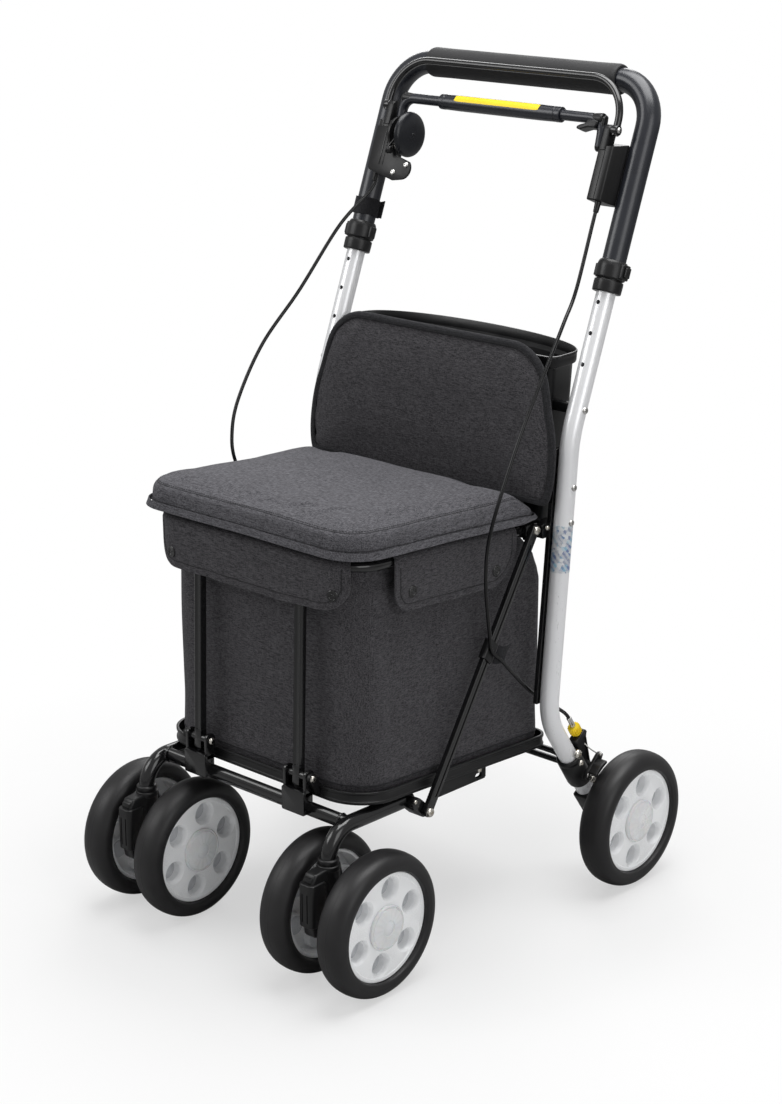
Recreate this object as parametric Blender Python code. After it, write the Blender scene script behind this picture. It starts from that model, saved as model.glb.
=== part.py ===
"""Shopping rollator: folding walking frame with a seat, a fabric bag, a rear bin and six wheels.

Metres, +Z up, the front (caster) end towards -Y, the handle end towards +Y.
The origin is on the floor, midway between the front and the rear axles.
"""
import math

import bmesh
import bpy
from mathutils import Matrix, Vector

# Wheels
WHEEL_RADIUS = 0.0825
TYRE_WIDTH = 0.039
HUB_RADIUS = 0.0625
HUB_HALF_WIDTH = 0.0134
HUB_CAP_RADIUS = 0.026
HUB_CAP_RISE = 0.0045
HUB_HOLE_RADIUS = 0.0118
HUB_HOLE_CIRCLE = 0.0445
AXLE_RADIUS = 0.004
WHEELBASE = 0.4006
CASTER_X = 0.1435
TWIN_OFFSET = 0.0426
CASTER_TRAIL = 0.030
WHEEL_SIDE_GAP = 0.0012
BRAKE_ARM_THICKNESS = 0.0048
GAP = 0.0003

# Rear frame
TUBE_X = 0.188
TUBE_RADIUS = 0.011
TUBE_WALL = 0.0015
SLEEVE_WALL = 0.0037
LEG_LEAN = math.radians(21)
SHIN_LEAN = math.radians(5)
FOOT_LEAN = math.radians(34)
FOOT_LENGTH = 0.133
FOOT_RISE = 0.1495
FOOT_SETBACK = 0.1106
KNEE_HEIGHT = 0.560
HOLE_PITCH = 0.0355
HOLE_RADIUS = 0.0026
UPRIGHT_THICKNESS = 0.0062
UPRIGHT_WIDTH = 0.016
STRUT_THICKNESS = 0.0064
STRUT_WIDTH = 0.012
PIVOT_AHEAD = 0.0256
PIVOT_HEIGHT = 0.456
PIN_RADIUS = 0.003

# Base and bag
DECK_CLEARANCE = 0.053
DECK_SLOPE = 0.075
TRAY_HALF_WIDTH = 0.158
TRAY_RIM = 0.012
TRAY_WALL = 0.003
RING_HEIGHT = 0.474
RING_RADIUS = 0.006
RING_SIDE_GAP = 0.0078
BAR_X = 0.0768
BAR_WIDTH = 0.010
BRACKET_WIDTH = 0.034
EAR_THICKNESS = 0.004
BAR_DEPTH = 0.009
BAG_HALF_WIDTH = 0.151
BAG_WALL = 0.0025
BAG_REAR_BULGE = 0.0355
FLAP_THICKNESS = 0.003

# Seat and backrest
SEAT_HALF_WIDTH = 0.168
SEAT_OVERHANG = 0.016
SEAT_THICKNESS = 0.036
SEAT_TAIL = 0.0165
SEAT_TAIL_RISE = 0.0045
SEAT_BOARD = 0.006
BACK_HALF_WIDTH = 0.180
BACK_BOTTOM = 0.484
BACK_TOP = 0.660
BACK_THICKNESS = 0.016
BACK_LEAN = math.radians(6)

# Handle, measured along the leg from the knee
HANDLE_WALL = 0.00188
TUBE_SIDES = 10
HANDLE_CORNER = 0.050
COLLAR_LOW = 0.1644
BAR_ALONG = 0.4017
GRIP_WALL = 0.0040
TUBE_TOP = 0.243
HOUSING_LOW = 0.259
HOUSING_HIGH = 0.328
HOUSING_INNER_X = 0.1525
LOOP_AHEAD = 0.028
LOOP_X = 0.168
PARK_AHEAD = 0.026
PARK_ALONG = 0.350
PARK_ARM_X = 0.1475
CABLE_RADIUS = 0.0023

# Rear bin
BIN_RIM_HEIGHT = 0.646
BIN_DEPTH_DOWN = 0.210
BIN_HALF_WIDTH = 0.158
BIN_WALL = 0.0025

# Places that follow from the sizes above
HANDLE_BORE = (TUBE_RADIUS + GAP / 6) / math.cos(math.pi / TUBE_SIDES)
HANDLE_RADIUS = HANDLE_BORE + HANDLE_WALL
GRIP_RADIUS = HANDLE_RADIUS + GRIP_WALL
SLEEVE_RADIUS = TUBE_RADIUS + GAP + SLEEVE_WALL
ARM_FACE_X = TUBE_X + SLEEVE_RADIUS
REAR_WHEEL_X = ARM_FACE_X + BRAKE_ARM_THICKNESS + WHEEL_SIDE_GAP + TYRE_WIDTH / 2
GRIP_HALF_LENGTH = TUBE_X - HANDLE_CORNER + 0.0008
BIN_EAR_Z = BIN_RIM_HEIGHT - 0.056
FRONT_Y = -WHEELBASE / 2
REAR_Y = WHEELBASE / 2
AXLE_Z = WHEEL_RADIUS
DECK_Z = 2 * WHEEL_RADIUS + DECK_CLEARANCE
SIDE_TUBE_Z = 2 * WHEEL_RADIUS + 0.023
ANKLE = Vector((REAR_Y - FOOT_SETBACK, AXLE_Z + FOOT_RISE))
KNEE = ANKLE + Vector((math.tan(SHIN_LEAN), 1)) * (KNEE_HEIGHT - ANKLE.y)
FOOT_DIR = Vector((math.sin(FOOT_LEAN), -math.cos(FOOT_LEAN)))
LEG_DIR = Vector((math.sin(LEG_LEAN), math.cos(LEG_LEAN)))
LEG_FRONT = Vector((-math.cos(LEG_LEAN), math.sin(LEG_LEAN)))
UPRIGHT_X = TUBE_X - TUBE_RADIUS - GAP - UPRIGHT_THICKNESS / 2
STRUT_X = UPRIGHT_X - UPRIGHT_THICKNESS / 2 - GAP - STRUT_THICKNESS / 2
RING_HALF_WIDTH = STRUT_X - STRUT_THICKNESS / 2 - RING_SIDE_GAP - RING_RADIUS
RING_FRONT_Y = FRONT_Y + 0.002


def shin_y(height):
    """Centreline of the steep middle stretch of the rear tube at a height."""
    return ANKLE.x + math.tan(SHIN_LEAN) * (height - ANKLE.y)


PIVOT = Vector((shin_y(PIVOT_HEIGHT) - PIVOT_AHEAD, PIVOT_HEIGHT))
RING_REAR_Y = PIVOT.x + 0.016
HINGE = Vector((FRONT_Y - 0.006, DECK_Z + 0.010))
BACK_Y = PIVOT.x + 0.006
SEAT_BEND_Y = BACK_Y - BACK_THICKNESS / 2 - 0.004
SEAT_REAR_Y = SEAT_BEND_Y + SEAT_TAIL


def tube_y(height):
    """Middle of the alloy tube at a height, on its shin or on its leaning leg."""
    if height < KNEE_HEIGHT:
        return shin_y(height)
    return KNEE.x + math.tan(LEG_LEAN) * (height - KNEE_HEIGHT)


def deck_z(y):
    """Height of the tray's rim at y: the deck falls a little towards the rear."""
    return DECK_Z - DECK_SLOPE * (y - FRONT_Y)


def ring_z(y):
    """Height of the bag ring's centreline at y."""
    return RING_HEIGHT - DECK_SLOPE * (y - FRONT_Y)


def on_leg(x, along, ahead=0.0):
    """A point of the handle, by its distance up the leg and in front of it."""
    place = KNEE + LEG_DIR * along + LEG_FRONT * ahead
    return Vector((x, place.x, place.y))


def clear_scene():
    for thing in list(bpy.data.objects):
        bpy.data.objects.remove(thing, do_unlink=True)


MATERIALS = {
    "silver_tube": ((0.72, 0.73, 0.74), 0.35, 0.9),
    "black_tube": ((0.012, 0.012, 0.013), 0.25, 0.0),
    "satin_handle": ((0.030, 0.032, 0.038), 0.42, 0.3),
    "grip_foam": ((0.020, 0.020, 0.022), 0.75, 0.0),
    "black_plastic": ((0.016, 0.016, 0.018), 0.45, 0.0),
    "charcoal_cloth": ((0.055, 0.053, 0.056), 0.9, 0.0),
    "tyre_rubber": ((0.022, 0.021, 0.022), 0.55, 0.0),
    "hub_plastic": ((0.74, 0.75, 0.76), 0.38, 0.0),
    "steel": ((0.62, 0.61, 0.59), 0.25, 1.0),
    "yellow_plastic": ((0.85, 0.55, 0.02), 0.4, 0.0),
}


def material(name):
    found = bpy.data.materials.get(name)
    if found:
        return found
    color, rough, metal = MATERIALS[name]
    made = bpy.data.materials.new(name)
    made.use_nodes = True
    shader = made.node_tree.nodes["Principled BSDF"]
    shader.inputs["Base Color"].default_value = (*color, 1)
    shader.inputs["Roughness"].default_value = rough
    shader.inputs["Metallic"].default_value = metal
    return made


def add_object(name, points, faces, finish, smooth=False):
    """One closed mesh as an object, its faces turned outwards."""
    mesh = bpy.data.meshes.new(name)
    mesh.from_pydata([tuple(p) for p in points], [], faces)
    work = bmesh.new()
    work.from_mesh(mesh)
    bmesh.ops.remove_doubles(work, verts=work.verts, dist=1e-6)
    bmesh.ops.recalc_face_normals(work, faces=work.faces)
    work.to_mesh(mesh)
    work.free()
    if smooth:
        mesh.shade_smooth()
        mesh.set_sharp_from_angle(angle=math.radians(40))
    made = bpy.data.objects.new(name, mesh)
    bpy.context.collection.objects.link(made)
    made.data.materials.append(material(finish))
    return made


def combine(target, other, operation):
    """Boolean of two objects; the second one becomes a hidden guide."""
    step = target.modifiers.new(operation.lower(), "BOOLEAN")
    step.operation = operation
    step.object = other
    step.solver = "EXACT"
    other.hide_render = True
    other.display_type = "WIRE"
    return target


def join(target, *others):
    for other in others:
        combine(target, other, "UNION")
    return target


def cut(target, *others):
    for other in others:
        combine(target, other, "DIFFERENCE")
    return target


def box(name, low, high, finish="black_plastic"):
    points = [(x, y, z) for x in (low[0], high[0]) for y in (low[1], high[1]) for z in (low[2], high[2])]
    faces = [(0, 1, 3, 2), (4, 6, 7, 5), (0, 4, 5, 1), (2, 3, 7, 6), (0, 2, 6, 4), (1, 5, 7, 3)]
    return add_object(name, points, faces, finish)


def prism(name, outline, near, far, finish="black_plastic", place=None):
    """An outline in (u, v) pushed from near to far; place turns (depth, u, v) into a point."""
    place = place or (lambda depth, u, v: (depth, u, v))
    count = len(outline)
    points = [place(near, u, v) for u, v in outline] + [place(far, u, v) for u, v in outline]
    faces = [tuple(range(count)), tuple(range(2 * count - 1, count - 1, -1))]
    faces += [(i, (i + 1) % count, count + (i + 1) % count, count + i) for i in range(count)]
    return add_object(name, points, faces, finish)


def arc(center, radius, start, end, steps):
    """Points of an arc in degrees, both ends included."""
    turns = [math.radians(start + (end - start) * i / steps) for i in range(steps + 1)]
    return [(center[0] + radius * math.cos(t), center[1] + radius * math.sin(t)) for t in turns]


def link_outline(first, second, radius, steps=4):
    """A round-ended bar between two centres."""
    toward = math.degrees(math.atan2(second[1] - first[1], second[0] - first[0]))
    return (arc(first, radius, toward + 90, toward + 270, steps)
            + arc(second, radius, toward - 90, toward + 90, steps))


def rounded_rectangle(low, high, radii, steps=3):
    """Outline from (low) to (high); radii for the corners low-low, high-low, high-high, low-high."""
    corners = ((low[0], low[1], 180), (high[0], low[1], 270), (high[0], high[1], 0), (low[0], high[1], 90))
    outline = []
    for (u, v, start), radius in zip(corners, radii):
        center = (u + radius * (1 if u == low[0] else -1), v + radius * (1 if v == low[1] else -1))
        outline += arc(center, radius, start, start + 90, steps)
    return outline


def turned(name, profile, origin, axis, sides, finish, start=0.0):
    """A profile of (distance along the axis, radius) turned round the axis; a closed ring if it has no pole."""
    axis = Vector(axis).normalized()
    helper = Vector((0, 0, 1)) if abs(axis.z) < 0.9 else Vector((1, 0, 0))
    across = (helper - axis * helper.dot(axis)).normalized()
    beside = axis.cross(across)
    points, rows = [], []
    for along, radius in profile:
        center = Vector(origin) + axis * along
        if radius < 1e-7:
            rows.append([len(points)] * sides)
            points.append(center)
            continue
        rows.append(list(range(len(points), len(points) + sides)))
        for i in range(sides):
            turn = start + 2 * math.pi * i / sides
            points.append(center + (across * math.cos(turn) + beside * math.sin(turn)) * radius)
    closed = profile[0][1] > 1e-7 and profile[-1][1] > 1e-7
    pairs = list(zip(rows, rows[1:])) + ([(rows[-1], rows[0])] if closed else [])
    faces = []
    for first, second in pairs:
        for i in range(sides):
            j = (i + 1) % sides
            face = [first[i], first[j], second[j], second[i]]
            face = [v for k, v in enumerate(face) if v != face[k - 1]]
            if len(face) > 2:
                faces.append(tuple(face))
    return add_object(name, points, faces, finish, smooth=True)


def rod(name, start, end, radius, sides=8, finish="steel"):
    start, end = Vector(start), Vector(end)
    length = (end - start).length
    profile = [(0, 0), (0, radius), (length, radius), (length, 0)]
    return turned(name, profile, start, end - start, sides, finish)


def filleted(corners, radii, steps=5):
    """A path through corners, each inner corner rounded with its own radius."""
    corners = [Vector(c) for c in corners]
    path = [corners[0]]
    for before, here, after, radius in zip(corners, corners[1:], corners[2:], radii):
        inward, outward = (before - here).normalized(), (after - here).normalized()
        half = inward.angle(outward) / 2
        middle = (inward + outward).normalized()
        center = here + middle * (radius / math.sin(half))
        first = here + inward * (radius / math.tan(half)) - center
        last = here + outward * (radius / math.tan(half)) - center
        sweep = first.angle(last)
        for i in range(steps + 1):
            share = i / steps
            path.append(center + (first * math.sin((1 - share) * sweep) + last * math.sin(share * sweep))
                        / math.sin(sweep))
    path.append(corners[-1])
    return path


def ring_of(center, tangent, flat, wide, high, sides):
    """A section across the path: wide along flat, high across it."""
    other = tangent.cross(flat).normalized()
    turns = [2 * math.pi * i / sides for i in range(sides)]
    return [center + flat * (wide * math.cos(t)) + other * (high * math.sin(t)) for t in turns]


def sweep(name, path, flat, wide, high=None, sides=10, bore=0.0, closed=False, finish="black_tube"):
    """A tube along a flat path; flat is the path plane's normal, bore the radius of an open inside."""
    flat = Vector(flat).normalized()
    high = high or wide
    path = [Vector(p) for p in path]
    count = len(path)
    skins = [(wide, high)] + ([(bore, bore)] if bore else [])
    points, rows = [], []
    for half_wide, half_high in skins:
        for i, center in enumerate(path):
            before = path[i - 1] if i or closed else center
            after = path[(i + 1) % count] if i < count - 1 or closed else center
            tangent = (after - before).normalized()
            miter = 1.0
            if (i or closed) and (i < count - 1 or closed):
                miter = 1 / max(0.5, math.cos((center - before).angle(after - center) / 2))
            rows.append(list(range(len(points), len(points) + sides)))
            points += ring_of(center, tangent, flat, half_wide, half_high * miter, sides)
    outer, inner = rows[:count], rows[count:]
    faces = []

    def skin(lines, loop):
        for a, b in list(zip(lines, lines[1:])) + ([(lines[-1], lines[0])] if loop else []):
            faces.extend((a[i], a[(i + 1) % sides], b[(i + 1) % sides], b[i]) for i in range(sides))

    skin(outer, closed)
    if bore:
        skin(inner, False)
        skin([outer[0], inner[0]], False)
        skin([outer[-1], inner[-1]], False)
    elif not closed:
        faces += [tuple(outer[0]), tuple(outer[-1])]
    return add_object(name, points, faces, finish, smooth=True)


def lofted(name, rings, finish, smooth=True):
    """Rings of equal point counts joined one to the next, the first and last closed."""
    count = len(rings[0])
    points = [p for ring in rings for p in ring]
    faces = [tuple(range(count)), tuple(range(len(points) - count, len(points)))]
    for row in range(len(rings) - 1):
        faces += [(row * count + i, row * count + (i + 1) % count,
                   (row + 1) * count + (i + 1) % count, (row + 1) * count + i) for i in range(count)]
    return add_object(name, points, faces, finish, smooth=smooth)


def cushion(name, outline_at, surface, rings, steps, finish="charcoal_cloth"):
    """A padded form from nested outlines.

    outline_at(inset) gives the plan outline, surface(u, v, share, side) the point of one face;
    share runs from 0 at the seam to 1 in the middle.
    """
    lower, upper = [], []
    for inset, share in rings:
        outline = outline_at(inset, steps)
        upper.append([surface(u, v, share, 1) for u, v in outline])
        lower.append([surface(u, v, share, -1) for u, v in outline])
    return lofted(name, lower[::-1] + upper, finish)


# Wheels

def tyre(name, center, outward):
    half = TYRE_WIDTH / 2
    seat = HUB_RADIUS + GAP
    side = [(half - 0.003, seat), (half, seat + 0.006), (half - 0.001, WHEEL_RADIUS - 0.0075),
            (half - 0.009, WHEEL_RADIUS)]
    profile = side + [(-a, r) for a, r in reversed(side)]
    return turned(name, profile, center, (outward, 0, 0), 22, "tyre_rubber")


def hub(name, center, outward):
    """Dished hub with six round openings and a closed centre cap over the axle's end."""
    face = HUB_HALF_WIDTH
    bore = AXLE_RADIUS + GAP
    profile = [(face + HUB_CAP_RISE, 0), (face + HUB_CAP_RISE, HUB_CAP_RADIUS - 0.002), (face, HUB_CAP_RADIUS),
               (face, HUB_RADIUS - GAP / 3), (-face, HUB_RADIUS - GAP / 3), (-face, HUB_RADIUS - 0.004),
               (0.006, HUB_RADIUS - 0.0055), (0.006, 0.014), (-face, 0.012), (-face, bore),
               (face, bore), (face, 0)]
    made = turned(name, profile, center, (outward, 0, 0), 22, "hub_plastic")
    for i in range(6):
        turn = math.radians(60 * i + 30)
        spot = Vector(center) + Vector((0, math.cos(turn), math.sin(turn))) * HUB_HOLE_CIRCLE
        drill = rod(f"{name}_drill_{i}", spot, spot + Vector((outward * 0.030, 0, 0)), HUB_HOLE_RADIUS, 8)
        cut(made, drill)
    return made


def wheels():
    for side, word in ((1, "right"), (-1, "left")):
        for twin, place in ((1, "outer"), (-1, "inner")):
            center = (side * (CASTER_X + twin * TWIN_OFFSET), FRONT_Y, AXLE_Z)
            outward = side * twin
            tyre(f"front_tyre_{word}_{place}", center, outward)
            hub(f"front_hub_{word}_{place}", center, outward)
        center = (side * REAR_WHEEL_X, REAR_Y, AXLE_Z)
        tyre(f"rear_tyre_{word}", center, side)
        hub(f"rear_hub_{word}", center, side)


# Casters

def caster(side, word):
    """Swivel fork on a vertical stem, with the axle of the twin wheels behind the stem."""
    stem_y = FRONT_Y - CASTER_TRAIL
    half = 0.009
    top = SIDE_TUBE_Z - 0.038
    outline = [(stem_y - 0.033, AXLE_Z - 0.004), (stem_y - 0.034, top - 0.006), (stem_y - 0.028, top + 0.002),
               (stem_y - 0.012, top), (stem_y + 0.012, top), (stem_y + 0.016, top - 0.020),
               (FRONT_Y + 0.012, AXLE_Z + 0.012), (FRONT_Y + 0.014, AXLE_Z - 0.002),
               (FRONT_Y + 0.006, AXLE_Z - 0.014), (FRONT_Y - 0.010, AXLE_Z - 0.014), (stem_y - 0.008, AXLE_Z - 0.006)]
    x = side * CASTER_X
    fork = prism(f"caster_fork_{word}", outline, x - half, x + half)
    nose = rounded_rectangle((x - half - 0.002, stem_y - 0.038), (x + half + 0.002, stem_y - 0.016),
                             (0.006, 0.006, 0.002, 0.002), 2)
    nose_guide = prism(f"caster_nose_{word}", nose, AXLE_Z + 0.010, top - 0.012,
                       place=lambda depth, u, v: (u, v, depth))
    barrel = turned(f"caster_barrel_{word}", [(0, 0), (0, 0.0125), (0.030, 0.0125), (0.030, 0)],
                    (x, stem_y, top - 0.028), (0, 0, 1), 12, "black_plastic")
    join(fork, nose_guide, barrel)
    stem_low = AXLE_Z + 0.014
    drill = rod(f"caster_bore_{word}", (x, stem_y, stem_low - 0.001), (x, stem_y, top + 0.02), 0.0053, 10)
    axle_drill = rod(f"caster_axle_bore_{word}", (x - 0.02, FRONT_Y, AXLE_Z), (x + 0.02, FRONT_Y, AXLE_Z),
                     AXLE_RADIUS + GAP, 10)
    cut(fork, drill, axle_drill)
    reach = TWIN_OFFSET + HUB_HALF_WIDTH - 0.001
    rod(f"caster_axle_{word}", (x - reach, FRONT_Y, AXLE_Z), (x + reach, FRONT_Y, AXLE_Z), AXLE_RADIUS, 10)


# Front frame

def leg_frame():
    """Welded base: side tubes, cross tube, swivel stems, bar brackets and strut lugs."""
    stem_y = FRONT_Y - CASTER_TRAIL
    bend = 0.033
    strut_foot = strut_end()
    frame = sweep("leg_frame", [(-CASTER_X, FRONT_Y, SIDE_TUBE_Z), (CASTER_X, FRONT_Y, SIDE_TUBE_Z)],
                  (0, 0, 1), 0.0085, 0.006, sides=10)
    parts = []
    for side in (1, -1):
        x = side * CASTER_X
        path = filleted([(x, stem_y, SIDE_TUBE_Z - 0.0357), (x, stem_y, SIDE_TUBE_Z),
                         (x, strut_foot.x - 0.006, SIDE_TUBE_Z - 0.004)], [bend])
        parts.append(sweep(f"side_tube_{side}", path, (1, 0, 0), 0.009))
        parts.append(rod(f"stem_{side}", (x, stem_y, AXLE_Z + 0.0143), (x, stem_y, SIDE_TUBE_Z - 0.030), 0.005, 10))
        lug_far = side * (STRUT_X - STRUT_THICKNESS / 2 - GAP)
        parts.append(prism(f"strut_lug_{side}", link_outline((strut_foot.x - 0.012, SIDE_TUBE_Z - 0.004),
                                                             strut_foot, 0.0075), x, lug_far))
        pin_end = side * (STRUT_X + STRUT_THICKNESS / 2 + GAP + 0.003)
        parts.append(rod(f"strut_pin_{side}", (lug_far - side * 0.004, *strut_foot),
                         (pin_end, *strut_foot), PIN_RADIUS))
        head = side * (STRUT_X + STRUT_THICKNESS / 2 + GAP)
        parts.append(rod(f"strut_bolt_{side}", (head, *strut_foot), (head + side * 0.0035, *strut_foot), 0.0055))
        inner, outer = BAR_X - BRACKET_WIDTH / 2, BAR_X + BRACKET_WIDTH / 2
        low, high = sorted((side * inner, side * outer))
        parts.append(box(f"bracket_{side}", (low, FRONT_Y - 0.016, SIDE_TUBE_Z - 0.010),
                         (high, FRONT_Y - 0.001, DECK_Z - 0.005)))
        for edge, toward in ((inner, 1), (outer, -1)):
            low, high = sorted((side * edge, side * (edge + toward * EAR_THICKNESS)))
            ear = rounded_rectangle((HINGE.x - 0.007, DECK_Z - 0.012), (HINGE.x + 0.007, HINGE.y + 0.008),
                                    (0.001, 0.001, 0.006, 0.006), 2)
            parts.append(prism(f"ear_{side}_{toward}", ear, low, high))
        parts.append(rod(f"hinge_pin_{side}", (side * (inner - 0.004), *HINGE),
                         (side * (outer + 0.0075), *HINGE), 0.0025))
    return join(frame, *parts)


def strut_end():
    """Lower bolt of the strut, near the rear end of the side tube."""
    return Vector((FRONT_Y + 0.104, SIDE_TUBE_Z - 0.015))


def struts():
    foot = strut_end()
    for side, word in ((1, "right"), (-1, "left")):
        near, far = sorted((side * (STRUT_X - STRUT_THICKNESS / 2), side * (STRUT_X + STRUT_THICKNESS / 2)))
        bar = prism(f"strut_{word}", link_outline(foot, PIVOT, STRUT_WIDTH / 2), near, far, "black_tube")
        for end, label in ((foot, "foot"), (PIVOT, "top")):
            drill = rod(f"strut_{label}_hole_{word}", (near - 0.01, *end), (far + 0.01, *end), PIN_RADIUS + GAP)
            cut(bar, drill)


def bag_ring():
    """Closed tube loop that carries the bag, with lugs on the frame pivots."""
    half, front, rear, corner = RING_HALF_WIDTH, RING_FRONT_Y, RING_REAR_Y, 0.045
    outline = rounded_rectangle((-half, front), (half, rear), (corner, corner, 0.02, 0.02), 4)
    path = [(u, v, ring_z(v)) for u, v in outline]
    ring = sweep("bag_ring", path, (0, DECK_SLOPE, 1), RING_RADIUS, sides=8, closed=True)
    for side in (1, -1):
        near, far = sorted((side * (half - 0.0005), side * (STRUT_X - STRUT_THICKNESS / 2 - 2 * GAP - 0.0064)))
        lug = prism(f"ring_lug_{side}", link_outline((PIVOT.x, PIVOT.y), (PIVOT.x - 0.004, ring_z(PIVOT.x)), 0.0075),
                    near, far)
        hole = rod(f"ring_hole_{side}", (side * 0.14, *PIVOT), (side * 0.17, *PIVOT), PIN_RADIUS + GAP)
        join(ring, lug)
        cut(ring, hole)
    return ring


def bar_y(z):
    """Middle of a front bar at a height: it leans from the hinge to the ring."""
    high = ring_z(RING_FRONT_Y) - RING_RADIUS - GAP
    return HINGE.x + (RING_FRONT_Y - HINGE.x) * (z - HINGE.y) / (high - HINGE.y)


def front_bars():
    """Two bars from the hinge brackets up to the ring, ribbed down their front."""
    low, high = HINGE.y - 0.011, ring_z(RING_FRONT_Y) - RING_RADIUS - GAP
    for side, word in ((1, "right"), (-1, "left")):
        rings = []
        for z in (low, high):
            middle = bar_y(z)
            half, deep = BAR_WIDTH / 2, BAR_DEPTH / 2
            section = [(-half, deep), (-half, -deep), (-half + 0.002, -deep), (-half + 0.0032, -deep + 0.0014),
                       (half - 0.0032, -deep + 0.0014), (half - 0.002, -deep), (half, -deep), (half, deep)]
            rings.append([(side * BAR_X + u, middle + v, z) for u, v in section])
        bar = lofted(f"front_bar_{word}", rings, "black_tube", smooth=False)
        reach = BRACKET_WIDTH / 2 - EAR_THICKNESS - GAP
        spacer = rod(f"bar_spacer_{word}", (side * BAR_X - reach, *HINGE), (side * BAR_X + reach, *HINGE), 0.0055)
        drill = rod(f"bar_hole_{word}", (side * BAR_X - 0.02, *HINGE), (side * BAR_X + 0.02, *HINGE), 0.0028)
        cut(join(bar, spacer), drill)


def bag_outline(half, front, rear, z_of, corner, rear_corner):
    outline = rounded_rectangle((-half, front), (half, rear), (corner, corner, rear_corner, rear_corner), 4)
    return [(u, v, z_of(v)) for u, v in outline]


def bag():
    """Open bag hung inside the ring and standing in the tray."""
    front = RING_FRONT_Y + RING_RADIUS + 0.0015
    top_half = RING_HALF_WIDTH - RING_RADIUS - 0.0015
    top_rear = RING_REAR_Y - RING_RADIUS - 0.0015
    rear = top_rear + BAG_REAR_BULGE
    floor = TRAY_RIM * -1 + GAP
    sections = [(top_half - 0.002, front + 0.002, rear - 0.010, lambda y: deck_z(y) + floor, 0.060, 0.022),
                (BAG_HALF_WIDTH, front, rear, lambda y: deck_z(y) + floor + 0.012, 0.062, 0.018),
                (BAG_HALF_WIDTH, front, rear, lambda y: ring_z(y) - 0.066, 0.051, 0.018),
                (BAG_HALF_WIDTH, front, top_rear + 0.007, lambda y: ring_z(y) - 0.034, 0.046, 0.024),
                (top_half, front + 0.001, top_rear, lambda y: ring_z(y) - 0.014, 0.042, 0.030),
                (top_half, front + 0.001, top_rear, lambda y: ring_z(y) + 0.003, 0.042, 0.030)]
    outer = lofted("bag", [bag_outline(*s) for s in sections], "charcoal_cloth")
    wall = BAG_WALL
    inside = [(half - wall, near + wall, far - wall, z_of, corner - wall, rear_corner - wall)
              for half, near, far, z_of, corner, rear_corner in sections]
    inside[0] = (*inside[0][:3], lambda y: deck_z(y) + floor + wall, *inside[0][4:])
    inside[-1] = (*inside[-1][:3], lambda y: ring_z(y) + 0.02, *inside[-1][4:])
    cut(outer, lofted("bag_inside", [bag_outline(*s) for s in inside], "charcoal_cloth"))
    return outer


def flaps():
    """Cloth flaps that wrap over the ring and hang outside the bag."""
    low, high = ring_z(FRONT_Y) - 0.054, ring_z(FRONT_Y) + 0.003
    near = min(RING_FRONT_Y - RING_RADIUS - 0.0008, bar_y(low) - BAR_DEPTH / 2 - GAP)
    outline = rounded_rectangle((-0.132, low), (0.132, high), (0.022, 0.022, 0.002, 0.002), 4)
    prism("flap_front", outline, near - FLAP_THICKNESS, near, "charcoal_cloth",
          place=lambda depth, u, v: (u, depth, v))
    near_y, far_y = FRONT_Y + 0.060, PIVOT.x - 0.022
    drop = 0.057
    outline = rounded_rectangle((near_y, -drop), (far_y, 0.003), (0.022, 0.022, 0.002, 0.002), 4)
    for side, word in ((1, "right"), (-1, "left")):
        inner = side * (RING_HALF_WIDTH + RING_RADIUS + 0.0008)
        prism(f"flap_{word}", [(u, v + ring_z(u)) for u, v in outline], inner, inner + side * FLAP_THICKNESS,
              "charcoal_cloth")


def cable_strap():
    """Strap round the right strut; the brake cable is tied against its outer face."""
    toward = (PIVOT - strut_end()).normalized()
    middle = strut_end() + toward * 0.190
    side = Vector((-toward.y, toward.x))
    half, thick = 0.010, 0.0012
    near, far = STRUT_X - STRUT_THICKNESS / 2 - GAP, STRUT_X + STRUT_THICKNESS / 2 + GAP
    wide = STRUT_WIDTH / 2 + GAP

    def spot(depth, u, v):
        place = middle + toward * depth + side * u
        return (v, place.x, place.y)

    outer = rounded_rectangle((-wide - thick, near - thick), (wide + thick, far + thick), (0.001,) * 4, 2)
    inner = [(-wide, near), (wide, near), (wide, far), (-wide, far)]
    band = prism("cable_strap", outer, -half, half, "grip_foam", place=spot)
    cut(band, prism("cable_strap_inside", inner, -half - 0.002, half + 0.002, place=spot))


# Tray

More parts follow.
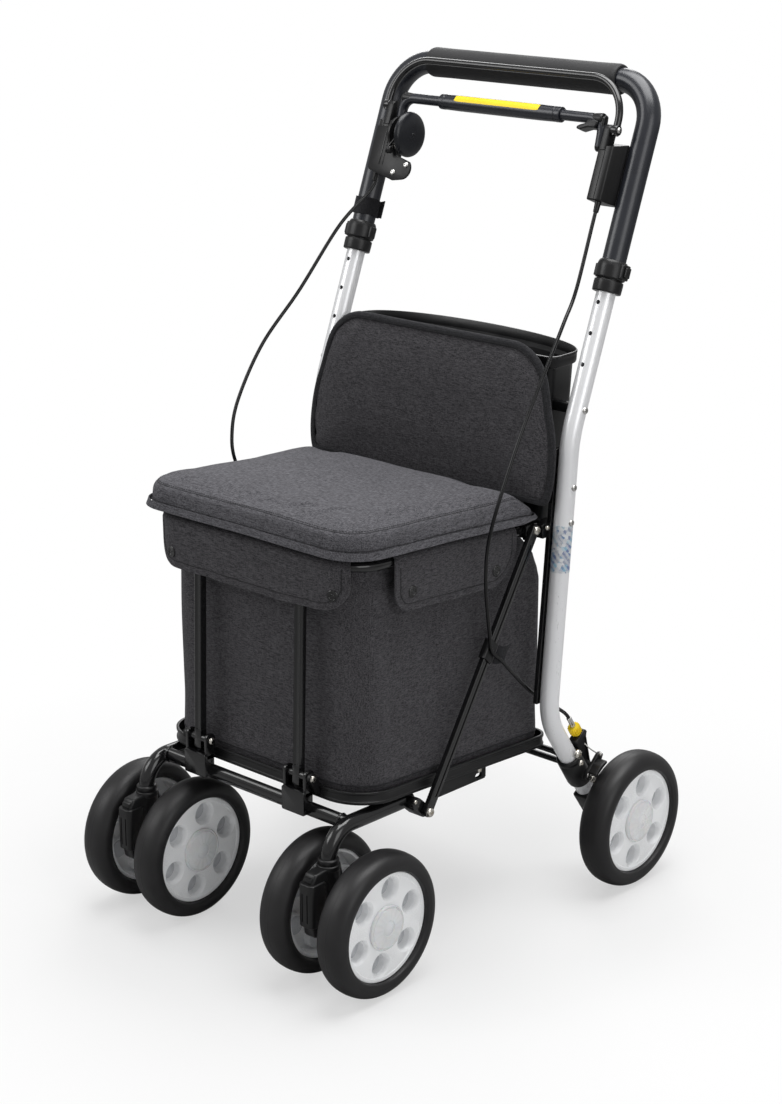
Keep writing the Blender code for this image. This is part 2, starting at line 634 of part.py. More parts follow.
def tray():
    """Tray under the bag: a rim, a floor, side plates below it and lugs on the hinge pins."""
    rear = REAR_Y - 0.066
    front = FRONT_Y + 0.004
    radii = (0.060, 0.060, 0.020, 0.020)

    def level(offset):
        return lambda depth, u, v: (u, v, deck_z(v) + offset + depth)

    outline = rounded_rectangle((-TRAY_HALF_WIDTH, front), (TRAY_HALF_WIDTH, rear), radii, 5)
    body = prism("tray", outline, -TRAY_RIM - TRAY_WALL, 0, "black_plastic", place=level(0))
    wall = TRAY_WALL
    inner = rounded_rectangle((-TRAY_HALF_WIDTH + wall, front + wall), (TRAY_HALF_WIDTH - wall, rear - wall),
                              [r - wall for r in radii], 5)
    cut(body, prism("tray_inside", inner, -TRAY_RIM, 0.01, place=level(0)))
    for side in (1, -1):
        near, far = sorted((side * (TRAY_HALF_WIDTH - 0.008), side * (TRAY_HALF_WIDTH - 0.004)))
        plate_front, plate_rear = FRONT_Y + 0.129, FRONT_Y + 0.221
        plate = [(plate_front, deck_z(plate_front) - 0.014), (plate_front, deck_z(plate_front) - 0.034),
                 (plate_rear, deck_z(plate_rear) - 0.030), (plate_rear, deck_z(plate_rear) - 0.014)]
        join(body, prism(f"side_plate_{side}", plate, near, far))
        slot = link_outline((plate_rear - 0.016, deck_z(plate_rear) - 0.023),
                            (plate_rear - 0.010, deck_z(plate_rear) - 0.023), 0.003, 3)
        cut(body, prism(f"plate_slot_{side}", slot, side * 0.14, side * 0.17))
        lug_in = BAR_X + BRACKET_WIDTH / 2 + GAP
        near, far = sorted((side * lug_in, side * (lug_in + 0.005)))
        lug = [(HINGE.x - 0.006, HINGE.y), *arc(HINGE, 0.006, 180, 0, 4)[1:], (HINGE.x + 0.016, DECK_Z - 0.006),
               (HINGE.x + 0.016, DECK_Z - 0.013), (HINGE.x + 0.006, DECK_Z - 0.010)]
        join(body, prism(f"tray_lug_{side}", lug, near, far))
        cut(body, rod(f"lug_hole_{side}", (near - 0.01, *HINGE), (far + 0.01, *HINGE), 0.0028))
    return body


# Rear frame

def rear_tube(side, word):
    """Bent alloy tube: foot, shin and leaning leg, with the height holes down its front."""
    x = side * TUBE_X
    foot = ANKLE + FOOT_DIR * FOOT_LENGTH
    path = filleted([(x, *foot), (x, *ANKLE), (x, *KNEE), on_leg(x, TUBE_TOP)], [0.075, 0.150])
    tube = sweep(f"rear_tube_{word}", path, (1, 0, 0), TUBE_RADIUS, sides=TUBE_SIDES,
                 bore=TUBE_RADIUS - TUBE_WALL, finish="silver_tube")
    for i in range(3):
        along = COLLAR_LOW - 0.0125 - i * HOLE_PITCH
        drill = rod(f"height_hole_{word}_{i}", on_leg(x, along, 0.004), on_leg(x, along, 0.02), HOLE_RADIUS, 8)
        cut(tube, drill)


def upright(side, word):
    """Flat bar inside the tube, its forward hinge bracket and the frame pivot's pin."""
    x = side * UPRIGHT_X
    low, high = ANKLE.y + 0.016, BIN_EAR_Z - 0.044
    half = UPRIGHT_WIDTH / 2
    outline = [(shin_y(low) - half, low), (shin_y(low) + half, low), (shin_y(high) + half, high),
               (shin_y(high) - half, high)]
    bar = prism(f"upright_{word}", outline, x - UPRIGHT_THICKNESS / 2, x + UPRIGHT_THICKNESS / 2, "black_tube")
    inner = STRUT_X - STRUT_THICKNESS / 2 - GAP
    back = shin_y(PIVOT_HEIGHT) + half
    spacer_front = PIVOT.x + STRUT_WIDTH / 2 + 0.003
    plan = [(side * (inner - 0.006), PIVOT.x - 0.009), (side * inner, PIVOT.x - 0.009),
            (side * inner, spacer_front), (side * (UPRIGHT_X - 0.001), spacer_front),
            (side * (UPRIGHT_X - 0.001), back), (side * (inner - 0.006), back)]
    bracket = prism(f"hinge_bracket_{word}", plan, PIVOT_HEIGHT - 0.012, PIVOT_HEIGHT + 0.0055, "black_tube",
                    place=lambda depth, u, v: (u, v, depth))
    pin = rod(f"pivot_pin_{word}", (side * (RING_HALF_WIDTH + 0.001), *PIVOT),
              (side * (STRUT_X + STRUT_THICKNESS / 2 + GAP + 0.001), *PIVOT), PIN_RADIUS)
    head = side * (STRUT_X + STRUT_THICKNESS / 2 + GAP)
    cap = rod(f"pivot_head_{word}", (head, *PIVOT), (head + side * 0.0035, *PIVOT), 0.0055)
    rear_face = BACK_Y + BACK_THICKNESS / 2
    tab = [(rear_face + math.tan(BACK_LEAN) * (z - BACK_BOTTOM), z) for z in (BACK_BOTTOM + 0.022, high - 0.004)]
    tab += [(shin_y(z), z) for z in (high - 0.004, BACK_BOTTOM + 0.022)]
    tab_guide = prism(f"backrest_tab_{word}", tab, side * (BACK_HALF_WIDTH - 0.030), x)
    join(bar, bracket, pin, cap, tab_guide)


def axle_fitting(side, word):
    """Sleeve on the tube's foot with the cable arm, the axle block and the stub axle."""
    x = side * TUBE_X
    bore_sides = 14
    clear = (TUBE_RADIUS + GAP / 5) / math.cos(math.pi / bore_sides)
    sleeve_from, sleeve_to = FOOT_LENGTH - 0.062, FOOT_LENGTH - 0.018
    start = ANKLE + FOOT_DIR * sleeve_from
    profile = [(0, clear), (0, SLEEVE_RADIUS), (sleeve_to - sleeve_from, SLEEVE_RADIUS),
               (sleeve_to - sleeve_from, clear)]
    axis = (0, *FOOT_DIR)
    fitting = turned(f"axle_fitting_{word}", profile, (x, *start), axis, bore_sides, "black_plastic")
    across = Vector((-FOOT_DIR.y, FOOT_DIR.x))
    foot = ANKLE + FOOT_DIR * FOOT_LENGTH

    def beside(along, out):
        return ANKLE + FOOT_DIR * along + across * out

    arm = [beside(sleeve_to - 0.004, clear + 0.0017), beside(sleeve_from + 0.004, clear + 0.0012),
           beside(sleeve_from - 0.004, clear + 0.0037), beside(ADJUSTER_ALONG + 0.0075, clear + 0.0032),
           beside(ADJUSTER_ALONG + 0.0075, 0.036),
           beside(ADJUSTER_ALONG + 0.013, 0.038), beside(sleeve_to - 0.006, 0.021)]
    half = 0.006
    arm_guide = prism(f"cable_arm_{word}", arm, x - half, x + half)
    strap = [beside(sleeve_to - 0.006, clear + 0.0022), beside(FOOT_LENGTH + 0.012, clear + 0.0022),
             beside(FOOT_LENGTH + 0.012, 0.020), beside(sleeve_to - 0.006, 0.020)]
    strap_guide = prism(f"fitting_back_{word}", strap, x - 0.009, x + 0.009)
    axle = Vector((REAR_Y, AXLE_Z))
    block = [beside(FOOT_LENGTH + 0.0005, -clear - 0.0022), beside(FOOT_LENGTH + 0.0005, 0.020),
             axle + Vector((0.013, 0.006)), axle + Vector((0.010, -0.010)), axle + Vector((-0.006, -0.013)),
             axle + Vector((-0.022, -0.004))]
    block_guide = prism(f"axle_block_{word}", block, x - 0.010, x + 0.012)
    stub = rod(f"stub_axle_{word}", (x, *axle), (side * (REAR_WHEEL_X + HUB_HALF_WIDTH - 0.001), *axle),
               AXLE_RADIUS, 10)
    boss = rod(f"arm_boss_{word}", (x + side * 0.008, *brake_pivot()), (side * ARM_FACE_X, *brake_pivot()), 0.0065, 10)
    pin_end = ARM_FACE_X + BRAKE_ARM_THICKNESS - 0.0002
    pin = rod(f"arm_pin_{word}", (side * (ARM_FACE_X - 0.001), *brake_pivot()), (side * pin_end, *brake_pivot()),
              0.0025)
    join(fitting, arm_guide, strap_guide, block_guide, stub, boss, pin)
    bore = rod(f"foot_bore_{word}", (x, *(foot - FOOT_DIR * 0.070)), (x, *(foot + FOOT_DIR * 0.0003)), clear, bore_sides)
    cut(fitting, bore)


ADJUSTER_ALONG = 0.054
ADJUSTER_OUT = 0.0265


def adjuster_place(along=0.0):
    across = Vector((-FOOT_DIR.y, FOOT_DIR.x))
    return ANKLE + FOOT_DIR * (ADJUSTER_ALONG + along) + across * ADJUSTER_OUT


def cable_adjuster(side, word):
    """Ribbed thumb knob where the brake cable ends."""
    start = adjuster_place(-0.0070)
    outline = []
    for i in range(8):
        turn = 2 * math.pi * i / 8
        outline.append((0.0068 * math.cos(turn - 0.25), 0.0068 * math.sin(turn - 0.25)))
        outline.append((0.0068 * math.cos(turn + 0.10), 0.0068 * math.sin(turn + 0.10)))
        outline.append((0.0056 * math.cos(turn + 0.25), 0.0056 * math.sin(turn + 0.25)))
    across = Vector((-FOOT_DIR.y, FOOT_DIR.x))

    def spot(depth, u, v):
        place = start + FOOT_DIR * depth + across * v
        return (side * TUBE_X + u, place.x, place.y)

    prism(f"cable_adjuster_{word}", outline, 0, 0.0142, "yellow_plastic", place=spot)


def brake_pivot():
    """Pivot of the brake arm, beside the axle fitting."""
    return Vector((REAR_Y - 0.0545, AXLE_Z + 0.0660))


def brake_arm(side, word):
    """Arm outside the fitting with a shoe lying over the tyre."""
    pivot = brake_pivot()
    clear = 0.0043
    turn = math.radians(115)
    out = Vector((math.cos(turn), math.sin(turn)))
    along = Vector((math.sin(turn), -math.cos(turn)))
    under = Vector((REAR_Y, AXLE_Z)) + out * (WHEEL_RADIUS + clear)
    shoe = [under - along * 0.015, under + along * 0.017, under + along * 0.017 + out * 0.007,
            under - along * 0.015 + out * 0.007]
    tip = under + out * 0.0035 + along * 0.004
    near, far = ARM_FACE_X + GAP, ARM_FACE_X + BRAKE_ARM_THICKNESS
    arm = prism(f"brake_arm_{word}", link_outline(pivot, tip, 0.0055, 4), *sorted((side * near, side * far)))
    shoe_guide = prism(f"brake_shoe_{word}", shoe, *sorted((side * (far - 0.0013), side * (REAR_WHEEL_X - 0.0025))))
    hole = rod(f"arm_hole_{word}", (side * 0.200, *pivot), (side * 0.210, *pivot), 0.0028)
    cut(join(arm, shoe_guide), hole)


def rear_stay():
    """Wire stay between the feet of the tubes: two cross rods joined by short returns."""
    upper, lower = Vector((REAR_Y - 0.062, AXLE_Z + 0.0860)), Vector((REAR_Y - 0.047, AXLE_Z + 0.0680))
    radius = 0.0038
    reach = TUBE_X - SLEEVE_RADIUS - GAP - radius
    corners = [(-reach, upper.x, upper.y), (reach, upper.x, upper.y), (reach, lower.x, lower.y),
               (-reach, lower.x, lower.y)]
    path = []
    for before, here, after in zip([corners[-1]] + corners[:-1], corners, corners[1:] + corners[:1]):
        path += filleted([before, here, after], [0.010], 3)[1:-1]
    across = Vector(corners[1]) - Vector(corners[2])
    stay = sweep("rear_stay", path, Vector((1, 0, 0)).cross(across), radius, sides=8, closed=True)
    for side in (1, -1):
        middle = (upper + lower) / 2
        near, far = sorted((side * (reach - 0.006), side * (reach + radius)))
        tongue = box(f"stay_tongue_{side}", (near, middle.x - 0.005, middle.y - 0.006),
                     (far, middle.x + 0.005, middle.y + 0.006))
        join(stay, tongue)


# Seat and backrest

def seat_outline(inset, steps):
    low = (-SEAT_HALF_WIDTH + inset, FRONT_Y - SEAT_OVERHANG + inset)
    high = (SEAT_HALF_WIDTH - inset, SEAT_REAR_Y - inset)
    corner = max(0.045 - inset, 0.010)
    rear = max(0.014 - inset, 0.004)
    points = []
    pairs = loop_pairs(rounded_rectangle(low, high, (corner, corner, rear, rear), 4))
    for place, ((u, v), (u2, v2)) in enumerate(pairs):
        points.append((u, v))
        if place % 5 == 4:
            points += [(u + (u2 - u) * i / steps, v + (v2 - v) * i / steps) for i in range(1, steps)]
    return points


def loop_pairs(points):
    return list(zip(points, points[1:] + points[:1]))


def drawn_in(u, v, half, middle, reach, depth):
    """How far a side is pulled in between its corners: most at mid-length, none at the corners."""
    across = 1 - min(1.0, abs(u) / half)
    along = 1 - min(1.0, abs(v - middle) / reach)
    return depth * across, depth * along


def seat_tail(y):
    """0 on the seat's thick part, 1 at the rear edge, where it passes under the backrest."""
    return min(1.0, max(0.0, (y - SEAT_BEND_Y + 0.045) / (SEAT_TAIL + 0.045)))


def seat_cushion():
    """Crowned cushion with a boxed edge, drawn-in sides and a thin tail under the backrest."""
    middle = (FRONT_Y - SEAT_OVERHANG + SEAT_REAR_Y) / 2
    reach = (SEAT_REAR_Y - FRONT_Y + SEAT_OVERHANG) / 2
    base = RING_RADIUS + 3 * GAP + SEAT_BOARD

    def surface(u, v, share, side):
        pull_v, pull_u = drawn_in(u, v, SEAT_HALF_WIDTH, middle, reach, 0.0035)
        u -= math.copysign(pull_u * (abs(u) / SEAT_HALF_WIDTH) ** 4, u)
        v -= math.copysign(pull_v * (abs(v - middle) / reach) ** 4, v - middle)
        low = ring_z(v) + base + SEAT_TAIL_RISE * seat_tail(v)
        thick = SEAT_THICKNESS * (1 - 0.78 * seat_tail(v))
        if side < 0:
            return (u, v, low + 0.09 * thick * (1 - share))
        return (u, v, low + thick * (0.24 + 0.76 * share))

    rings = [(0.0, 0.0), (0.0010, 0.32), (0.0018, 0.58), (0.0050, 0.69), (0.0078, 0.66), (0.0120, 0.74),
             (0.035, 0.90), (0.080, 0.98), (0.125, 1.0)]
    cushion("seat_cushion", seat_outline, surface, rings, 5)
    low = FRONT_Y - SEAT_OVERHANG + 0.024
    outline = rounded_rectangle((-SEAT_HALF_WIDTH + 0.016, low), (SEAT_HALF_WIDTH - 0.016, SEAT_BEND_Y - 0.008),
                                (0.03, 0.03, 0.008, 0.008), 3)
    prism("seat_board", outline, RING_RADIUS + GAP, RING_RADIUS + GAP + SEAT_BOARD, "black_plastic",
          place=lambda depth, u, v: (u, v, ring_z(v) + depth))


def back_outline(inset, steps):
    low, high = BACK_BOTTOM + inset, BACK_TOP - inset
    half = BACK_HALF_WIDTH - inset
    corner = max(0.062 - inset, 0.012)
    top = [(half - 0.018 - corner + corner * math.cos(t), high - corner + corner * math.sin(t))
           for t in [math.radians(90 * i / 5) for i in range(6)]]
    right = [(half - 0.004, low), (half, low + 0.030), (half + 0.001, low + 0.060), (half - 0.006, low + 0.090)]
    crown = [(x, high) for x in (0.070, 0.0, -0.070)]
    left = [(-x, z) for x, z in reversed(right + top)]
    floor = [(x, low) for x in (-0.110, -0.055, 0.0, 0.055, 0.110)]
    return right + top + crown + left + floor


def backrest():
    """Padded back panel with a flat bound edge, leaning back with the frame."""

    def surface(u, v, share, side):
        y = BACK_Y + math.tan(BACK_LEAN) * (v - BACK_BOTTOM) + 0.010 * (u / BACK_HALF_WIDTH) ** 2 * 0.0
        half = 0.0024 + (BACK_THICKNESS / 2 - 0.0024) * share
        return (u, y - side * half, v)

    rings = [(0.0, 0.0), (0.0012, 0.22), (0.0062, 0.22), (0.0100, 0.55), (0.024, 0.88), (0.050, 1.0)]
    cushion("backrest", back_outline, surface, rings, 1)


# Rear bin

def bin_outline(half, front, rear, z):
    """D-shaped outline: flat at the front, bulging at the rear."""
    points = [(-half + 0.012, front), (half - 0.012, front), (half, front + 0.012)]
    for i in range(9):
        turn = math.radians(180 * i / 8)
        bulge = math.sin(turn) ** 0.8 if 0 < i < 8 else 0.0
        points.append((half * math.cos(turn), front + 0.030 + (rear - front - 0.030) * bulge))
    points.append((-half, front + 0.012))
    return [(u, v, z) for u, v in points]


def rear_bin():
    """Open tapering bin behind the backrest, with a rolled rim band and side ears on the tubes."""
    front = BACK_Y + BACK_THICKNESS / 2 + math.tan(BACK_LEAN) * (BIN_RIM_HEIGHT - BACK_BOTTOM) + 0.003
    rear = front + 0.100
    top, low = BIN_RIM_HEIGHT, BIN_RIM_HEIGHT - BIN_DEPTH_DOWN
    half = BIN_HALF_WIDTH
    sections = [(half - 0.012, front, rear - 0.050, low), (half - 0.0045, front, rear - 0.008, top - 0.024),
                (half - 0.001, front, rear - 0.002, top - 0.022), (half, front, rear, top)]
    body = lofted("rear_bin", [bin_outline(*s) for s in sections], "black_plastic")
    wall = BIN_WALL
    inside = [(half_in - wall, near + wall, far - wall, z) for half_in, near, far, z in sections]
    inside[0] = (*inside[0][:3], low + wall)
    inside[-1] = (*inside[-1][:3], top + 0.01)
    del inside[2]
    y = tube_y(BIN_EAR_Z)
    for side in (1, -1):
        near, far = sorted((side * (half - 0.014), side * (TUBE_X - TUBE_RADIUS - GAP)))
        join(body, box(f"bin_ear_{side}", (near, y - 0.005, BIN_EAR_Z - 0.007), (far, y + 0.005, BIN_EAR_Z + 0.007)))
    cut(body, lofted("bin_inside", [bin_outline(*s) for s in inside], "black_plastic"))


# Handle

def leg_prism(name, outline, near, far, finish="black_plastic"):
    """An outline in (x, ahead of the leg), pushed up the leg from near to far."""
    return prism(name, outline, near, far, finish, place=lambda depth, u, v: on_leg(u, depth, v))


def handle_tube():
    bottom = COLLAR_LOW + 0.0142
    corners = [on_leg(-TUBE_X, bottom), on_leg(-TUBE_X, BAR_ALONG), on_leg(TUBE_X, BAR_ALONG),
               on_leg(TUBE_X, bottom)]
    path = filleted(corners, [HANDLE_CORNER] * 2, 6)
    flat = Vector((0, LEG_FRONT.x, LEG_FRONT.y))
    sweep("handle_tube", path, flat, HANDLE_RADIUS, sides=TUBE_SIDES, bore=HANDLE_BORE, finish="satin_handle")
    bore = HANDLE_RADIUS + 2 * GAP
    profile = [(0, bore), (0, GRIP_RADIUS - 0.001), (0.002, GRIP_RADIUS), (2 * GRIP_HALF_LENGTH - 0.002, GRIP_RADIUS),
               (2 * GRIP_HALF_LENGTH, GRIP_RADIUS - 0.001), (2 * GRIP_HALF_LENGTH, bore)]
    turned("grip_sleeve", profile, on_leg(-GRIP_HALF_LENGTH, BAR_ALONG), (1, 0, 0), 16, "grip_foam")


def collar(side, word):
    """Collar at the foot of the handle leg, running on the alloy tube, with the height button."""
    x = side * TUBE_X
    slide, seat = TUBE_RADIUS + GAP, HANDLE_RADIUS + GAP
    profile = [(0, slide), (0, seat + 0.0022), (0.002, seat + 0.0028), (0.014, seat + 0.0028),
               (0.016, seat + 0.0034), (0.034, seat + 0.0034), (0.036, seat + 0.0017), (0.036, seat),
               (0.0139, seat), (0.0139, slide)]
    body = turned(f"collar_{word}", profile, on_leg(x, COLLAR_LOW), (0, *LEG_DIR), 16, "black_plastic")
    low, high = COLLAR_LOW + 0.017, COLLAR_LOW + 0.033
    wide = 0.0065
    boss_from, boss_to, floor = TUBE_X + seat + 0.0012, TUBE_X + seat + 0.0062, TUBE_X + seat + 0.0020
    boss = leg_prism(f"button_boss_{word}", side_rectangle(side, boss_from, boss_to, wide), low, high)
    pocket = leg_prism(f"button_pocket_{word}", side_rectangle(side, floor, boss_to + 0.01, wide - 0.0025),
                       low + 0.0025, high - 0.0025)
    cut(join(body, boss), pocket)
    gap = wide - 0.0025 - GAP
    leg_prism(f"height_button_{word}", side_rectangle(side, floor + 0.0030, boss_to + 0.0034, gap),
              low + 0.0025 + GAP, high - 0.0025 - GAP)


def side_rectangle(side, near, far, half):
    near, far = sorted((side * near, side * far))
    return [(near, -half), (far, -half), (far, half), (near, half)]


def tube_strap():
    """Hook-and-loop strap round the left handle leg, above the collar."""
    low = COLLAR_LOW + 0.044
    seat = HANDLE_RADIUS + 2 * GAP
    profile = [(0, seat), (0, seat + 0.0024), (0.020, seat + 0.0024), (0.020, seat)]
    turned("tube_strap", profile, on_leg(-TUBE_X, low), (0, *LEG_DIR), 14, "grip_foam")


def housing(side, word):
    """Lever housing clamped to the inside front of the handle leg."""
    seat = HANDLE_RADIUS + 2 * GAP
    bite = [(TUBE_X + seat * math.cos(math.radians(a)), seat * math.sin(math.radians(a)))
            for a in (110, 128, 146, 164, 180)]
    outline = [(HOUSING_INNER_X, 0.0), (HOUSING_INNER_X, 0.029), (HOUSING_INNER_X + 0.004, 0.033),
               (TUBE_X - 0.0120, 0.033), (TUBE_X - 0.0065, 0.027), *bite]
    body = leg_prism(f"housing_{word}", [(side * u, v) for u, v in outline], HOUSING_LOW, HOUSING_HIGH)
    lug_in, lug_out = 0.1555, LOOP_X - 0.0040 - GAP
    lug = [(side * u, v) for u, v in ((lug_in, 0.018), (lug_in, 0.0325), (lug_out, 0.0325), (lug_out, 0.018))]
    loop_pin = [on_leg(side * (lug_out - 0.004), LOOP_PIVOT_ALONG, LOOP_AHEAD),
                on_leg(side * (LOOP_X + 0.006), LOOP_PIVOT_ALONG, LOOP_AHEAD)]
    park_pin = [on_leg(side * (HOUSING_INNER_X + 0.004), PARK_PIVOT_ALONG, PARK_PIVOT_AHEAD),
                on_leg(side * (PARK_ARM_X - 0.0045), PARK_PIVOT_ALONG, PARK_PIVOT_AHEAD)]
    join(body, leg_prism(f"housing_lug_{word}", lug, HOUSING_HIGH - 0.006, HOUSING_HIGH + 0.017),
         rod(f"loop_pin_{word}", *loop_pin, 0.0016), rod(f"park_pin_{word}", *park_pin, 0.0016))


LOOP_PIVOT_ALONG = HOUSING_HIGH + 0.011
LOOP_TOP_ALONG = 0.396
PARK_PIVOT_ALONG = 0.320
PARK_PIVOT_AHEAD = 0.022


def brake_loop():
    """Bent brake bar in front of the grip, pivoting on the housings."""
    foot = LOOP_PIVOT_ALONG - 0.006
    corners = [on_leg(-LOOP_X, foot, LOOP_AHEAD), on_leg(-LOOP_X, LOOP_TOP_ALONG, LOOP_AHEAD),
               on_leg(LOOP_X, LOOP_TOP_ALONG, LOOP_AHEAD), on_leg(LOOP_X, foot, LOOP_AHEAD)]
    path = filleted(corners, [0.034] * 2, 5)
    loop = sweep("brake_loop", path, Vector((0, LEG_FRONT.x, LEG_FRONT.y)), 0.0042, 0.0040, sides=8,
                 finish="black_tube")
    for side in (1, -1):
        hole = rod(f"loop_hole_{side}", on_leg(side * (LOOP_X - 0.01), LOOP_PIVOT_ALONG, LOOP_AHEAD),
                   on_leg(side * (LOOP_X + 0.01), LOOP_PIVOT_ALONG, LOOP_AHEAD), 0.0019)
        cut(loop, hole)


def parking_bar():
    """Bar below the brake loop that sets the brakes when pushed down, with its wide sleeve."""
    x = PARK_ARM_X
    corners = [on_leg(-x, PARK_PIVOT_ALONG - 0.005, PARK_PIVOT_AHEAD), on_leg(-x, PARK_ALONG, PARK_AHEAD),
               on_leg(x, PARK_ALONG, PARK_AHEAD), on_leg(x, PARK_PIVOT_ALONG - 0.005, PARK_PIVOT_AHEAD)]
    path = filleted(corners, [0.016] * 2, 4)
    across = (corners[1] - corners[0]).cross(Vector((1, 0, 0)))
    bar = sweep("parking_bar", path, across, 0.0044, 0.0034, sides=8, finish="black_plastic")
    for side in (1, -1):
        hole = rod(f"park_hole_{side}", on_leg(side * (x - 0.01), PARK_PIVOT_ALONG, PARK_PIVOT_AHEAD),
                   on_leg(side * (x + 0.01), PARK_PIVOT_ALONG, PARK_PIVOT_AHEAD), 0.0019)
        cut(bar, hole)
    half = 0.0890
    profile = [(0, 0.0050), (0, 0.0085), (0.002, 0.0090), (2 * half - 0.002, 0.0090), (2 * half, 0.0085),
               (2 * half, 0.0050)]
    turned("parking_sleeve", profile, on_leg(-half, PARK_ALONG, PARK_AHEAD), (1, 0, 0), 12, "black_plastic")


def bell():
    """Bell on a bracket screwed to the left housing, with its thumb lever."""
    face = 0.033 + GAP
    plate_outline = [(-0.170, 0.312), (-0.170, 0.262), (-0.160, 0.258), (-0.128, 0.249),
                     *arc((-0.128, 0.262), 0.013, -90, 45, 4)[1:], (-0.142, 0.281), (-0.142, 0.312)]
    bracket = prism("bell_bracket", plate_outline, face, face + 0.0032, "black_plastic",
                    place=lambda depth, u, v: on_leg(u, v, depth))
    base_x = -0.1430
    center = on_leg(base_x, BELL_ALONG, BELL_AHEAD)
    base = turned("bell_base", [(0, 0), (0, 0.0205), (0.0042, 0.0205), (0.0042, 0)], center, (1, 0, 0), 16,
                  "black_plastic")
    post = rod("bell_post", center, center + Vector((0.0186, 0, 0)), 0.003)
    join(bracket, base, post)
    rim = center + Vector((0.0082, 0, 0))
    dome = [(0, 0.0235), (0.0040, 0.0232), (0.0085, 0.0190), (0.0115, 0.0115), (0.0125, 0),
            (0.0109, 0), (0.0100, 0.0108), (0.0072, 0.0178), (0.0034, 0.0216), (0, 0.0219)]
    profile = dome[:5] + dome[5:]
    points = profile[4::-1] + profile[:4:-1]
    turned("bell_dome", points, rim, (1, 0, 0), 16, "black_tube")
    lever_x = base_x + 0.0042 + GAP
    pivot = (BELL_ALONG, BELL_AHEAD)
    tip = (BELL_ALONG - 0.024, BELL_AHEAD + 0.017)
    lever = prism("bell_lever", link_outline(pivot, tip, 0.0050, 4), lever_x, lever_x + 0.0026, "black_plastic",
                  place=lambda depth, u, v: on_leg(depth, u, v))
    hole = rod("lever_hole", center, center + Vector((0.02, 0, 0)), 0.0033)
    cut(lever, hole)


BELL_ALONG = 0.3066
BELL_AHEAD = 0.0273


# Brake cables

def smooth_route(knots, count):
    """Points evenly spaced along a smooth curve through the knots."""
    knots = [Vector(k) for k in knots]
    ends = [2 * knots[0] - knots[1]] + knots + [2 * knots[-1] - knots[-2]]
    fine = []
    for a, b, c, d in zip(ends, ends[1:], ends[2:], ends[3:]):
        for i in range(24):
            t = i / 24
            fine.append(0.5 * ((2 * b) + (c - a) * t + (2 * a - 5 * b + 4 * c - d) * t ** 2
                               + (3 * b - a - 3 * c + d) * t ** 3))
    fine.append(knots[-1])
    lengths = [0.0]
    for a, b in zip(fine, fine[1:]):
        lengths.append(lengths[-1] + (b - a).length)
    route, spot = [], 0
    for i in range(count):
        goal = lengths[-1] * i / (count - 1)
        while spot < len(fine) - 2 and lengths[spot + 1] < goal:
            spot += 1
        share = (goal - lengths[spot]) / (lengths[spot + 1] - lengths[spot])
        route.append(fine[spot].lerp(fine[spot + 1], share))
    return route


def cable_knots(side):
    """Chosen points of one brake cable, from its housing by the strut to the adjuster."""
    start = on_leg(side * 0.165, HOUSING_LOW - GAP, 0.024)
    near = on_leg(side * 0.1655, HOUSING_LOW - 0.022, 0.025)
    if side > 0:
        bow = [(0.172, 0.344, 0.720), (0.178, 0.315, 0.688), (0.186, 0.269, 0.636), (0.190, 0.229, 0.583),
               (0.188, 0.198, 0.519), (0.184, 0.187, 0.481)]
    else:
        bow = [(-0.179, 0.338, 0.750), (-0.196, 0.286, 0.678), (-0.205, 0.231, 0.620), (-0.205, 0.189, 0.560),
               (-0.200, 0.173, 0.520), (-0.193, 0.172, 0.489)]
    bow += [(side * 0.181, 0.184, 0.451), (side * 0.178, 0.187, 0.416), (side * 0.1762, 0.193, 0.382),
            (side * 0.1752, 0.1985, 0.355), (side * 0.1746, 0.2030, 0.336), (side * 0.1748, 0.221, 0.319),
            (side * 0.1735, 0.244, 0.296), (side * 0.1690, 0.2735, 0.270), (side * 0.1655, 0.300, 0.2500),
            (side * 0.1700, 0.317, 0.2370)]
    middle = [(x, y + FRONT_Y, z) for x, y, z in bow]
    last, end = adjuster_place(-0.0300), adjuster_place(-0.0070 - 2 * GAP)
    return [start, near, *middle, (side * TUBE_X - side * 0.002, *last), (side * TUBE_X, *end)]


def brake_cable(side, word):
    route = smooth_route(cable_knots(side), 38)
    curve = bpy.data.curves.new(f"brake_cable_{word}", "CURVE")
    curve.dimensions = "3D"
    curve.bevel_depth = CABLE_RADIUS
    curve.bevel_resolution = 2
    curve.use_fill_caps = True
    spline = curve.splines.new("POLY")
    spline.points.add(len(route) - 1)
    for point, place in zip(spline.points, route):
        point.co = (*place, 1)
    made = bpy.data.objects.new(f"brake_cable_{word}", curve)
    bpy.context.collection.objects.link(made)
    made.data.materials.append(material("black_plastic"))


def main():
    clear_scene()
    wheels()
    leg_frame()
    struts()
    bag_ring()
    front_bars()
    bag()
    flaps()
    cable_strap()
    tray()
    rear_stay()
    seat_cushion()
    backrest()
    rear_bin()
    handle_tube()
    tube_strap()
    brake_loop()
    parking_bar()
    bell()
    for side, word in ((1, "right"), (-1, "left")):
        caster(side, word)
        rear_tube(side, word)
        upright(side, word)
        axle_fitting(side, word)
        cable_adjuster(side, word)
        brake_arm(side, word)
        collar(side, word)
        housing(side, word)
        brake_cable(side, word)


main()
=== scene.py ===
import math

import bmesh
import bpy
from mathutils import Matrix, Vector, noise
from mathutils.bvhtree import BVHTree
from mathutils.kdtree import KDTree

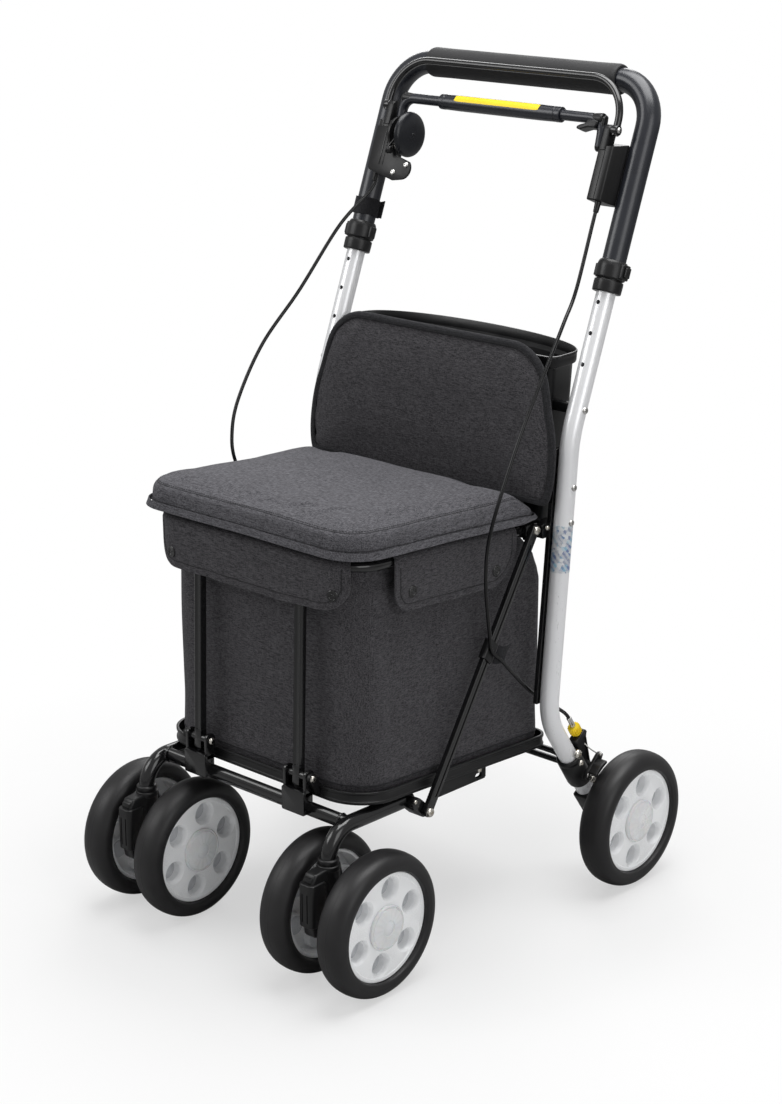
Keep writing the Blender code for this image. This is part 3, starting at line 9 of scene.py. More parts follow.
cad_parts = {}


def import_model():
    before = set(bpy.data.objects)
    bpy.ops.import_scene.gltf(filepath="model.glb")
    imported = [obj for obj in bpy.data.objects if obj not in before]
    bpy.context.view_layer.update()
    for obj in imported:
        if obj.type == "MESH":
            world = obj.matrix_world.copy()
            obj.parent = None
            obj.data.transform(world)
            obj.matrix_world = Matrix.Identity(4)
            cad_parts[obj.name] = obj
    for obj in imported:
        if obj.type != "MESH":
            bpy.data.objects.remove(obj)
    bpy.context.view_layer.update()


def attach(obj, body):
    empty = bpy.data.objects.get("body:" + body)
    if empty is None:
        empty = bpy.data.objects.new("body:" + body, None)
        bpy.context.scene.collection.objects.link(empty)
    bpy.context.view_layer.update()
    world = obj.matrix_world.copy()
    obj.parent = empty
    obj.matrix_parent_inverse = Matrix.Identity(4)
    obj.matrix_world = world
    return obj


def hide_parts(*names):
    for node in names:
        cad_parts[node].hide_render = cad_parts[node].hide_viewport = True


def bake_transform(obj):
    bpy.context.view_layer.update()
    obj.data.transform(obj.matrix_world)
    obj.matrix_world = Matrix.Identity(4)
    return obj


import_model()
UP, RIGHT = Vector((0, 0, 1)), Vector((1, 0, 0))

# Sizes, in metres, the same as the CAD's.
WHEEL_R, TYRE_W, HUB_R, HUB_HALF = 0.0825, 0.039, 0.0625, 0.0134
FRONT_Y, REAR_Y, AXLE_Z = -0.2003, 0.2003, 0.0825
CASTER_X, TWIN, TRAIL, REAR_X = 0.1435, 0.0426, 0.030, 0.2285
STEM_Y = FRONT_Y - TRAIL
TUBE_X, TUBE_R = 0.188, 0.011
TUBE_FACE = TUBE_X + TUBE_R - 0.0004
DECK_Z, DECK_SLOPE, SIDE_Z = 0.218, 0.075, 0.188
KNEE_Z, PIVOT_Z = 0.560, 0.456
SHIN_SLOPE = math.tan(math.radians(5))
ANKLE = Vector((REAR_Y - 0.1106, AXLE_Z + 0.1495))
KNEE = ANKLE + Vector((SHIN_SLOPE, 1)) * (KNEE_Z - ANKLE.y)
FOOT = Vector((math.sin(math.radians(34)), -math.cos(math.radians(34))))
LEG = Vector((math.sin(math.radians(21)), math.cos(math.radians(21))))
AHEAD = Vector((-LEG.y, LEG.x))
PIVOT = Vector((ANKLE.x + SHIN_SLOPE * (PIVOT_Z - ANKLE.y) - 0.0256, PIVOT_Z))
HINGE = Vector((FRONT_Y - 0.006, DECK_Z + 0.010))
STRUT_FOOT = Vector((FRONT_Y + 0.104, SIDE_Z - 0.015))
RING_FRONT, RING_REAR, RING_HALF, RING_R = FRONT_Y + 0.002, PIVOT.x + 0.016, 0.150, 0.006
# Clearance between fitted parts.
GAP = 0.0003
BAR_X, BRACKET_HALF = 0.0768, 0.017
STRUT_X, STRUT_HALF = 0.167, 0.0032
UPRIGHT_X = 0.1736
SEAT_REAR = PIVOT.x - 0.006
BACK_Y = SEAT_REAR + 0.012
SIDES = ((1, "right"), (-1, "left"))


def ring_z(y):
    return 0.474 - DECK_SLOPE * (y - FRONT_Y)


def deck_z(y):
    return DECK_Z - DECK_SLOPE * (y - FRONT_Y)


def shin_y(z):
    return ANKLE.x + SHIN_SLOPE * (z - ANKLE.y)


def on_leg(x, along, ahead=0.0):
    p = KNEE + LEG * along + AHEAD * ahead
    return Vector((x, p.x, p.y))


def foot_point(x, along, out=0.0):
    p = ANKLE + FOOT * along + Vector((-FOOT.y, FOOT.x)) * out
    return Vector((x, p.x, p.y))


def smooth(t):
    t = min(1.0, max(0.0, t))
    return t * t * (3 - 2 * t)


def uneven(x, y, z):
    """Smooth noise between -1 and 1."""
    return noise.noise(Vector((x, y, z)))


# Materials

def nodes_of(name):
    """A new material, its node tree, its shader and the object coordinates."""
    mat = bpy.data.materials.new(name)
    mat.use_nodes = True
    tree = mat.node_tree
    shader = tree.nodes["Principled BSDF"]
    coord = tree.nodes.new("ShaderNodeTexCoord").outputs["Object"]
    return mat, tree, shader, coord


def add(tree, kind, settings=(), **inputs):
    """A new node; its inputs are given by name, or by number as i0, i1 and so on."""
    node = tree.nodes.new(kind)
    for key, value in dict(settings).items():
        setattr(node, key, value)
    for key, value in inputs.items():
        socket = node.inputs[int(key[1:])] if key[0] == "i" and key[1:].isdigit() else node.inputs[key]
        if isinstance(value, bpy.types.NodeSocket):
            tree.links.new(value, socket)
        else:
            socket.default_value = value
    return node


def grain(tree, coord, scale, stretch=(1, 1, 1), detail=2.0):
    """A noise value whose features are 1/scale metres, stretched by the given factors."""
    place = add(tree, "ShaderNodeMapping", i0=coord, Scale=tuple(scale / s for s in stretch))
    return add(tree, "ShaderNodeTexNoise", Vector=place.outputs[0], Scale=1.0, Detail=detail,
               Roughness=0.5).outputs["Fac"]


def between(tree, value, low, high, to_low=0.0, to_high=1.0):
    """The value carried from the range low to high into another range."""
    node = add(tree, "ShaderNodeMapRange", i0=value, i1=low, i2=high, i3=to_low, i4=to_high)
    return node.outputs[0]


def mixed(tree, factor, first, second):
    node = add(tree, "ShaderNodeMix", {"data_type": "RGBA"})
    for socket, value in ((node.inputs[0], factor), (node.inputs[6], first), (node.inputs[7], second)):
        if isinstance(value, bpy.types.NodeSocket):
            tree.links.new(value, socket)
        else:
            socket.default_value = value if not hasattr(value, "__len__") or len(value) == 4 else (*value, 1)
    return node.outputs[2]


def maths(tree, kind, first, second=0.5):
    return add(tree, "ShaderNodeMath", {"operation": kind}, i0=first, i1=second).outputs[0]


def bump(tree, shader, height, strength, distance=0.001):
    node = add(tree, "ShaderNodeBump", Height=height, Strength=strength, Distance=distance)
    tree.links.new(node.outputs[0], shader.inputs["Normal"])


def moulded(name, color, rough, metal=0.0, mottle=0.12, mottle_scale=35, fine=900, fine_bump=0.12,
            stretch=(1, 1, 1), rough_spread=0.06, **sockets):
    """Paint, plastic, rubber or metal: mottled colour, uneven gloss and a fine surface."""
    mat, tree, shader, coord = nodes_of(name)
    broad = grain(tree, coord, mottle_scale, stretch, 3)
    tight = grain(tree, coord, fine, stretch, 2)
    dark = tuple(c * (1 - mottle) for c in color)
    light = tuple(c * (1 + mottle) for c in color)
    tone = mixed(tree, between(tree, broad, 0.3, 0.7), dark, light)
    tree.links.new(tone, shader.inputs["Base Color"])
    both = maths(tree, "MULTIPLY_ADD", broad, 0.6)
    tree.nodes[-1].inputs[2].default_value = 0.0
    mix_value = maths(tree, "ADD", both, maths(tree, "MULTIPLY", tight, 0.4))
    tree.links.new(between(tree, mix_value, 0.35, 0.65, rough - rough_spread, rough + rough_spread),
                   shader.inputs["Roughness"])
    shader.inputs["Metallic"].default_value = metal
    for key, value in sockets.items():
        shader.inputs[key.replace("_", " ")].default_value = value
    bump(tree, shader, tight, fine_bump, 0.0002)
    return mat


def woven(name, dark, light, thread=0.0011):
    """Plain weave of melange yarn; works on faces of any direction."""
    mat, tree, shader, coord = nodes_of(name)
    fine, long = 1150, 7
    yarns = [grain(tree, coord, fine, stretch, 1.5) for stretch in ((long, 1, 1), (1, long, 1), (1, 1, long))]
    total = maths(tree, "ADD", maths(tree, "ADD", yarns[0], yarns[1]), maths(tree, "MULTIPLY", yarns[2], 0.45))
    cloud = grain(tree, coord, 14, detail=3)
    total = maths(tree, "ADD", total, maths(tree, "MULTIPLY", maths(tree, "SUBTRACT", cloud, 0.5), 0.05))
    tone = mixed(tree, between(tree, total, 0.975, 1.475), dark, light)
    tree.links.new(tone, shader.inputs["Base Color"])
    period = 2 * math.pi / (20 * thread)
    waves = [add(tree, "ShaderNodeTexWave", {"wave_type": "BANDS", "bands_direction": axis},
                 Vector=coord, Scale=period, Distortion=0.6, Detail=1.0).outputs["Fac"] for axis in "XYZ"]
    weave = maths(tree, "ADD", maths(tree, "ADD", waves[0], waves[1]), waves[2])
    height = maths(tree, "ADD", maths(tree, "MULTIPLY", weave, 0.35), total)
    bump(tree, shader, height, 0.45, 0.0005)
    shader.inputs["Roughness"].default_value = 0.88
    shader.inputs["Specular IOR Level"].default_value = 0.12
    shader.inputs["Sheen Weight"].default_value = 0.08
    shader.inputs["Sheen Roughness"].default_value = 0.5
    shader.inputs["Sheen Tint"].default_value = (0.75, 0.75, 0.8, 1)
    return mat


def tape_material():
    """Retroreflective tape: small slanted facets in silver, blue and violet."""
    mat, tree, shader, coord = nodes_of("reflective_tape")
    place = add(tree, "ShaderNodeMapping", i0=coord, Rotation=(0.6, 0.35, 0.5), Scale=(1, 1, 1)).outputs[0]
    cells = add(tree, "ShaderNodeTexVoronoi", {"feature": "F1"}, Vector=place, Scale=260.0, Randomness=0.35)
    hue = add(tree, "ShaderNodeSeparateColor", i0=cells.outputs["Color"]).outputs[0]
    ramp = add(tree, "ShaderNodeValToRGB", Fac=hue)
    stops = ramp.color_ramp.elements
    stops[0].color = (0.50, 0.52, 0.56, 1)
    stops[1].color = (0.80, 0.82, 0.84, 1)
    for spot, color in ((0.35, (0.16, 0.22, 0.42, 1)), (0.55, (0.32, 0.55, 0.68, 1)),
                        (0.75, (0.60, 0.62, 0.66, 1))):
        stops.new(spot).color = color
    band = add(tree, "ShaderNodeTexWave", {"wave_type": "BANDS", "bands_direction": "DIAGONAL"}, Vector=coord,
               Scale=70.0, Distortion=0.0).outputs["Fac"]
    tone = mixed(tree, between(tree, band, 0.35, 0.65, 0.0, 0.5), ramp.outputs[0], (0.78, 0.79, 0.80))
    tree.links.new(tone, shader.inputs["Base Color"])
    shader.inputs["Metallic"].default_value = 0.35
    shader.inputs["Roughness"].default_value = 0.3
    bump(tree, shader, cells.outputs["Distance"], 0.3, 0.0004)
    return mat


def hub_material():
    """Milky moulded plastic that lets a little light through."""
    mat = moulded("hub_white", (0.88, 0.89, 0.90), 0.30, mottle=0.03, fine_bump=0.03, mottle_scale=20,
                  Subsurface_Weight=0.12, Subsurface_Scale=0.003, Coat_Weight=0.15)
    mat.node_tree.nodes["Principled BSDF"].inputs["Subsurface Radius"].default_value = (1.0, 1.0, 1.0)
    return mat


M = {
    "silver": moulded("satin_silver", (0.88, 0.885, 0.90), 0.30, 0.35, mottle=0.01, stretch=(1, 1, 12), fine=1400,
                      fine_bump=0.02, rough_spread=0.03),
    "gloss": moulded("gloss_black_paint", (0.005, 0.005, 0.0055), 0.18, fine_bump=0.02, rough_spread=0.015,
                     Coat_Weight=0.35, Coat_Roughness=0.12),
    "satin": moulded("satin_blue_black", (0.012, 0.0135, 0.019), 0.30, 0.1, fine=700, fine_bump=0.06,
                     rough_spread=0.03,
                     Specular_IOR_Level=0.7),
    "grip": moulded("grip_foam", (0.014, 0.014, 0.015), 0.70, fine=1300, fine_bump=0.5, rough_spread=0.08),
    "bell": moulded("bell_paint", (0.008, 0.009, 0.012), 0.30, 0.1, fine_bump=0.05, rough_spread=0.04),
    "cable": moulded("cable_jacket", (0.003, 0.003, 0.0035), 0.22, fine_bump=0.0, rough_spread=0.01, mottle=0.02,
                     Specular_IOR_Level=0.4),
    "plastic": moulded("black_plastic", (0.0065, 0.0065, 0.007), 0.36, fine=1100, fine_bump=0.12, rough_spread=0.03,
                       Specular_IOR_Level=0.42),
    "bin": moulded("bin_plastic", (0.005, 0.005, 0.0055), 0.34, fine=800, fine_bump=0.10,
                   Specular_IOR_Level=0.35),
    "tyre": moulded("tyre_rubber", (0.0125, 0.0120, 0.0128), 0.44, mottle=0.2, fine=700, fine_bump=0.12,
                    Specular_IOR_Level=0.42),
    "hub": hub_material(),
    # The grey of the hub hollows' floors is painted shade: the cups are the hub's white plastic, drawn darker where
    # shade falls in them.
    "shaded_well": moulded("hub_hollow_painted_shade", (0.52, 0.53, 0.55), 0.30, mottle=0.05, fine_bump=0.03),
    "bush": moulded("bush_plastic", (0.30, 0.19, 0.09), 0.45, fine_bump=0.1),
    "cap": moulded("hub_cap", (0.74, 0.75, 0.76), 0.24, mottle=0.05, fine_bump=0.03, Coat_Weight=0.2,
                   Subsurface_Weight=0.2, Subsurface_Scale=0.003),
    "zinc": moulded("zinc_steel", (0.70, 0.69, 0.67), 0.22, 1.0, mottle=0.08, fine_bump=0.08),
    "nickel": moulded("nickel_brass", (0.76, 0.73, 0.67), 0.20, 1.0, mottle=0.06, fine_bump=0.05),
    "yellow": moulded("yellow_plastic", (0.86, 0.62, 0.012), 0.34, mottle=0.06, fine_bump=0.08),
    "strip": moulded("yellow_strip", (0.85, 0.61, 0.012), 0.42, mottle=0.05, fine_bump=0.05),
    "cloth": woven("melange_cloth", (0.020, 0.0192, 0.0212), (0.086, 0.083, 0.089)),
    "seat": woven("melange_seat_cloth", (0.032, 0.0313, 0.0350), (0.122, 0.120, 0.131)),
    "binding": woven("binding_tape", (0.012, 0.012, 0.013), (0.034, 0.034, 0.037), thread=0.0008),
    "web": woven("hook_and_loop", (0.008, 0.008, 0.009), (0.022, 0.022, 0.024), thread=0.0009),
    "shade": moulded("seam_shadow", (0.008, 0.008, 0.009), 0.9, fine_bump=0.2),
    "thread": moulded("sewing_thread", (0.012, 0.012, 0.013), 0.8, fine_bump=0.3),
    "tape": tape_material(),
}


# Mesh helpers

def linked(name, data):
    """A new object in the scene."""
    made = bpy.data.objects.new(name, data)
    bpy.context.scene.collection.objects.link(made)
    return made


def solid(name, points, faces, mat, sharp=35):
    """A piece from points and faces, with doubled points joined and its faces turned outward."""
    mesh = bpy.data.meshes.new(name)
    mesh.from_pydata([tuple(p) for p in points], [], faces)
    work = bmesh.new()
    work.from_mesh(mesh)
    bmesh.ops.remove_doubles(work, verts=work.verts, dist=1e-6)
    bmesh.ops.recalc_face_normals(work, faces=work.faces)
    work.to_mesh(mesh)
    work.free()
    mesh.materials.append(M[mat])
    mesh.shade_smooth()
    mesh.set_sharp_from_angle(angle=math.radians(sharp))
    return linked(name, mesh)


def apply_all(piece, sharp=None):
    """Applies the modifiers, so the mesh is final."""
    bpy.context.view_layer.update()
    done = bpy.data.meshes.new_from_object(piece.evaluated_get(bpy.context.evaluated_depsgraph_get()))
    piece.modifiers.clear()
    piece.data = done
    if sharp is not None:
        done.shade_smooth()
        done.set_sharp_from_angle(angle=math.radians(sharp))
    return piece


def bevel(piece, width, segments=2):
    step = piece.modifiers.new("bevel", "BEVEL")
    step.width, step.segments, step.limit_method = width, segments, "ANGLE"
    step.angle_limit = math.radians(30)
    step.harden_normals = False
    return apply_all(piece, 35)


def boolean(piece, others, sharp=35):
    """Cuts the others out of the piece."""
    for other in others:
        step = piece.modifiers.new("cut", "BOOLEAN")
        step.operation, step.object, step.solver = "DIFFERENCE", other, "EXACT"
    apply_all(piece, sharp)
    for other in others:
        bpy.data.objects.remove(other)
    return piece


def merge(name, parts, sharp=35):
    """Several closed forms as one piece."""
    mesh = bpy.data.meshes.new(name)
    points, faces, index, mats = [], [], [], []
    for part in parts:
        start = len(points)
        world = part.matrix_world
        points += [world @ v.co for v in part.data.vertices]
        for face in part.data.polygons:
            faces.append([start + v for v in face.vertices])
            own = part.data.materials[face.material_index]
            if own not in mats:
                mats.append(own)
            index.append(mats.index(own))
    mesh.from_pydata([tuple(p) for p in points], [], faces)
    for own in mats:
        mesh.materials.append(own)
    mesh.polygons.foreach_set("material_index", index)
    mesh.shade_smooth()
    mesh.set_sharp_from_angle(angle=math.radians(sharp))
    made = linked(name, mesh)
    for part in parts:
        bpy.data.objects.remove(part)
    return made


def put(piece, body, *replaced):
    """Lets the piece ride on a body, in place of the named nodes."""
    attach(piece, body)
    if replaced:
        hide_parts(*replaced)
    return piece


def loft(name, rings, mat, caps=True, closed=False, sharp=35):
    """A skin over rings with the same number of points."""
    count = len(rings[0])
    points = [p for ring in rings for p in ring]
    faces = []
    last = len(rings) if closed else len(rings) - 1
    for row in range(last):
        a, b = row * count, ((row + 1) % len(rings)) * count
        faces += [(a + i, a + (i + 1) % count, b + (i + 1) % count, b + i) for i in range(count)]
    if caps and not closed:
        faces += [tuple(range(count)), tuple(range(len(points) - count, len(points)))]
    return solid(name, points, faces, mat, sharp)


def sheet_mesh(name, grid, mat):
    """An open sheet from a grid of points."""
    rows, cols = len(grid), len(grid[0])
    points = [p for row in grid for p in row]
    faces = [(r * cols + c, r * cols + c + 1, (r + 1) * cols + c + 1, (r + 1) * cols + c)
             for r in range(rows - 1) for c in range(cols - 1)]
    return solid(name, points, faces, mat, 60)


def thicken(piece, thickness, offset=0.0):
    step = piece.modifiers.new("solid", "SOLIDIFY")
    step.thickness, step.offset = thickness, offset
    return apply_all(piece, 40)


def axes_across(axis):
    """The axis as a unit vector, and two directions square to it."""
    axis = Vector(axis).normalized()
    helper = UP if abs(axis.z) < 0.9 else RIGHT
    across = (helper - axis * helper.dot(axis)).normalized()
    return axis, across, axis.cross(across)


def lathe(name, profile, origin, axis, mat, sides=72, sharp=30):
    """A profile of (along, radius) turned round an axis."""
    axis, across, beside = axes_across(axis)
    rings = []
    for along, radius in profile:
        center = Vector(origin) + axis * along
        radius = max(radius, 1e-5)
        rings.append([center + (across * math.cos(t) + beside * math.sin(t)) * radius
                      for t in (2 * math.pi * i / sides for i in range(sides))])
    closed = profile[0][1] > 1e-7 and profile[-1][1] > 1e-7
    return loft(name, rings, mat, caps=not closed, closed=closed, sharp=sharp)


def cylinder(name, start, end, radius, origin, axis, mat, sides):
    """A plain round bar from start to end along an axis."""
    return lathe(name, [(start, 0), (start, radius), (end, radius), (end, 0)], origin, axis, mat, sides=sides)


def rounded(profile, radius):
    """A profile polyline with its inner corners rounded."""
    out = [profile[0]]
    for a, b, c in zip(profile, profile[1:], profile[2:]):
        a, b, c = Vector(a), Vector(b), Vector(c)
        r = min(radius, (a - b).length * 0.45, (c - b).length * 0.45)
        first, last = b + (a - b).normalized() * r, b + (c - b).normalized() * r
        for i in range(4):
            t = i / 3
            out.append(tuple(first * (1 - t) ** 2 + b * 2 * t * (1 - t) + last * t * t))
    out.append(profile[-1])
    return out


def soft_ring(name, start, end, inner, outer, edge, origin, axis, mat, sides):
    """A disc or ring from start to end along an axis, with softened edges."""
    profile = [(start, inner), (start, outer), (end, outer), (end, inner)]
    return lathe(name, rounded(profile, edge), origin, axis, mat, sides=sides)


def arc(center, radius, start, end, steps):
    """Points on an arc between two angles in degrees."""
    turns = [math.radians(start + (end - start) * i / steps) for i in range(steps + 1)]
    return [(center[0] + radius * math.cos(t), center[1] + radius * math.sin(t)) for t in turns]


def stadium(first, second, radius, steps=10, end_radius=None):
    """Outline of two round ends joined by straight sides."""
    end_radius = end_radius or radius
    toward = math.degrees(math.atan2(second[1] - first[1], second[0] - first[0]))
    return (arc(first, radius, toward + 90, toward + 270, steps)
            + arc(second, end_radius, toward - 90, toward + 90, steps))


def rectangle(low, high, radii, steps=8):
    """Outline of a rectangle with rounded corners, from the lower left one round to the left."""
    if not hasattr(radii, "__len__"):
        radii = (radii,) * 4
    corners = ((low[0], low[1], 180), (high[0], low[1], 270), (high[0], high[1], 0), (low[0], high[1], 90))
    out = []
    for (u, v, start), r in zip(corners, radii):
        center = (u + r * (1 if u == low[0] else -1), v + r * (1 if v == low[1] else -1))
        out += arc(center, r, start, start + 90, steps)
    return out


# Ways to place an outline's point (u, v) and its depth.

def side_place(depth, u, v):
    return (depth, u, v)


def up_place(depth, u, v):
    return (u, v, depth)


def ahead_place(depth, u, v):
    return (u, depth, v)


def up_leg(depth, u, v):
    return on_leg(u, depth, v)


def beside_leg(depth, u, v):
    return on_leg(depth, v, u)


def before_leg(depth, u, v):
    return on_leg(u, v, depth)


def mirrored(side, near, far):
    """The stretch between two distances from the middle, on the given side."""
    return sorted((side * near, side * far))


def block(name, outline, near, far, mat, place=side_place, edge=0.0, segments=2):
    """An outline pushed from near to far, with softened edges."""
    rings = [[place(d, u, v) for u, v in outline] for d in (near, far)]
    made = loft(name, rings, mat)
    return bevel(made, edge, segments) if edge else made


def filleted(corners, radii, steps=12):
    """A path through the corners, each rounded by its radius."""
    corners = [Vector(c) for c in corners]
    path = [corners[0]]
    for before, here, after, radius in zip(corners, corners[1:], corners[2:], radii):
        inward, outward = (before - here).normalized(), (after - here).normalized()
        half = inward.angle(outward) / 2
        center = here + (inward + outward).normalized() * (radius / math.sin(half))
        first = here + inward * (radius / math.tan(half)) - center
        last = here + outward * (radius / math.tan(half)) - center
        turn = first.angle(last)
        for i in range(steps + 1):
            t = i / steps
            path.append(center + (first * math.sin((1 - t) * turn) + last * math.sin(t * turn)) / math.sin(turn))
    path.append(corners[-1])
    return path


def smooth_curve(knots, step=0.004, closed=False):
    """Evenly spaced points on a smooth curve through the knots."""
    knots = [Vector(k) for k in knots]
    if closed:
        ends = [knots[-1]] + knots + knots[:2]
    else:
        ends = [2 * knots[0] - knots[1]] + knots + [2 * knots[-1] - knots[-2]]
    fine = []
    for a, b, c, d in zip(ends, ends[1:], ends[2:], ends[3:]):
        for i in range(64):
            t = i / 64
            fine.append(0.5 * (2 * b + (c - a) * t + (2 * a - 5 * b + 4 * c - d) * t ** 2
                               + (3 * b - a - 3 * c + d) * t ** 3))
    if not closed:
        fine.append(knots[-1])
    return even(fine, step, closed)


def even(points, step, closed=False):
    """Points at even distances along a line."""
    line = [Vector(p) for p in points] + ([Vector(points[0])] if closed else [])
    lengths = [0.0]
    for a, b in zip(line, line[1:]):
        lengths.append(lengths[-1] + (b - a).length)
    count = max(2, round(lengths[-1] / step))
    out, spot = [], 0
    for i in range(count + (0 if closed else 1)):
        goal = lengths[-1] * i / count
        while spot < len(line) - 2 and lengths[spot + 1] < goal:
            spot += 1
        span = max(1e-9, lengths[spot + 1] - lengths[spot])
        out.append(line[spot].lerp(line[spot + 1], min(1.0, (goal - lengths[spot]) / span)))
    return out


def tube(name, path, radius, mat, sides=24, high=None, flat=None, closed=False, bore=0.0):
    """A round or oval bar along a path."""
    path = [Vector(p) for p in path]
    count = len(path)
    high = high or radius
    base = [(radius * math.cos(t), high * math.sin(t)) for t in (2 * math.pi * i / sides for i in range(sides))]
    side = Vector(flat).normalized() if flat else None
    outer, inner = [], []
    for i, here in enumerate(path):
        before = path[i - 1] if i or closed else here
        after = path[(i + 1) % count] if i < count - 1 or closed else here
        tangent = (after - before).normalized()
        if side is None:
            side = tangent.orthogonal().normalized()
        if not flat:
            side = (side - tangent * side.dot(tangent)).normalized()
        other = tangent.cross(side).normalized()
        outer.append([here + side * u + other * v for u, v in base])
        if bore:
            inner.append([here + side * (u * bore / radius) + other * (v * bore / radius) for u, v in base])
    if bore:
        return loft(name, outer + inner[::-1], mat, closed=True)
    return loft(name, outer, mat, closed=closed)


def screw(name, place, axis, radius, body, mat="zinc", height=None, drive="cross"):
    """A domed screw head with a cross or hexagon recess."""
    axis, across, beside = axes_across(axis)
    height = height or radius * 0.62
    dome = [(-0.0006, 0), (-0.0006, radius)] + [
        (height * math.sin(t), radius * (0.42 + 0.58 * math.cos(t) ** 0.8))
        for t in (math.radians(a) for a in (0, 18, 36, 54, 72, 84))] + [(height, 0)]
    head = lathe(name, dome, place, axis, mat, sides=28)
    depth = height * 0.45
    cutters = []
    if drive == "cross":
        arms = ((across, beside), (beside, across))
        for n, (long, short) in enumerate(arms):
            corners = []
            for d in (height - depth, height + 0.002):
                corners.append([Vector(place) + axis * d + long * (u * radius * 0.5) + short * (v * radius * 0.13)
                                for u, v in ((-1, -1), (1, -1), (1, 1), (-1, 1))])
            cutters.append(loft(f"{name}_slot_{n}", corners, mat))
    else:
        rings = [[Vector(place) + axis * d + (across * math.cos(t) + beside * math.sin(t)) * radius * 0.42
                  for t in (math.radians(60 * k) for k in range(6))] for d in (height - depth, height + 0.002)]
        cutters.append(loft(f"{name}_hex", rings, mat))
    return put(boolean(head, cutters), body)


DASH_SHARE, THREAD_R = 0.62, 0.00035


def stitches(name, path, pitch):
    """A row of thread dashes along a path."""
    line = even(path, pitch)
    points, faces = [], []
    for a, b in zip(line, line[1:]):
        b = a.lerp(b, DASH_SHARE)
        way = (b - a).normalized()
        side = way.orthogonal().normalized()
        other = way.cross(side)
        start = len(points)
        for place, size in ((a, 0.45), (a.lerp(b, 0.2), 1.0), (a.lerp(b, 0.8), 1.0), (b, 0.45)):
            points += [place + (side * math.cos(t) + other * math.sin(t)) * THREAD_R * size
                       for t in (math.pi / 3 * k for k in range(6))]
        for row in range(3):
            s = start + row * 6
            faces += [(s + i, s + (i + 1) % 6, s + 6 + (i + 1) % 6, s + 6 + i) for i in range(6)]
        faces += [tuple(range(start, start + 6)), tuple(range(start + 18, start + 24))]
    return solid(name, points, faces, "thread")


def snap(name, place, axis, body, radius=0.0062):
    """A pressed snap fastener: rim, recess and centre."""
    profile = rounded([(-0.0008, 0), (-0.0008, radius * 0.92), (0.0006, radius), (0.0016, radius * 0.86),
                       (0.0013, radius * 0.62), (0.0006, radius * 0.56), (0.0006, radius * 0.30),
                       (0.0012, radius * 0.24), (0.0012, 0)], 0.0004)
    return put(lathe(name, profile, place, axis, "gloss", sides=36), body)


# Wheels

def tyre(center, outward, body, node):
    """Solid tyre: flat sidewalls, a round tread and a fine mould line."""
    half, seat = TYRE_W / 2, HUB_R + GAP
    side = [(0.0150, seat), (0.0172, seat + 0.0006), (0.0183, seat + 0.0014), (0.0187, seat + 0.0024),
            (0.0187, seat + 0.0032)]
    for i in range(13):
        t = math.radians(2 + 86 * i / 12)
        side.append((half * math.cos(t) ** 0.8, 0.0665 + 0.0159 * math.sin(t) ** 0.8))
    side += [(0.0007, WHEEL_R - 0.0001), (0.0003, WHEEL_R)]
    profile = side + [(-x, r) for x, r in reversed(side)]
    put(lathe(f"tyre_{body}", profile, center, (outward, 0, 0), "tyre", sides=96, sharp=60), body, node)


# The six hollows of a hub: radius of their circle in metres, and its turn in degrees.
HOLLOW_CIRCLE, HOLLOW_TURN = 0.0435, 20


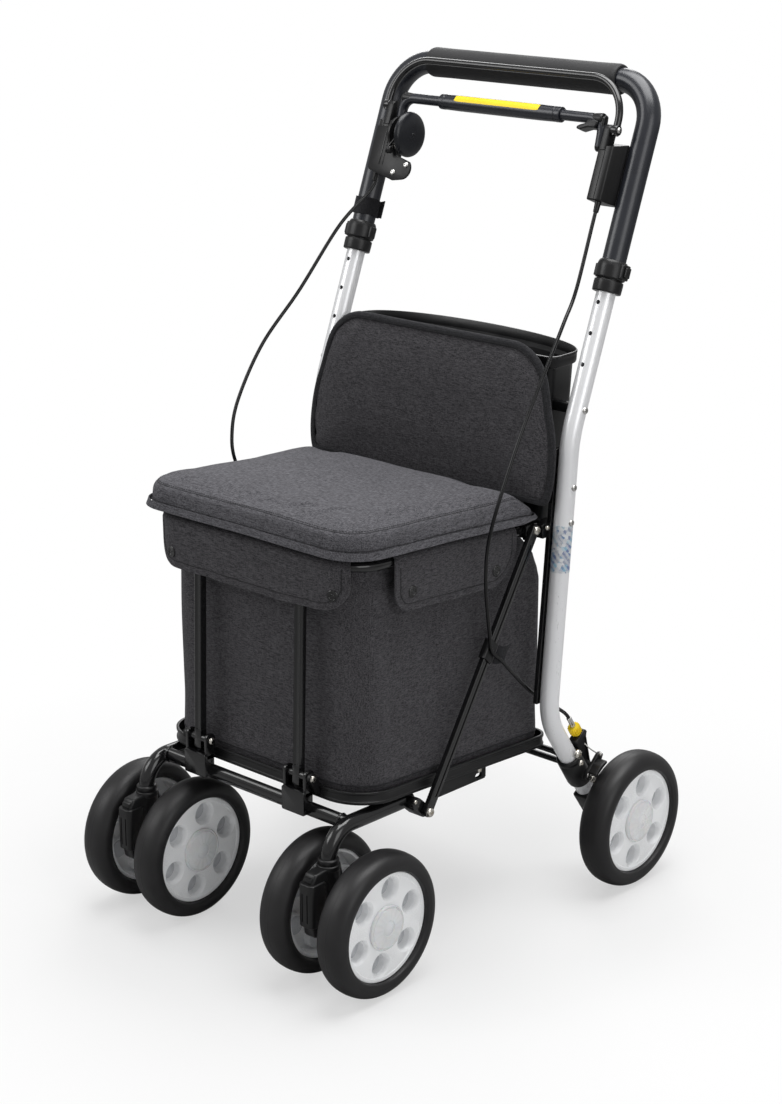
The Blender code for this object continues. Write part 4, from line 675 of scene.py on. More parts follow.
def hub(center, outward, body, node):
    """Milky hub: flush disc with a raised ring, six flared hollows and a ribbed centre cap."""
    face, axis = HUB_HALF, (outward, 0, 0)
    profile = [(0.0060, 0.0140), (-face, 0.0122), (-face, 0.0046), (face - 0.001, 0.0046), (face - 0.001, 0.0240),
               (face - 0.0008, 0.0272), (face - 0.0008, 0.0572), (face, 0.0580), (face, 0.0618),
               (face - 0.0007, HUB_R), (-face + 0.0007, HUB_R), (-face, HUB_R - 0.0007), (-face, HUB_R - 0.0038),
               (0.0050, HUB_R - 0.0050), (0.0060, HUB_R - 0.0062)]
    disc = lathe(f"hub_{body}", profile, center, axis, "hub", sides=96)
    spots = []
    for i in range(6):
        turn = math.radians(60 * i + HOLLOW_TURN)
        spots.append(Vector(center) + Vector((0, math.cos(turn), math.sin(turn))) * HOLLOW_CIRCLE)
    flare = [(face + 0.0020, 0), (face + 0.0020, 0.0162), (face - 0.0006, 0.0146), (face - 0.0012, 0.0139),
             (face - 0.0026, 0.0129), (0.0086, 0.0119), (0.0020, 0.0112), (0.0020, 0)]
    boolean(disc, [lathe("flare", flare, spot, axis, "hub", sides=40) for spot in spots], sharp=32)
    put(disc, body, node)
    wall = [(0.0074, 0.0114), (0.0074, 0.0124), (-0.0022, 0.0118), (-0.0022, 0.0108)]
    shaded_well = [(-0.0004, 0.0104), (-0.0004, 0.0113), (-0.0030, 0.0108), (-0.0040, 0.0092), (-0.0042, 0.0002),
            (-0.0030, 0.0002), (-0.0026, 0.0084)]
    walls = [lathe("wall", wall, spot, axis, "hub", sides=40) for spot in spots]
    put(merge(f"hollow_walls_{body}", walls, 40), body)
    # The well floors use the darker grey material: painted shade at the bottom of each hollow.
    wells = [lathe("shaded_well", shaded_well, spot, axis, "shaded_well", sides=32) for spot in spots]
    put(merge(f"hollows_{body}", wells, 40), body)
    cup = [(face - 0.0012, 0), (face - 0.0012, 0.0256), (face + 0.0012, 0.0260), (face + 0.0024, 0.0254),
           (face + 0.0030, 0.0242), (face + 0.0022, 0.0236), (face + 0.0022, 0.0230), (face + 0.0032, 0.0224),
           (face + 0.0038, 0.0180), (face + 0.0042, 0.0120), (face + 0.0045, 0.0092), (face + 0.0039, 0.0086),
           (face + 0.0039, 0.0080), (face + 0.0044, 0.0074), (face + 0.0045, 0)]
    cap = lathe(f"cap_{body}", cup, center, axis, "cap", sides=96, sharp=40)
    for v in cap.data.vertices:
        flat = Vector((v.co.y - center[1], v.co.z - center[2]))
        if 0.0100 < flat.length < 0.0232:
            v.co.x -= outward * 0.00035 * (0.5 + 0.5 * math.cos(16 * math.atan2(flat.y, flat.x)))
    put(cap, body)
    bush = lathe(f"bush_{body}", [(-face + 0.001, 0.0124), (-face + 0.001, 0.0168), (0.0055, 0.0168),
                                  (0.0055, 0.0124)],
                 center, axis, "bush", sides=48)
    put(bush, body)


def wheels():
    for side, word in SIDES:
        for twin, place in ((1, "outer"), (-1, "inner")):
            center = (side * (CASTER_X + twin * TWIN), FRONT_Y, AXLE_Z)
            body = f"front_wheel_{word}_{place}"
            tyre(center, side * twin, body, f"front_tyre_{word}_{place}")
            hub(center, side * twin, body, f"front_hub_{word}_{place}")
        center = (side * REAR_X, REAR_Y, AXLE_Z)
        tyre(center, side, f"rear_wheel_{word}", f"rear_tyre_{word}")
        hub(center, side, f"rear_wheel_{word}", f"rear_hub_{word}")


def caster(side, word):
    """Moulded fork with its ribbed nose, the collar round the stem and the twin wheels' axle."""
    body, x, top = f"caster_{word}", side * CASTER_X, SIDE_Z - 0.038
    middle = (x, FRONT_Y, AXLE_Z)
    outline = [(STEM_Y - 0.031, AXLE_Z - 0.006), (STEM_Y - 0.034, AXLE_Z + 0.010), (STEM_Y - 0.033, top - 0.010),
               (STEM_Y - 0.028, top - 0.001), (STEM_Y - 0.016, top), (STEM_Y + 0.012, top),
               (STEM_Y + 0.016, top - 0.020), (FRONT_Y - 0.002, AXLE_Z + 0.024), (FRONT_Y + 0.012, AXLE_Z + 0.012),
               (FRONT_Y + 0.015, AXLE_Z - 0.001), (FRONT_Y + 0.008, AXLE_Z - 0.013),
               (FRONT_Y - 0.008, AXLE_Z - 0.015), (STEM_Y - 0.006, AXLE_Z - 0.011),
               (STEM_Y - 0.022, AXLE_Z - 0.010)]
    web = block("fork_web", outline, x - 0.0082, x + 0.0082, "plastic", edge=0.0026, segments=3)
    nose_outline = rectangle((x - 0.0108, STEM_Y - 0.0375), (x + 0.0108, STEM_Y - 0.015),
                             (0.0062, 0.0062, 0.003, 0.003), 6)
    nose = block("fork_nose", nose_outline, AXLE_Z + 0.006, top - 0.011, "plastic",
                 place=up_place, edge=0.0016, segments=3)
    grooves = []
    for u in (-0.0036, 0.0036):
        groove = rectangle((x + u - 0.0008, STEM_Y - 0.040), (x + u + 0.0008, STEM_Y - 0.0363), 0.0003, 2)
        grooves.append(block("fork_groove", groove, AXLE_Z + 0.012, top - 0.022, "plastic", place=up_place))
    boolean(nose, grooves)
    step = block("fork_step", rectangle((x - 0.0058, STEM_Y - 0.0335), (x + 0.0058, STEM_Y - 0.0195), 0.0016, 3),
                 top - 0.012, top - 0.0045, "plastic", place=up_place, edge=0.0009)
    barrel = lathe("fork_barrel", rounded([(0, 0.0056), (0, 0.0125), (0.0235, 0.0125), (0.0245, 0.0131),
                                           (0.0292, 0.0131), (0.0300, 0.0118), (0.0300, 0.0056)], 0.0012),
                   (x, STEM_Y, top - 0.028), (0, 0, 1), "plastic", sides=48)
    ribs = []
    for out in (1, -1):
        for u in (-0.014, -0.004, 0.006):
            rib = rectangle((STEM_Y + u - 0.0012, AXLE_Z + 0.018), (STEM_Y + u + 0.0012, top - 0.014), 0.0006, 2)
            near, far = sorted((x + out * 0.0078, x + out * 0.0094))
            ribs.append(block("fork_rib", rib, near, far, "plastic", edge=0.0004))
    boss = soft_ring("fork_boss", -0.0125, 0.0125, 0, 0.0112, 0.0012, middle, (1, 0, 0), "plastic", sides=48)
    put(merge(f"fork_{word}", [web, nose, step, barrel, boss, *ribs]), body, f"caster_fork_{word}")
    reach = TWIN + HUB_HALF - 0.0012
    axle = cylinder(f"axle_{word}", -reach, reach, 0.004, middle, (1, 0, 0), "zinc", sides=24)
    put(axle, body, f"caster_axle_{word}")
    for out in (1, -1):
        washer = soft_ring(f"washer_{word}_{'in' if out < 0 else 'out'}", 0, 0.0012, 0.0043, 0.0092, 0.0004,
                           (x + out * 0.0130, FRONT_Y, AXLE_Z), (out, 0, 0), "zinc", sides=32)
        put(washer, body)


# Front frame

def weld(center, axis, radius):
    """A raised bead round a welded joint, slightly uneven."""
    _, across, beside = axes_across(axis)
    path = []
    for i in range(36):
        t = 2 * math.pi * i / 36
        swell = 1 + 0.035 * math.sin(9 * t) + 0.02 * math.sin(5 * t + 1)
        path.append(Vector(center) + (across * math.cos(t) + beside * math.sin(t)) * radius * swell)
    return tube("weld", path, 0.0016, "gloss", sides=8, closed=True)


def leg_frame():
    """Welded base: bent side tubes, oval cross tube, stems, hinge brackets and strut lugs."""
    parts = [tube("cross_tube", [(-CASTER_X, FRONT_Y, SIDE_Z), (CASTER_X, FRONT_Y, SIDE_Z)], 0.0085, "gloss",
                  high=0.006, flat=(0, 0, 1), sides=32)]
    inner, outer = BAR_X - BRACKET_HALF, BAR_X + BRACKET_HALF
    for side, _ in SIDES:
        x = side * CASTER_X
        path = filleted([(x, STEM_Y, SIDE_Z - 0.0357), (x, STEM_Y, SIDE_Z),
                         (x, STRUT_FOOT.x - 0.006, SIDE_Z - 0.004)], [0.033])
        parts.append(tube("side_tube", path, 0.009, "gloss", flat=(1, 0, 0), sides=32))
        parts.append(weld((x - side * 0.0085, FRONT_Y, SIDE_Z), (1, 0, 0), 0.0075))
        far = side * (STRUT_X - STRUT_HALF - GAP)
        lug = block("strut_lug", stadium((STRUT_FOOT.x - 0.012, SIDE_Z - 0.004), tuple(STRUT_FOOT), 0.0075, 12),
                    *sorted((x, far)), "gloss", edge=0.0008)
        parts.append(lug)
        low, high = mirrored(side, inner, outer)
        plate = block("bracket", rectangle((low, SIDE_Z - 0.003), (high, DECK_Z - 0.005), 0.0022, 4),
                      FRONT_Y - 0.0160, FRONT_Y - 0.0010, "gloss", place=ahead_place, edge=0.0012)
        parts.append(plate)
        for edge, toward in ((inner, 1), (outer, -1)):
            near, away = mirrored(side, edge, edge + toward * 0.004)
            ear = rectangle((HINGE.x - 0.007, DECK_Z - 0.012), (HINGE.x + 0.007, HINGE.y + 0.008),
                            (0.001, 0.001, 0.006, 0.006), 8)
            parts.append(block("ear", ear, near, away, "gloss", edge=0.0007))
    put(merge("base_frame", parts), "front_frame", "leg_frame")
    for side, word in SIDES:
        x = side * CASTER_X
        stem = cylinder(f"stem_{word}", 0, 0.060, 0.005, (x, STEM_Y, AXLE_Z + 0.0143), UP, "zinc", sides=24)
        put(stem, "front_frame")
        plug = lathe(f"tube_plug_{word}",
                     rounded([(0, 0), (0, 0.0086), (0.0022, 0.0086), (0.0030, 0.0070), (0.0030, 0)], 0.0008),
                     (x, STRUT_FOOT.x - 0.006, SIDE_Z - 0.004), (0, 1, -0.04), "plastic", sides=36)
        put(plug, "front_frame")
        collar = lathe(f"stem_collar_{word}",
                       rounded([(0, 0.0060), (0, 0.0117), (0.0050, 0.0117), (0.0062, 0.0100), (0.0062, 0.0060)],
                               0.0009), (x, STEM_Y, SIDE_Z - 0.0357), UP, "plastic", sides=48)
        put(collar, "front_frame")
        pin = cylinder(f"hinge_pin_{word}", 0, 0.0445, 0.0025, (side * (inner - 0.004), *HINGE), (side, 0, 0),
                       "gloss", sides=20)
        put(pin, "front_frame")
        screw(f"hinge_head_{word}", (side * (outer + 0.0075 - 0.0030), *HINGE), (side, 0, 0), 0.0046, "front_frame",
              "nickel", 0.003)
        screw(f"hinge_end_{word}", (side * (inner - 0.0014), *HINGE), (-side, 0, 0), 0.0042, "front_frame",
              "nickel" if side < 0 else "gloss", 0.0026)
        head = side * (STRUT_X + 0.0035)
        pin = cylinder(f"strut_pin_{word}", 0, 0.012, 0.003, (side * (STRUT_X - 0.0075), *STRUT_FOOT), (side, 0, 0),
                       "zinc", sides=20)
        put(pin, "front_frame")
        screw(f"strut_foot_head_{word}", (head, *STRUT_FOOT), (side, 0, 0), 0.0055, "front_frame", "nickel", 0.0034)
        small = (STRUT_FOOT.x - 0.016, SIDE_Z + 0.0005)
        screw(f"lug_rivet_{word}", (side * (STRUT_X - 0.0036), *small), (side, 0, 0), 0.0026, "front_frame",
              "nickel", 0.0016, "hex")


def struts():
    """Flat struts with a long shallow groove down the outer face."""
    for side, word in SIDES:
        near, far = mirrored(side, STRUT_X - STRUT_HALF, STRUT_X + STRUT_HALF)
        bar = block(f"strut_bar_{word}", stadium(tuple(STRUT_FOOT), tuple(PIVOT), 0.006, 14), near, far, "gloss",
                    edge=0.0009, segments=3)
        toward = (PIVOT - STRUT_FOOT).normalized()
        groove = stadium(tuple(STRUT_FOOT + toward * 0.020), tuple(PIVOT - toward * 0.020), 0.0022, 6)
        face = side * (STRUT_X + STRUT_HALF)
        cutters = [block("strut_groove", groove, *sorted((face - side * 0.0009, face + side * 0.003)), "gloss")]
        for end in (STRUT_FOOT, PIVOT):
            cutters.append(cylinder("strut_hole", -0.01, 0.01, 0.0033, (side * STRUT_X, *end), (1, 0, 0), "gloss",
                                    sides=24))
        put(boolean(bar, cutters), "front_frame", f"strut_{word}")


def ring_outline(grow=0.0, steps=14):
    half = RING_HALF + grow
    return rectangle((-half, RING_FRONT - grow), (half, RING_REAR + grow),
                     (0.045 + grow, 0.045 + grow, 0.02 + grow, 0.02 + grow), steps)


def bag_ring():
    """Hoop that the bag hangs from, with a lug to each pivot."""
    path = [(u, v, ring_z(v)) for u, v in ring_outline()]
    parts = [tube("ring_tube", even(path, 0.006, True), RING_R, "gloss", sides=28, flat=(0, DECK_SLOPE, 1),
                  closed=True)]
    for side, _ in SIDES:
        near, far = mirrored(side, RING_HALF - 0.0005, STRUT_X - STRUT_HALF - 0.0006 - 0.0064)
        lug = block("ring_lug", stadium(tuple(PIVOT), (PIVOT.x - 0.004, ring_z(PIVOT.x)), 0.0075, 12), near, far,
                    "gloss", edge=0.0006)
        hole = cylinder("ring_hole", -0.02, 0.02, 0.0033, (side * RING_HALF, *PIVOT), (1, 0, 0), "gloss", sides=24)
        parts.append(boolean(lug, [hole]))
    put(merge("hoop", parts), "front_frame", "bag_ring")


def bar_y(z):
    high = ring_z(RING_FRONT) - RING_R - GAP
    return HINGE.x + (RING_FRONT - HINGE.x) * (z - HINGE.y) / (high - HINGE.y)


def front_bars():
    """Channel bars with two ridges down the front, and the spacer tube on the hinge pin."""
    low, high = HINGE.y - 0.011, ring_z(RING_FRONT) - RING_R - GAP
    half, deep = 0.005, 0.0045
    section = [(-half, deep), (-half, -deep + 0.0008), (-half + 0.0003, -deep + 0.0003), (-half + 0.0009, -deep),
               (-half + 0.0017, -deep + 0.0002), (-half + 0.0022, -deep + 0.0008), (-half + 0.0030, -deep + 0.0015),
               (-half + 0.0040, -deep + 0.0017)]
    section = section + [(-u, v) for u, v in reversed(section)]
    for side, word in SIDES:
        rings = [[(side * BAR_X + u, bar_y(z) + v, z) for u, v in section]
                 for z in (low, low + 0.0008, 0.5 * (low + high), high - 0.0008, high)]
        bar = loft("bar", rings, "gloss", sharp=50)
        spacer = soft_ring("bar_spacer", -0.0127, 0.0127, 0.0028, 0.0046, 0.0006, (side * BAR_X, *HINGE), (1, 0, 0),
                           "gloss", sides=32)
        foot = block("bar_foot", rectangle((-0.0052, low - 0.0004), (0.0052, low + 0.022), 0.0016, 4), -0.0047,
                     0.0047, "gloss",
                     place=lambda d, u, v: (side * BAR_X + u, bar_y(v) + d + 0.0002, v), edge=0.0008)
        put(merge(f"bar_{word}", [bar, spacer, foot]), "front_frame", f"front_bar_{word}")


# Bag, flaps and tray

def loop_points(half, front, rear, corner, rear_corner, count):
    """Evenly spaced points round a rounded rectangle, always the same number from the same place."""
    outline = [Vector(p) for p in rectangle((-half, front), (half, rear),
                                            (corner, corner, rear_corner, rear_corner), 10)]
    length = sum((b - a).length for a, b in zip(outline, outline[1:] + outline[:1]))
    return even(outline, length / count, True)


def bag_sections():
    """Rows of share of height, half width, front, rear, corner, rear corner, and height over y."""
    front, top_half = RING_FRONT + RING_R + 0.0015, RING_HALF - RING_R - 0.0015
    top_rear = RING_REAR - RING_R - 0.0015
    rear, floor = top_rear + 0.0355, -0.0117
    return [(0.00, top_half - 0.0020, front + 0.0020, rear - 0.010, 0.050, 0.022, lambda y: deck_z(y) + floor),
            (0.015, 0.1485, front + 0.0008, rear - 0.003, 0.050, 0.019, lambda y: deck_z(y) + floor + 0.0035),
            (0.05, 0.1512, front, rear, 0.050, 0.018, lambda y: deck_z(y) + floor + 0.0120),
            (0.25, 0.1516, front, rear + 0.011, 0.048, 0.018,
             lambda y: 0.75 * deck_z(y) + 0.25 * ring_z(y) - 0.003),
            (0.745, 0.1512, front, rear + 0.012, 0.046, 0.018, lambda y: ring_z(y) - 0.066),
            (0.80, 0.1510, front, rear + 0.009, 0.046, 0.020, lambda y: ring_z(y) - 0.052),
            (0.863, 0.1508, front, top_rear + 0.034, 0.045, 0.022, lambda y: ring_z(y) - 0.034),
            (0.937, top_half, front + 0.001, top_rear + 0.017, 0.042, 0.026, lambda y: ring_z(y) - 0.014),
            (1.00, top_half, front + 0.001, top_rear, 0.042, 0.030, lambda y: ring_z(y) + 0.0030)]


def bag_ring_at(t, count):
    """The bag's outline at a share t of its height."""
    sections = bag_sections()
    for low, high in zip(sections, sections[1:]):
        if t <= high[0]:
            break
    share = (t - low[0]) / (high[0] - low[0])
    sizes = [a + (b - a) * share for a, b in zip(low[1:6], high[1:6])]
    return [Vector((p.x, p.y, low[6](p.y) * (1 - share) + high[6](p.y) * share))
            for p in loop_points(*sizes, count)]


def bag_slack(point, t):
    """How far the cloth is drawn in from its tight shape: bows between its corners, soft upright folds."""
    x, y, z = point
    held = smooth(min(t / 0.22, 1.0)) * smooth(min((1 - t) / 0.22, 1.0))
    corner = smooth((abs(x) - 0.085) / 0.055) * smooth((-y - 0.125) / 0.050)
    side_middle = smooth((abs(x) - 0.135) / 0.012)
    bow = 0.0052 * held * (1 - 0.75 * corner)
    folds = uneven(x * 16, y * 16, z * 3.2 + 4) * 0.0022 + uneven(x * 38, y * 38, z * 7) * 0.0008
    crease = 0.0
    for gap, width, depth, low, rise in ((y + 0.060 + 0.10 * (z - 0.35), 0.010, 0.0022, 0.22, 0.14),
                                         (y - 0.064 - 0.22 * (0.42 - z), 0.009, 0.0030, 0.26, 0.10)):
        crease += math.exp(-(gap / width) ** 2) * side_middle * depth * smooth((z - low) / rise)
    dent = corner * (0.0030 if x > 0 else 0.0012) * math.exp(-((t - 0.80) / 0.16) ** 2)
    sweep_in = corner * (0.0014 if x > 0 else 0.0005) * math.sin(46 * (x * math.copysign(1, x) + y) + 0.6) * held
    return bow + dent + crease + abs(sweep_in) + (0.0018 + folds) * (0.25 + 0.75 * held)


# The bag's cloth laid flat, its area, and the row of its wall that the floor seam follows.
BAG_CUT, BAG_AREA, SEAM_ROW = (1.17, 0.57), 0.408, 4


def bag():
    """Cloth bag: floor, slack wall up to the ring, hem round the ring and floor seam."""
    count, rows = 220, 64
    center = Vector((0, -0.04))
    grid = []
    for row in range(rows + 1):
        t = row / rows
        ring = bag_ring_at(t, count)
        moved = []
        for i, p in enumerate(ring):
            way = (ring[(i + 1) % count] - ring[i - 1]).normalized()
            out = Vector((way.y, -way.x, 0))
            if out.to_2d().dot(p.to_2d() - center) < 0:
                out = -out
            moved.append(p - out * bag_slack(p, t))
        grid.append(moved)
    points, faces = [], []
    floor = grid[0]
    middle = sum(floor, Vector()) / count
    points.append(middle)
    shares = (0.35, 0.70, 0.90)
    for share in shares:
        points += [middle.lerp(p, share) for p in floor]
    faces += [(0, 1 + (i + 1) % count, 1 + i) for i in range(count)]
    for ring in grid:
        points += ring
    for row in range(len(shares) + rows):
        a, b = 1 + row * count, 1 + (row + 1) * count
        faces += [(a + i, a + (i + 1) % count, b + (i + 1) % count, b + i) for i in range(count)]
    shell = solid("shopping_bag", points, faces, "cloth", 60)
    thicken(shell, 0.0022, -1)
    # The top hangs from the ring and the bottom lies on the tray.
    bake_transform(shell)
    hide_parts("bag")
    top = [p + Vector((0, 0, 0.0004)) for p in bag_ring_at(1.0, count)]
    hem = tube("bag_rim_binding", even(top, 0.005, True), 0.0021, "binding", sides=12, closed=True)
    put(hem, "front_frame")
    seam = even(grid[SEAM_ROW], 0.005, True)
    put(tube("bag_floor_seam", seam, 0.0008, "binding", sides=8, closed=True), "tray")


RING_STEP = 0.002


def ring_frame():
    """Points round the bag ring with their outward directions, from the middle of the front."""
    outline = [Vector(p) for p in ring_outline(0.0, 24)]
    line = even(outline, RING_STEP, True)
    start = min(range(len(line)), key=lambda i: (line[i] - Vector((0, RING_FRONT))).length)
    line = line[start:] + line[:start]
    out = []
    for i, p in enumerate(line):
        way = (line[(i + 1) % len(line)] - line[i - 1]).normalized()
        normal = Vector((way.y, -way.x))
        if normal.dot(p - Vector((0, -0.05))) < 0:
            normal = -normal
        out.append((p, normal))
    return out


RING_LINE = ring_frame()

# How far a flap's cloth is rolled round the ring, and the radius of its roll.
FLAP_ROLL, FLAP_R = math.radians(150), RING_R + 0.0013


def at_ring(s):
    """Place and outward direction at a distance s along the ring from its front middle, to the right."""
    spot = s / RING_STEP
    low = math.floor(spot)
    share = spot - low
    (p, n), (q, m) = RING_LINE[low % len(RING_LINE)], RING_LINE[(low + 1) % len(RING_LINE)]
    return p.lerp(q, share), n.lerp(m, share).normalized()


def ring_distance(x, y):
    """Distance along the ring from its front middle to the point nearest to (x, y)."""
    best = min(range(len(RING_LINE)), key=lambda i: (RING_LINE[i][0] - Vector((x, y))).length)
    return best * RING_STEP if best < len(RING_LINE) / 2 else (best - len(RING_LINE)) * RING_STEP


def flap(name, node, first, last, drop_at, corner, seed):
    """A cloth flap over the ring: hemmed on three sides, with rounded lower corners."""
    cols, rows = max(24, round(abs(last - first) / 0.0034)), 26

    def profile(s, depth, away=0.0):
        """A point depth metres down the flap's outside at s, standing away by the given distance."""
        here, out = at_ring(s)
        down, wave = depth - FLAP_R * FLAP_ROLL, 0.0
        if depth < FLAP_R * FLAP_ROLL:
            turn = FLAP_ROLL - depth / FLAP_R
            u, v = (FLAP_R + away) * math.cos(turn), (FLAP_R + away) * math.sin(turn)
        else:
            u, v = FLAP_R + away, -down
        if down > 0:
            broad = uneven(s * 34, seed, down * 12)
            fine = uneven(s * 80, seed + 3, down * 30)
            share = min(1.0, down / 0.05)
            wave = share * (0.0011 * broad + 0.0006 * fine)
            wave -= 0.0006 * share
        spot = here + out * (u + wave)
        return Vector((spot.x, spot.y, ring_z(here.y) + v))

    def bottom(s, inset=0.0):
        """Depth of the lower edge at s, rounded towards the corners."""
        total = drop_at(s) + FLAP_R * FLAP_ROLL - inset
        inside, bend = min(abs(s - first), abs(last - s)) - inset, corner - inset
        if inside < bend:
            total -= bend - math.sqrt(max(0.0, bend ** 2 - (bend - inside) ** 2))
        return total

    def border(inset, away, start):
        """Points along the three free edges, from the start-th twentieth of one side to that of the other."""
        left, right = ([profile(s, (bottom(s) - inset) * k / 20, away) for k in range(start, 20)]
                       for s in (first + inset, last - inset))
        low = []
        for k in range(61):
            s = first + inset + (last - first - 2 * inset) * (0.5 - 0.5 * math.cos(math.pi * k / 60))
            low.append(profile(s, bottom(s, inset), away))
        return left + low + right[::-1]

    grid = []
    for col in range(cols + 1):
        t = col / cols
        share = 0.5 - 0.5 * math.cos(math.pi * t)
        s = first + (last - first) * (0.55 * t + 0.45 * share)
        end = bottom(s)
        grid.append([profile(s, end * row / rows) for row in range(rows + 1)])
    cloth = sheet_mesh(name, grid, "cloth")
    thicken(cloth, 0.0019, 1)
    put(cloth, "front_frame", node)
    deepest = max(drop_at(s) for s in (first, last, (first + last) / 2)) + FLAP_R * FLAP_ROLL
    put(tube(f"{name}_hem", even(border(0.0, 0.0008, 6), 0.0035), 0.0017, "cloth", sides=12), "front_frame")
    seam = even(border(0.0068, 0.0019, 8), 0.003)
    # The thin dark tube along the seam is painted shade of a sewn groove, not a cut in the cloth.
    put(tube(f"{name}_groove", seam, 0.00042, "shade", sides=6), "front_frame")
    thread = [p + Vector((p.x, p.y + 0.05, 0)).normalized() * 0.0003 for p in seam]
    put(stitches(f"{name}_stitches", thread, 0.0032), "front_frame")
    return profile


def flaps():
    """Front and side flaps with their snaps."""
    front_end = ring_distance(0.1375, -0.1870)
    rear_gap = ring_distance(0.150, -0.1395)
    rear_end = ring_distance(0.150, 0.0615)

    def front_drop(s):
        return 0.0500 - 0.0040 * smooth((s - 0.04) / 0.12)

    profile = flap("flap_front_cloth", "flap_front", -front_end + 0.003, front_end - 0.002, front_drop, 0.028, 1.0)
    for side, word in SIDES:
        s = ring_distance(0.1335, -0.1915) - 0.011 if side > 0 else -ring_distance(0.1140, -0.1980)
        place = profile(s, front_drop(s) + 0.0030, 0.0016)
        _, out = at_ring(s)
        snap(f"front_snap_{word}", place, (out.x, out.y, 0), "front_frame", 0.0068)

    def side_drop(s):
        here, _ = at_ring(s)
        return 0.0550 - 0.0220 * smooth((here.y - 0.022) / 0.046)

    for side, word in SIDES:
        ends = mirrored(side, rear_gap, rear_end)
        profile = flap(f"flap_{word}_cloth", f"flap_{word}", *ends, side_drop, 0.022, 5.0 + side)
        for y, z, place in ((-0.1134, 0.432, "fore"), (0.0276, 0.420, "aft")):
            s = side * ring_distance(0.150, y)
            spot = profile(s, ring_z(y) - z + FLAP_R * FLAP_ROLL, 0.0016)
            snap(f"side_snap_{word}_{place}", spot, (side, 0, 0), "front_frame", 0.0068)


def pan(name, half, front, rear, radii, section, mat):
    """A shallow tray from rounded rectangles, following a section of (outward, up)."""
    rings = []
    for out, up in section:
        outline = rectangle((-half - out, front - out), (half + out, rear + out),
                            [max(0.002, r + out) for r in radii], 16)
        rings.append([Vector((u, v, deck_z(v) + up)) for u, v in outline])
    return loft(name, rings, mat, sharp=45)


def tray():
    """Moulded tray: rolled lip, sloping floor with low ribs, side plates and hinge lugs."""
    front, rear, half = FRONT_Y + 0.004, REAR_Y - 0.066, 0.158
    section = [(-0.0060, -0.0122), (-0.0038, -0.0118), (-0.0030, -0.0105), (-0.0029, -0.0022), (-0.0033, -0.0008),
               (-0.0030, -0.0002), (-0.0022, 0.0), (-0.0006, 0.0), (-0.0001, -0.0004), (0.0, -0.0010),
               (0.0, -0.0030), (-0.0003, -0.0036), (-0.0011, -0.0040), (-0.0012, -0.0108), (-0.0008, -0.0114),
               (-0.0001, -0.0118), (0.0, -0.0124), (-0.0001, -0.0140), (-0.0006, -0.0148), (-0.0020, -0.0150)]
    parts = [pan("tray_pan", half, front, rear, (0.050, 0.050, 0.020, 0.020), section, "plastic")]
    for side, word in SIDES:
        near, far = mirrored(side, half - 0.008, half - 0.004)
        plate_front, plate_rear = FRONT_Y + 0.129, FRONT_Y + 0.221
        plate = [(plate_front, deck_z(plate_front) - 0.013), (plate_front + 0.003, deck_z(plate_front) - 0.033),
                 (plate_front + 0.008, deck_z(plate_front) - 0.034),
                 (plate_rear - 0.002, deck_z(plate_rear) - 0.030), (plate_rear, deck_z(plate_rear) - 0.028),
                 (plate_rear, deck_z(plate_rear) - 0.013)]
        cheek = block("tray_cheek", plate, near, far, "plastic", edge=0.0008)
        slot = stadium((plate_rear - 0.016, deck_z(plate_rear) - 0.023),
                       (plate_rear - 0.010, deck_z(plate_rear) - 0.023), 0.003, 8)
        boolean(cheek, [block("tray_slot", slot, side * 0.16 - 0.02, side * 0.16 + 0.02, "plastic")])
        lug_in = BAR_X + BRACKET_HALF + GAP
        near, far = mirrored(side, lug_in, lug_in + 0.005)
        outline = [(HINGE.x - 0.006, HINGE.y), *arc(HINGE, 0.006, 180, 0, 12)[1:],
                   (HINGE.x + 0.016, DECK_Z - 0.006), (HINGE.x + 0.016, DECK_Z - 0.013),
                   (HINGE.x + 0.006, DECK_Z - 0.010)]
        lug = block("tray_lug", outline, near, far, "plastic", edge=0.0005)
        hole = cylinder("lug_hole", -0.02, 0.02, 0.0029, (side * lug_in, *HINGE), (1, 0, 0), "plastic", sides=24)
        parts += [cheek, boolean(lug, [hole])]
        cheek_bolt = (side * (half - 0.0045), plate_rear - 0.0120, deck_z(plate_rear) - 0.0165)
        screw(f"cheek_bolt_{word}", cheek_bolt, (side, 0, 0), 0.0034, "tray", "nickel", 0.0022, "hex")
    for y in (-0.13, -0.06, 0.01, 0.08):
        rib = block("tray_rib", rectangle((-0.120, y - 0.002), (0.120, y + 0.002), 0.0018, 3), -0.0168, -0.0148,
                    "plastic",
                    place=lambda d, u, v: (u, v, deck_z(v) + d))
        parts.append(rib)
    put(merge("base_tray", parts, 40), "tray", "tray")


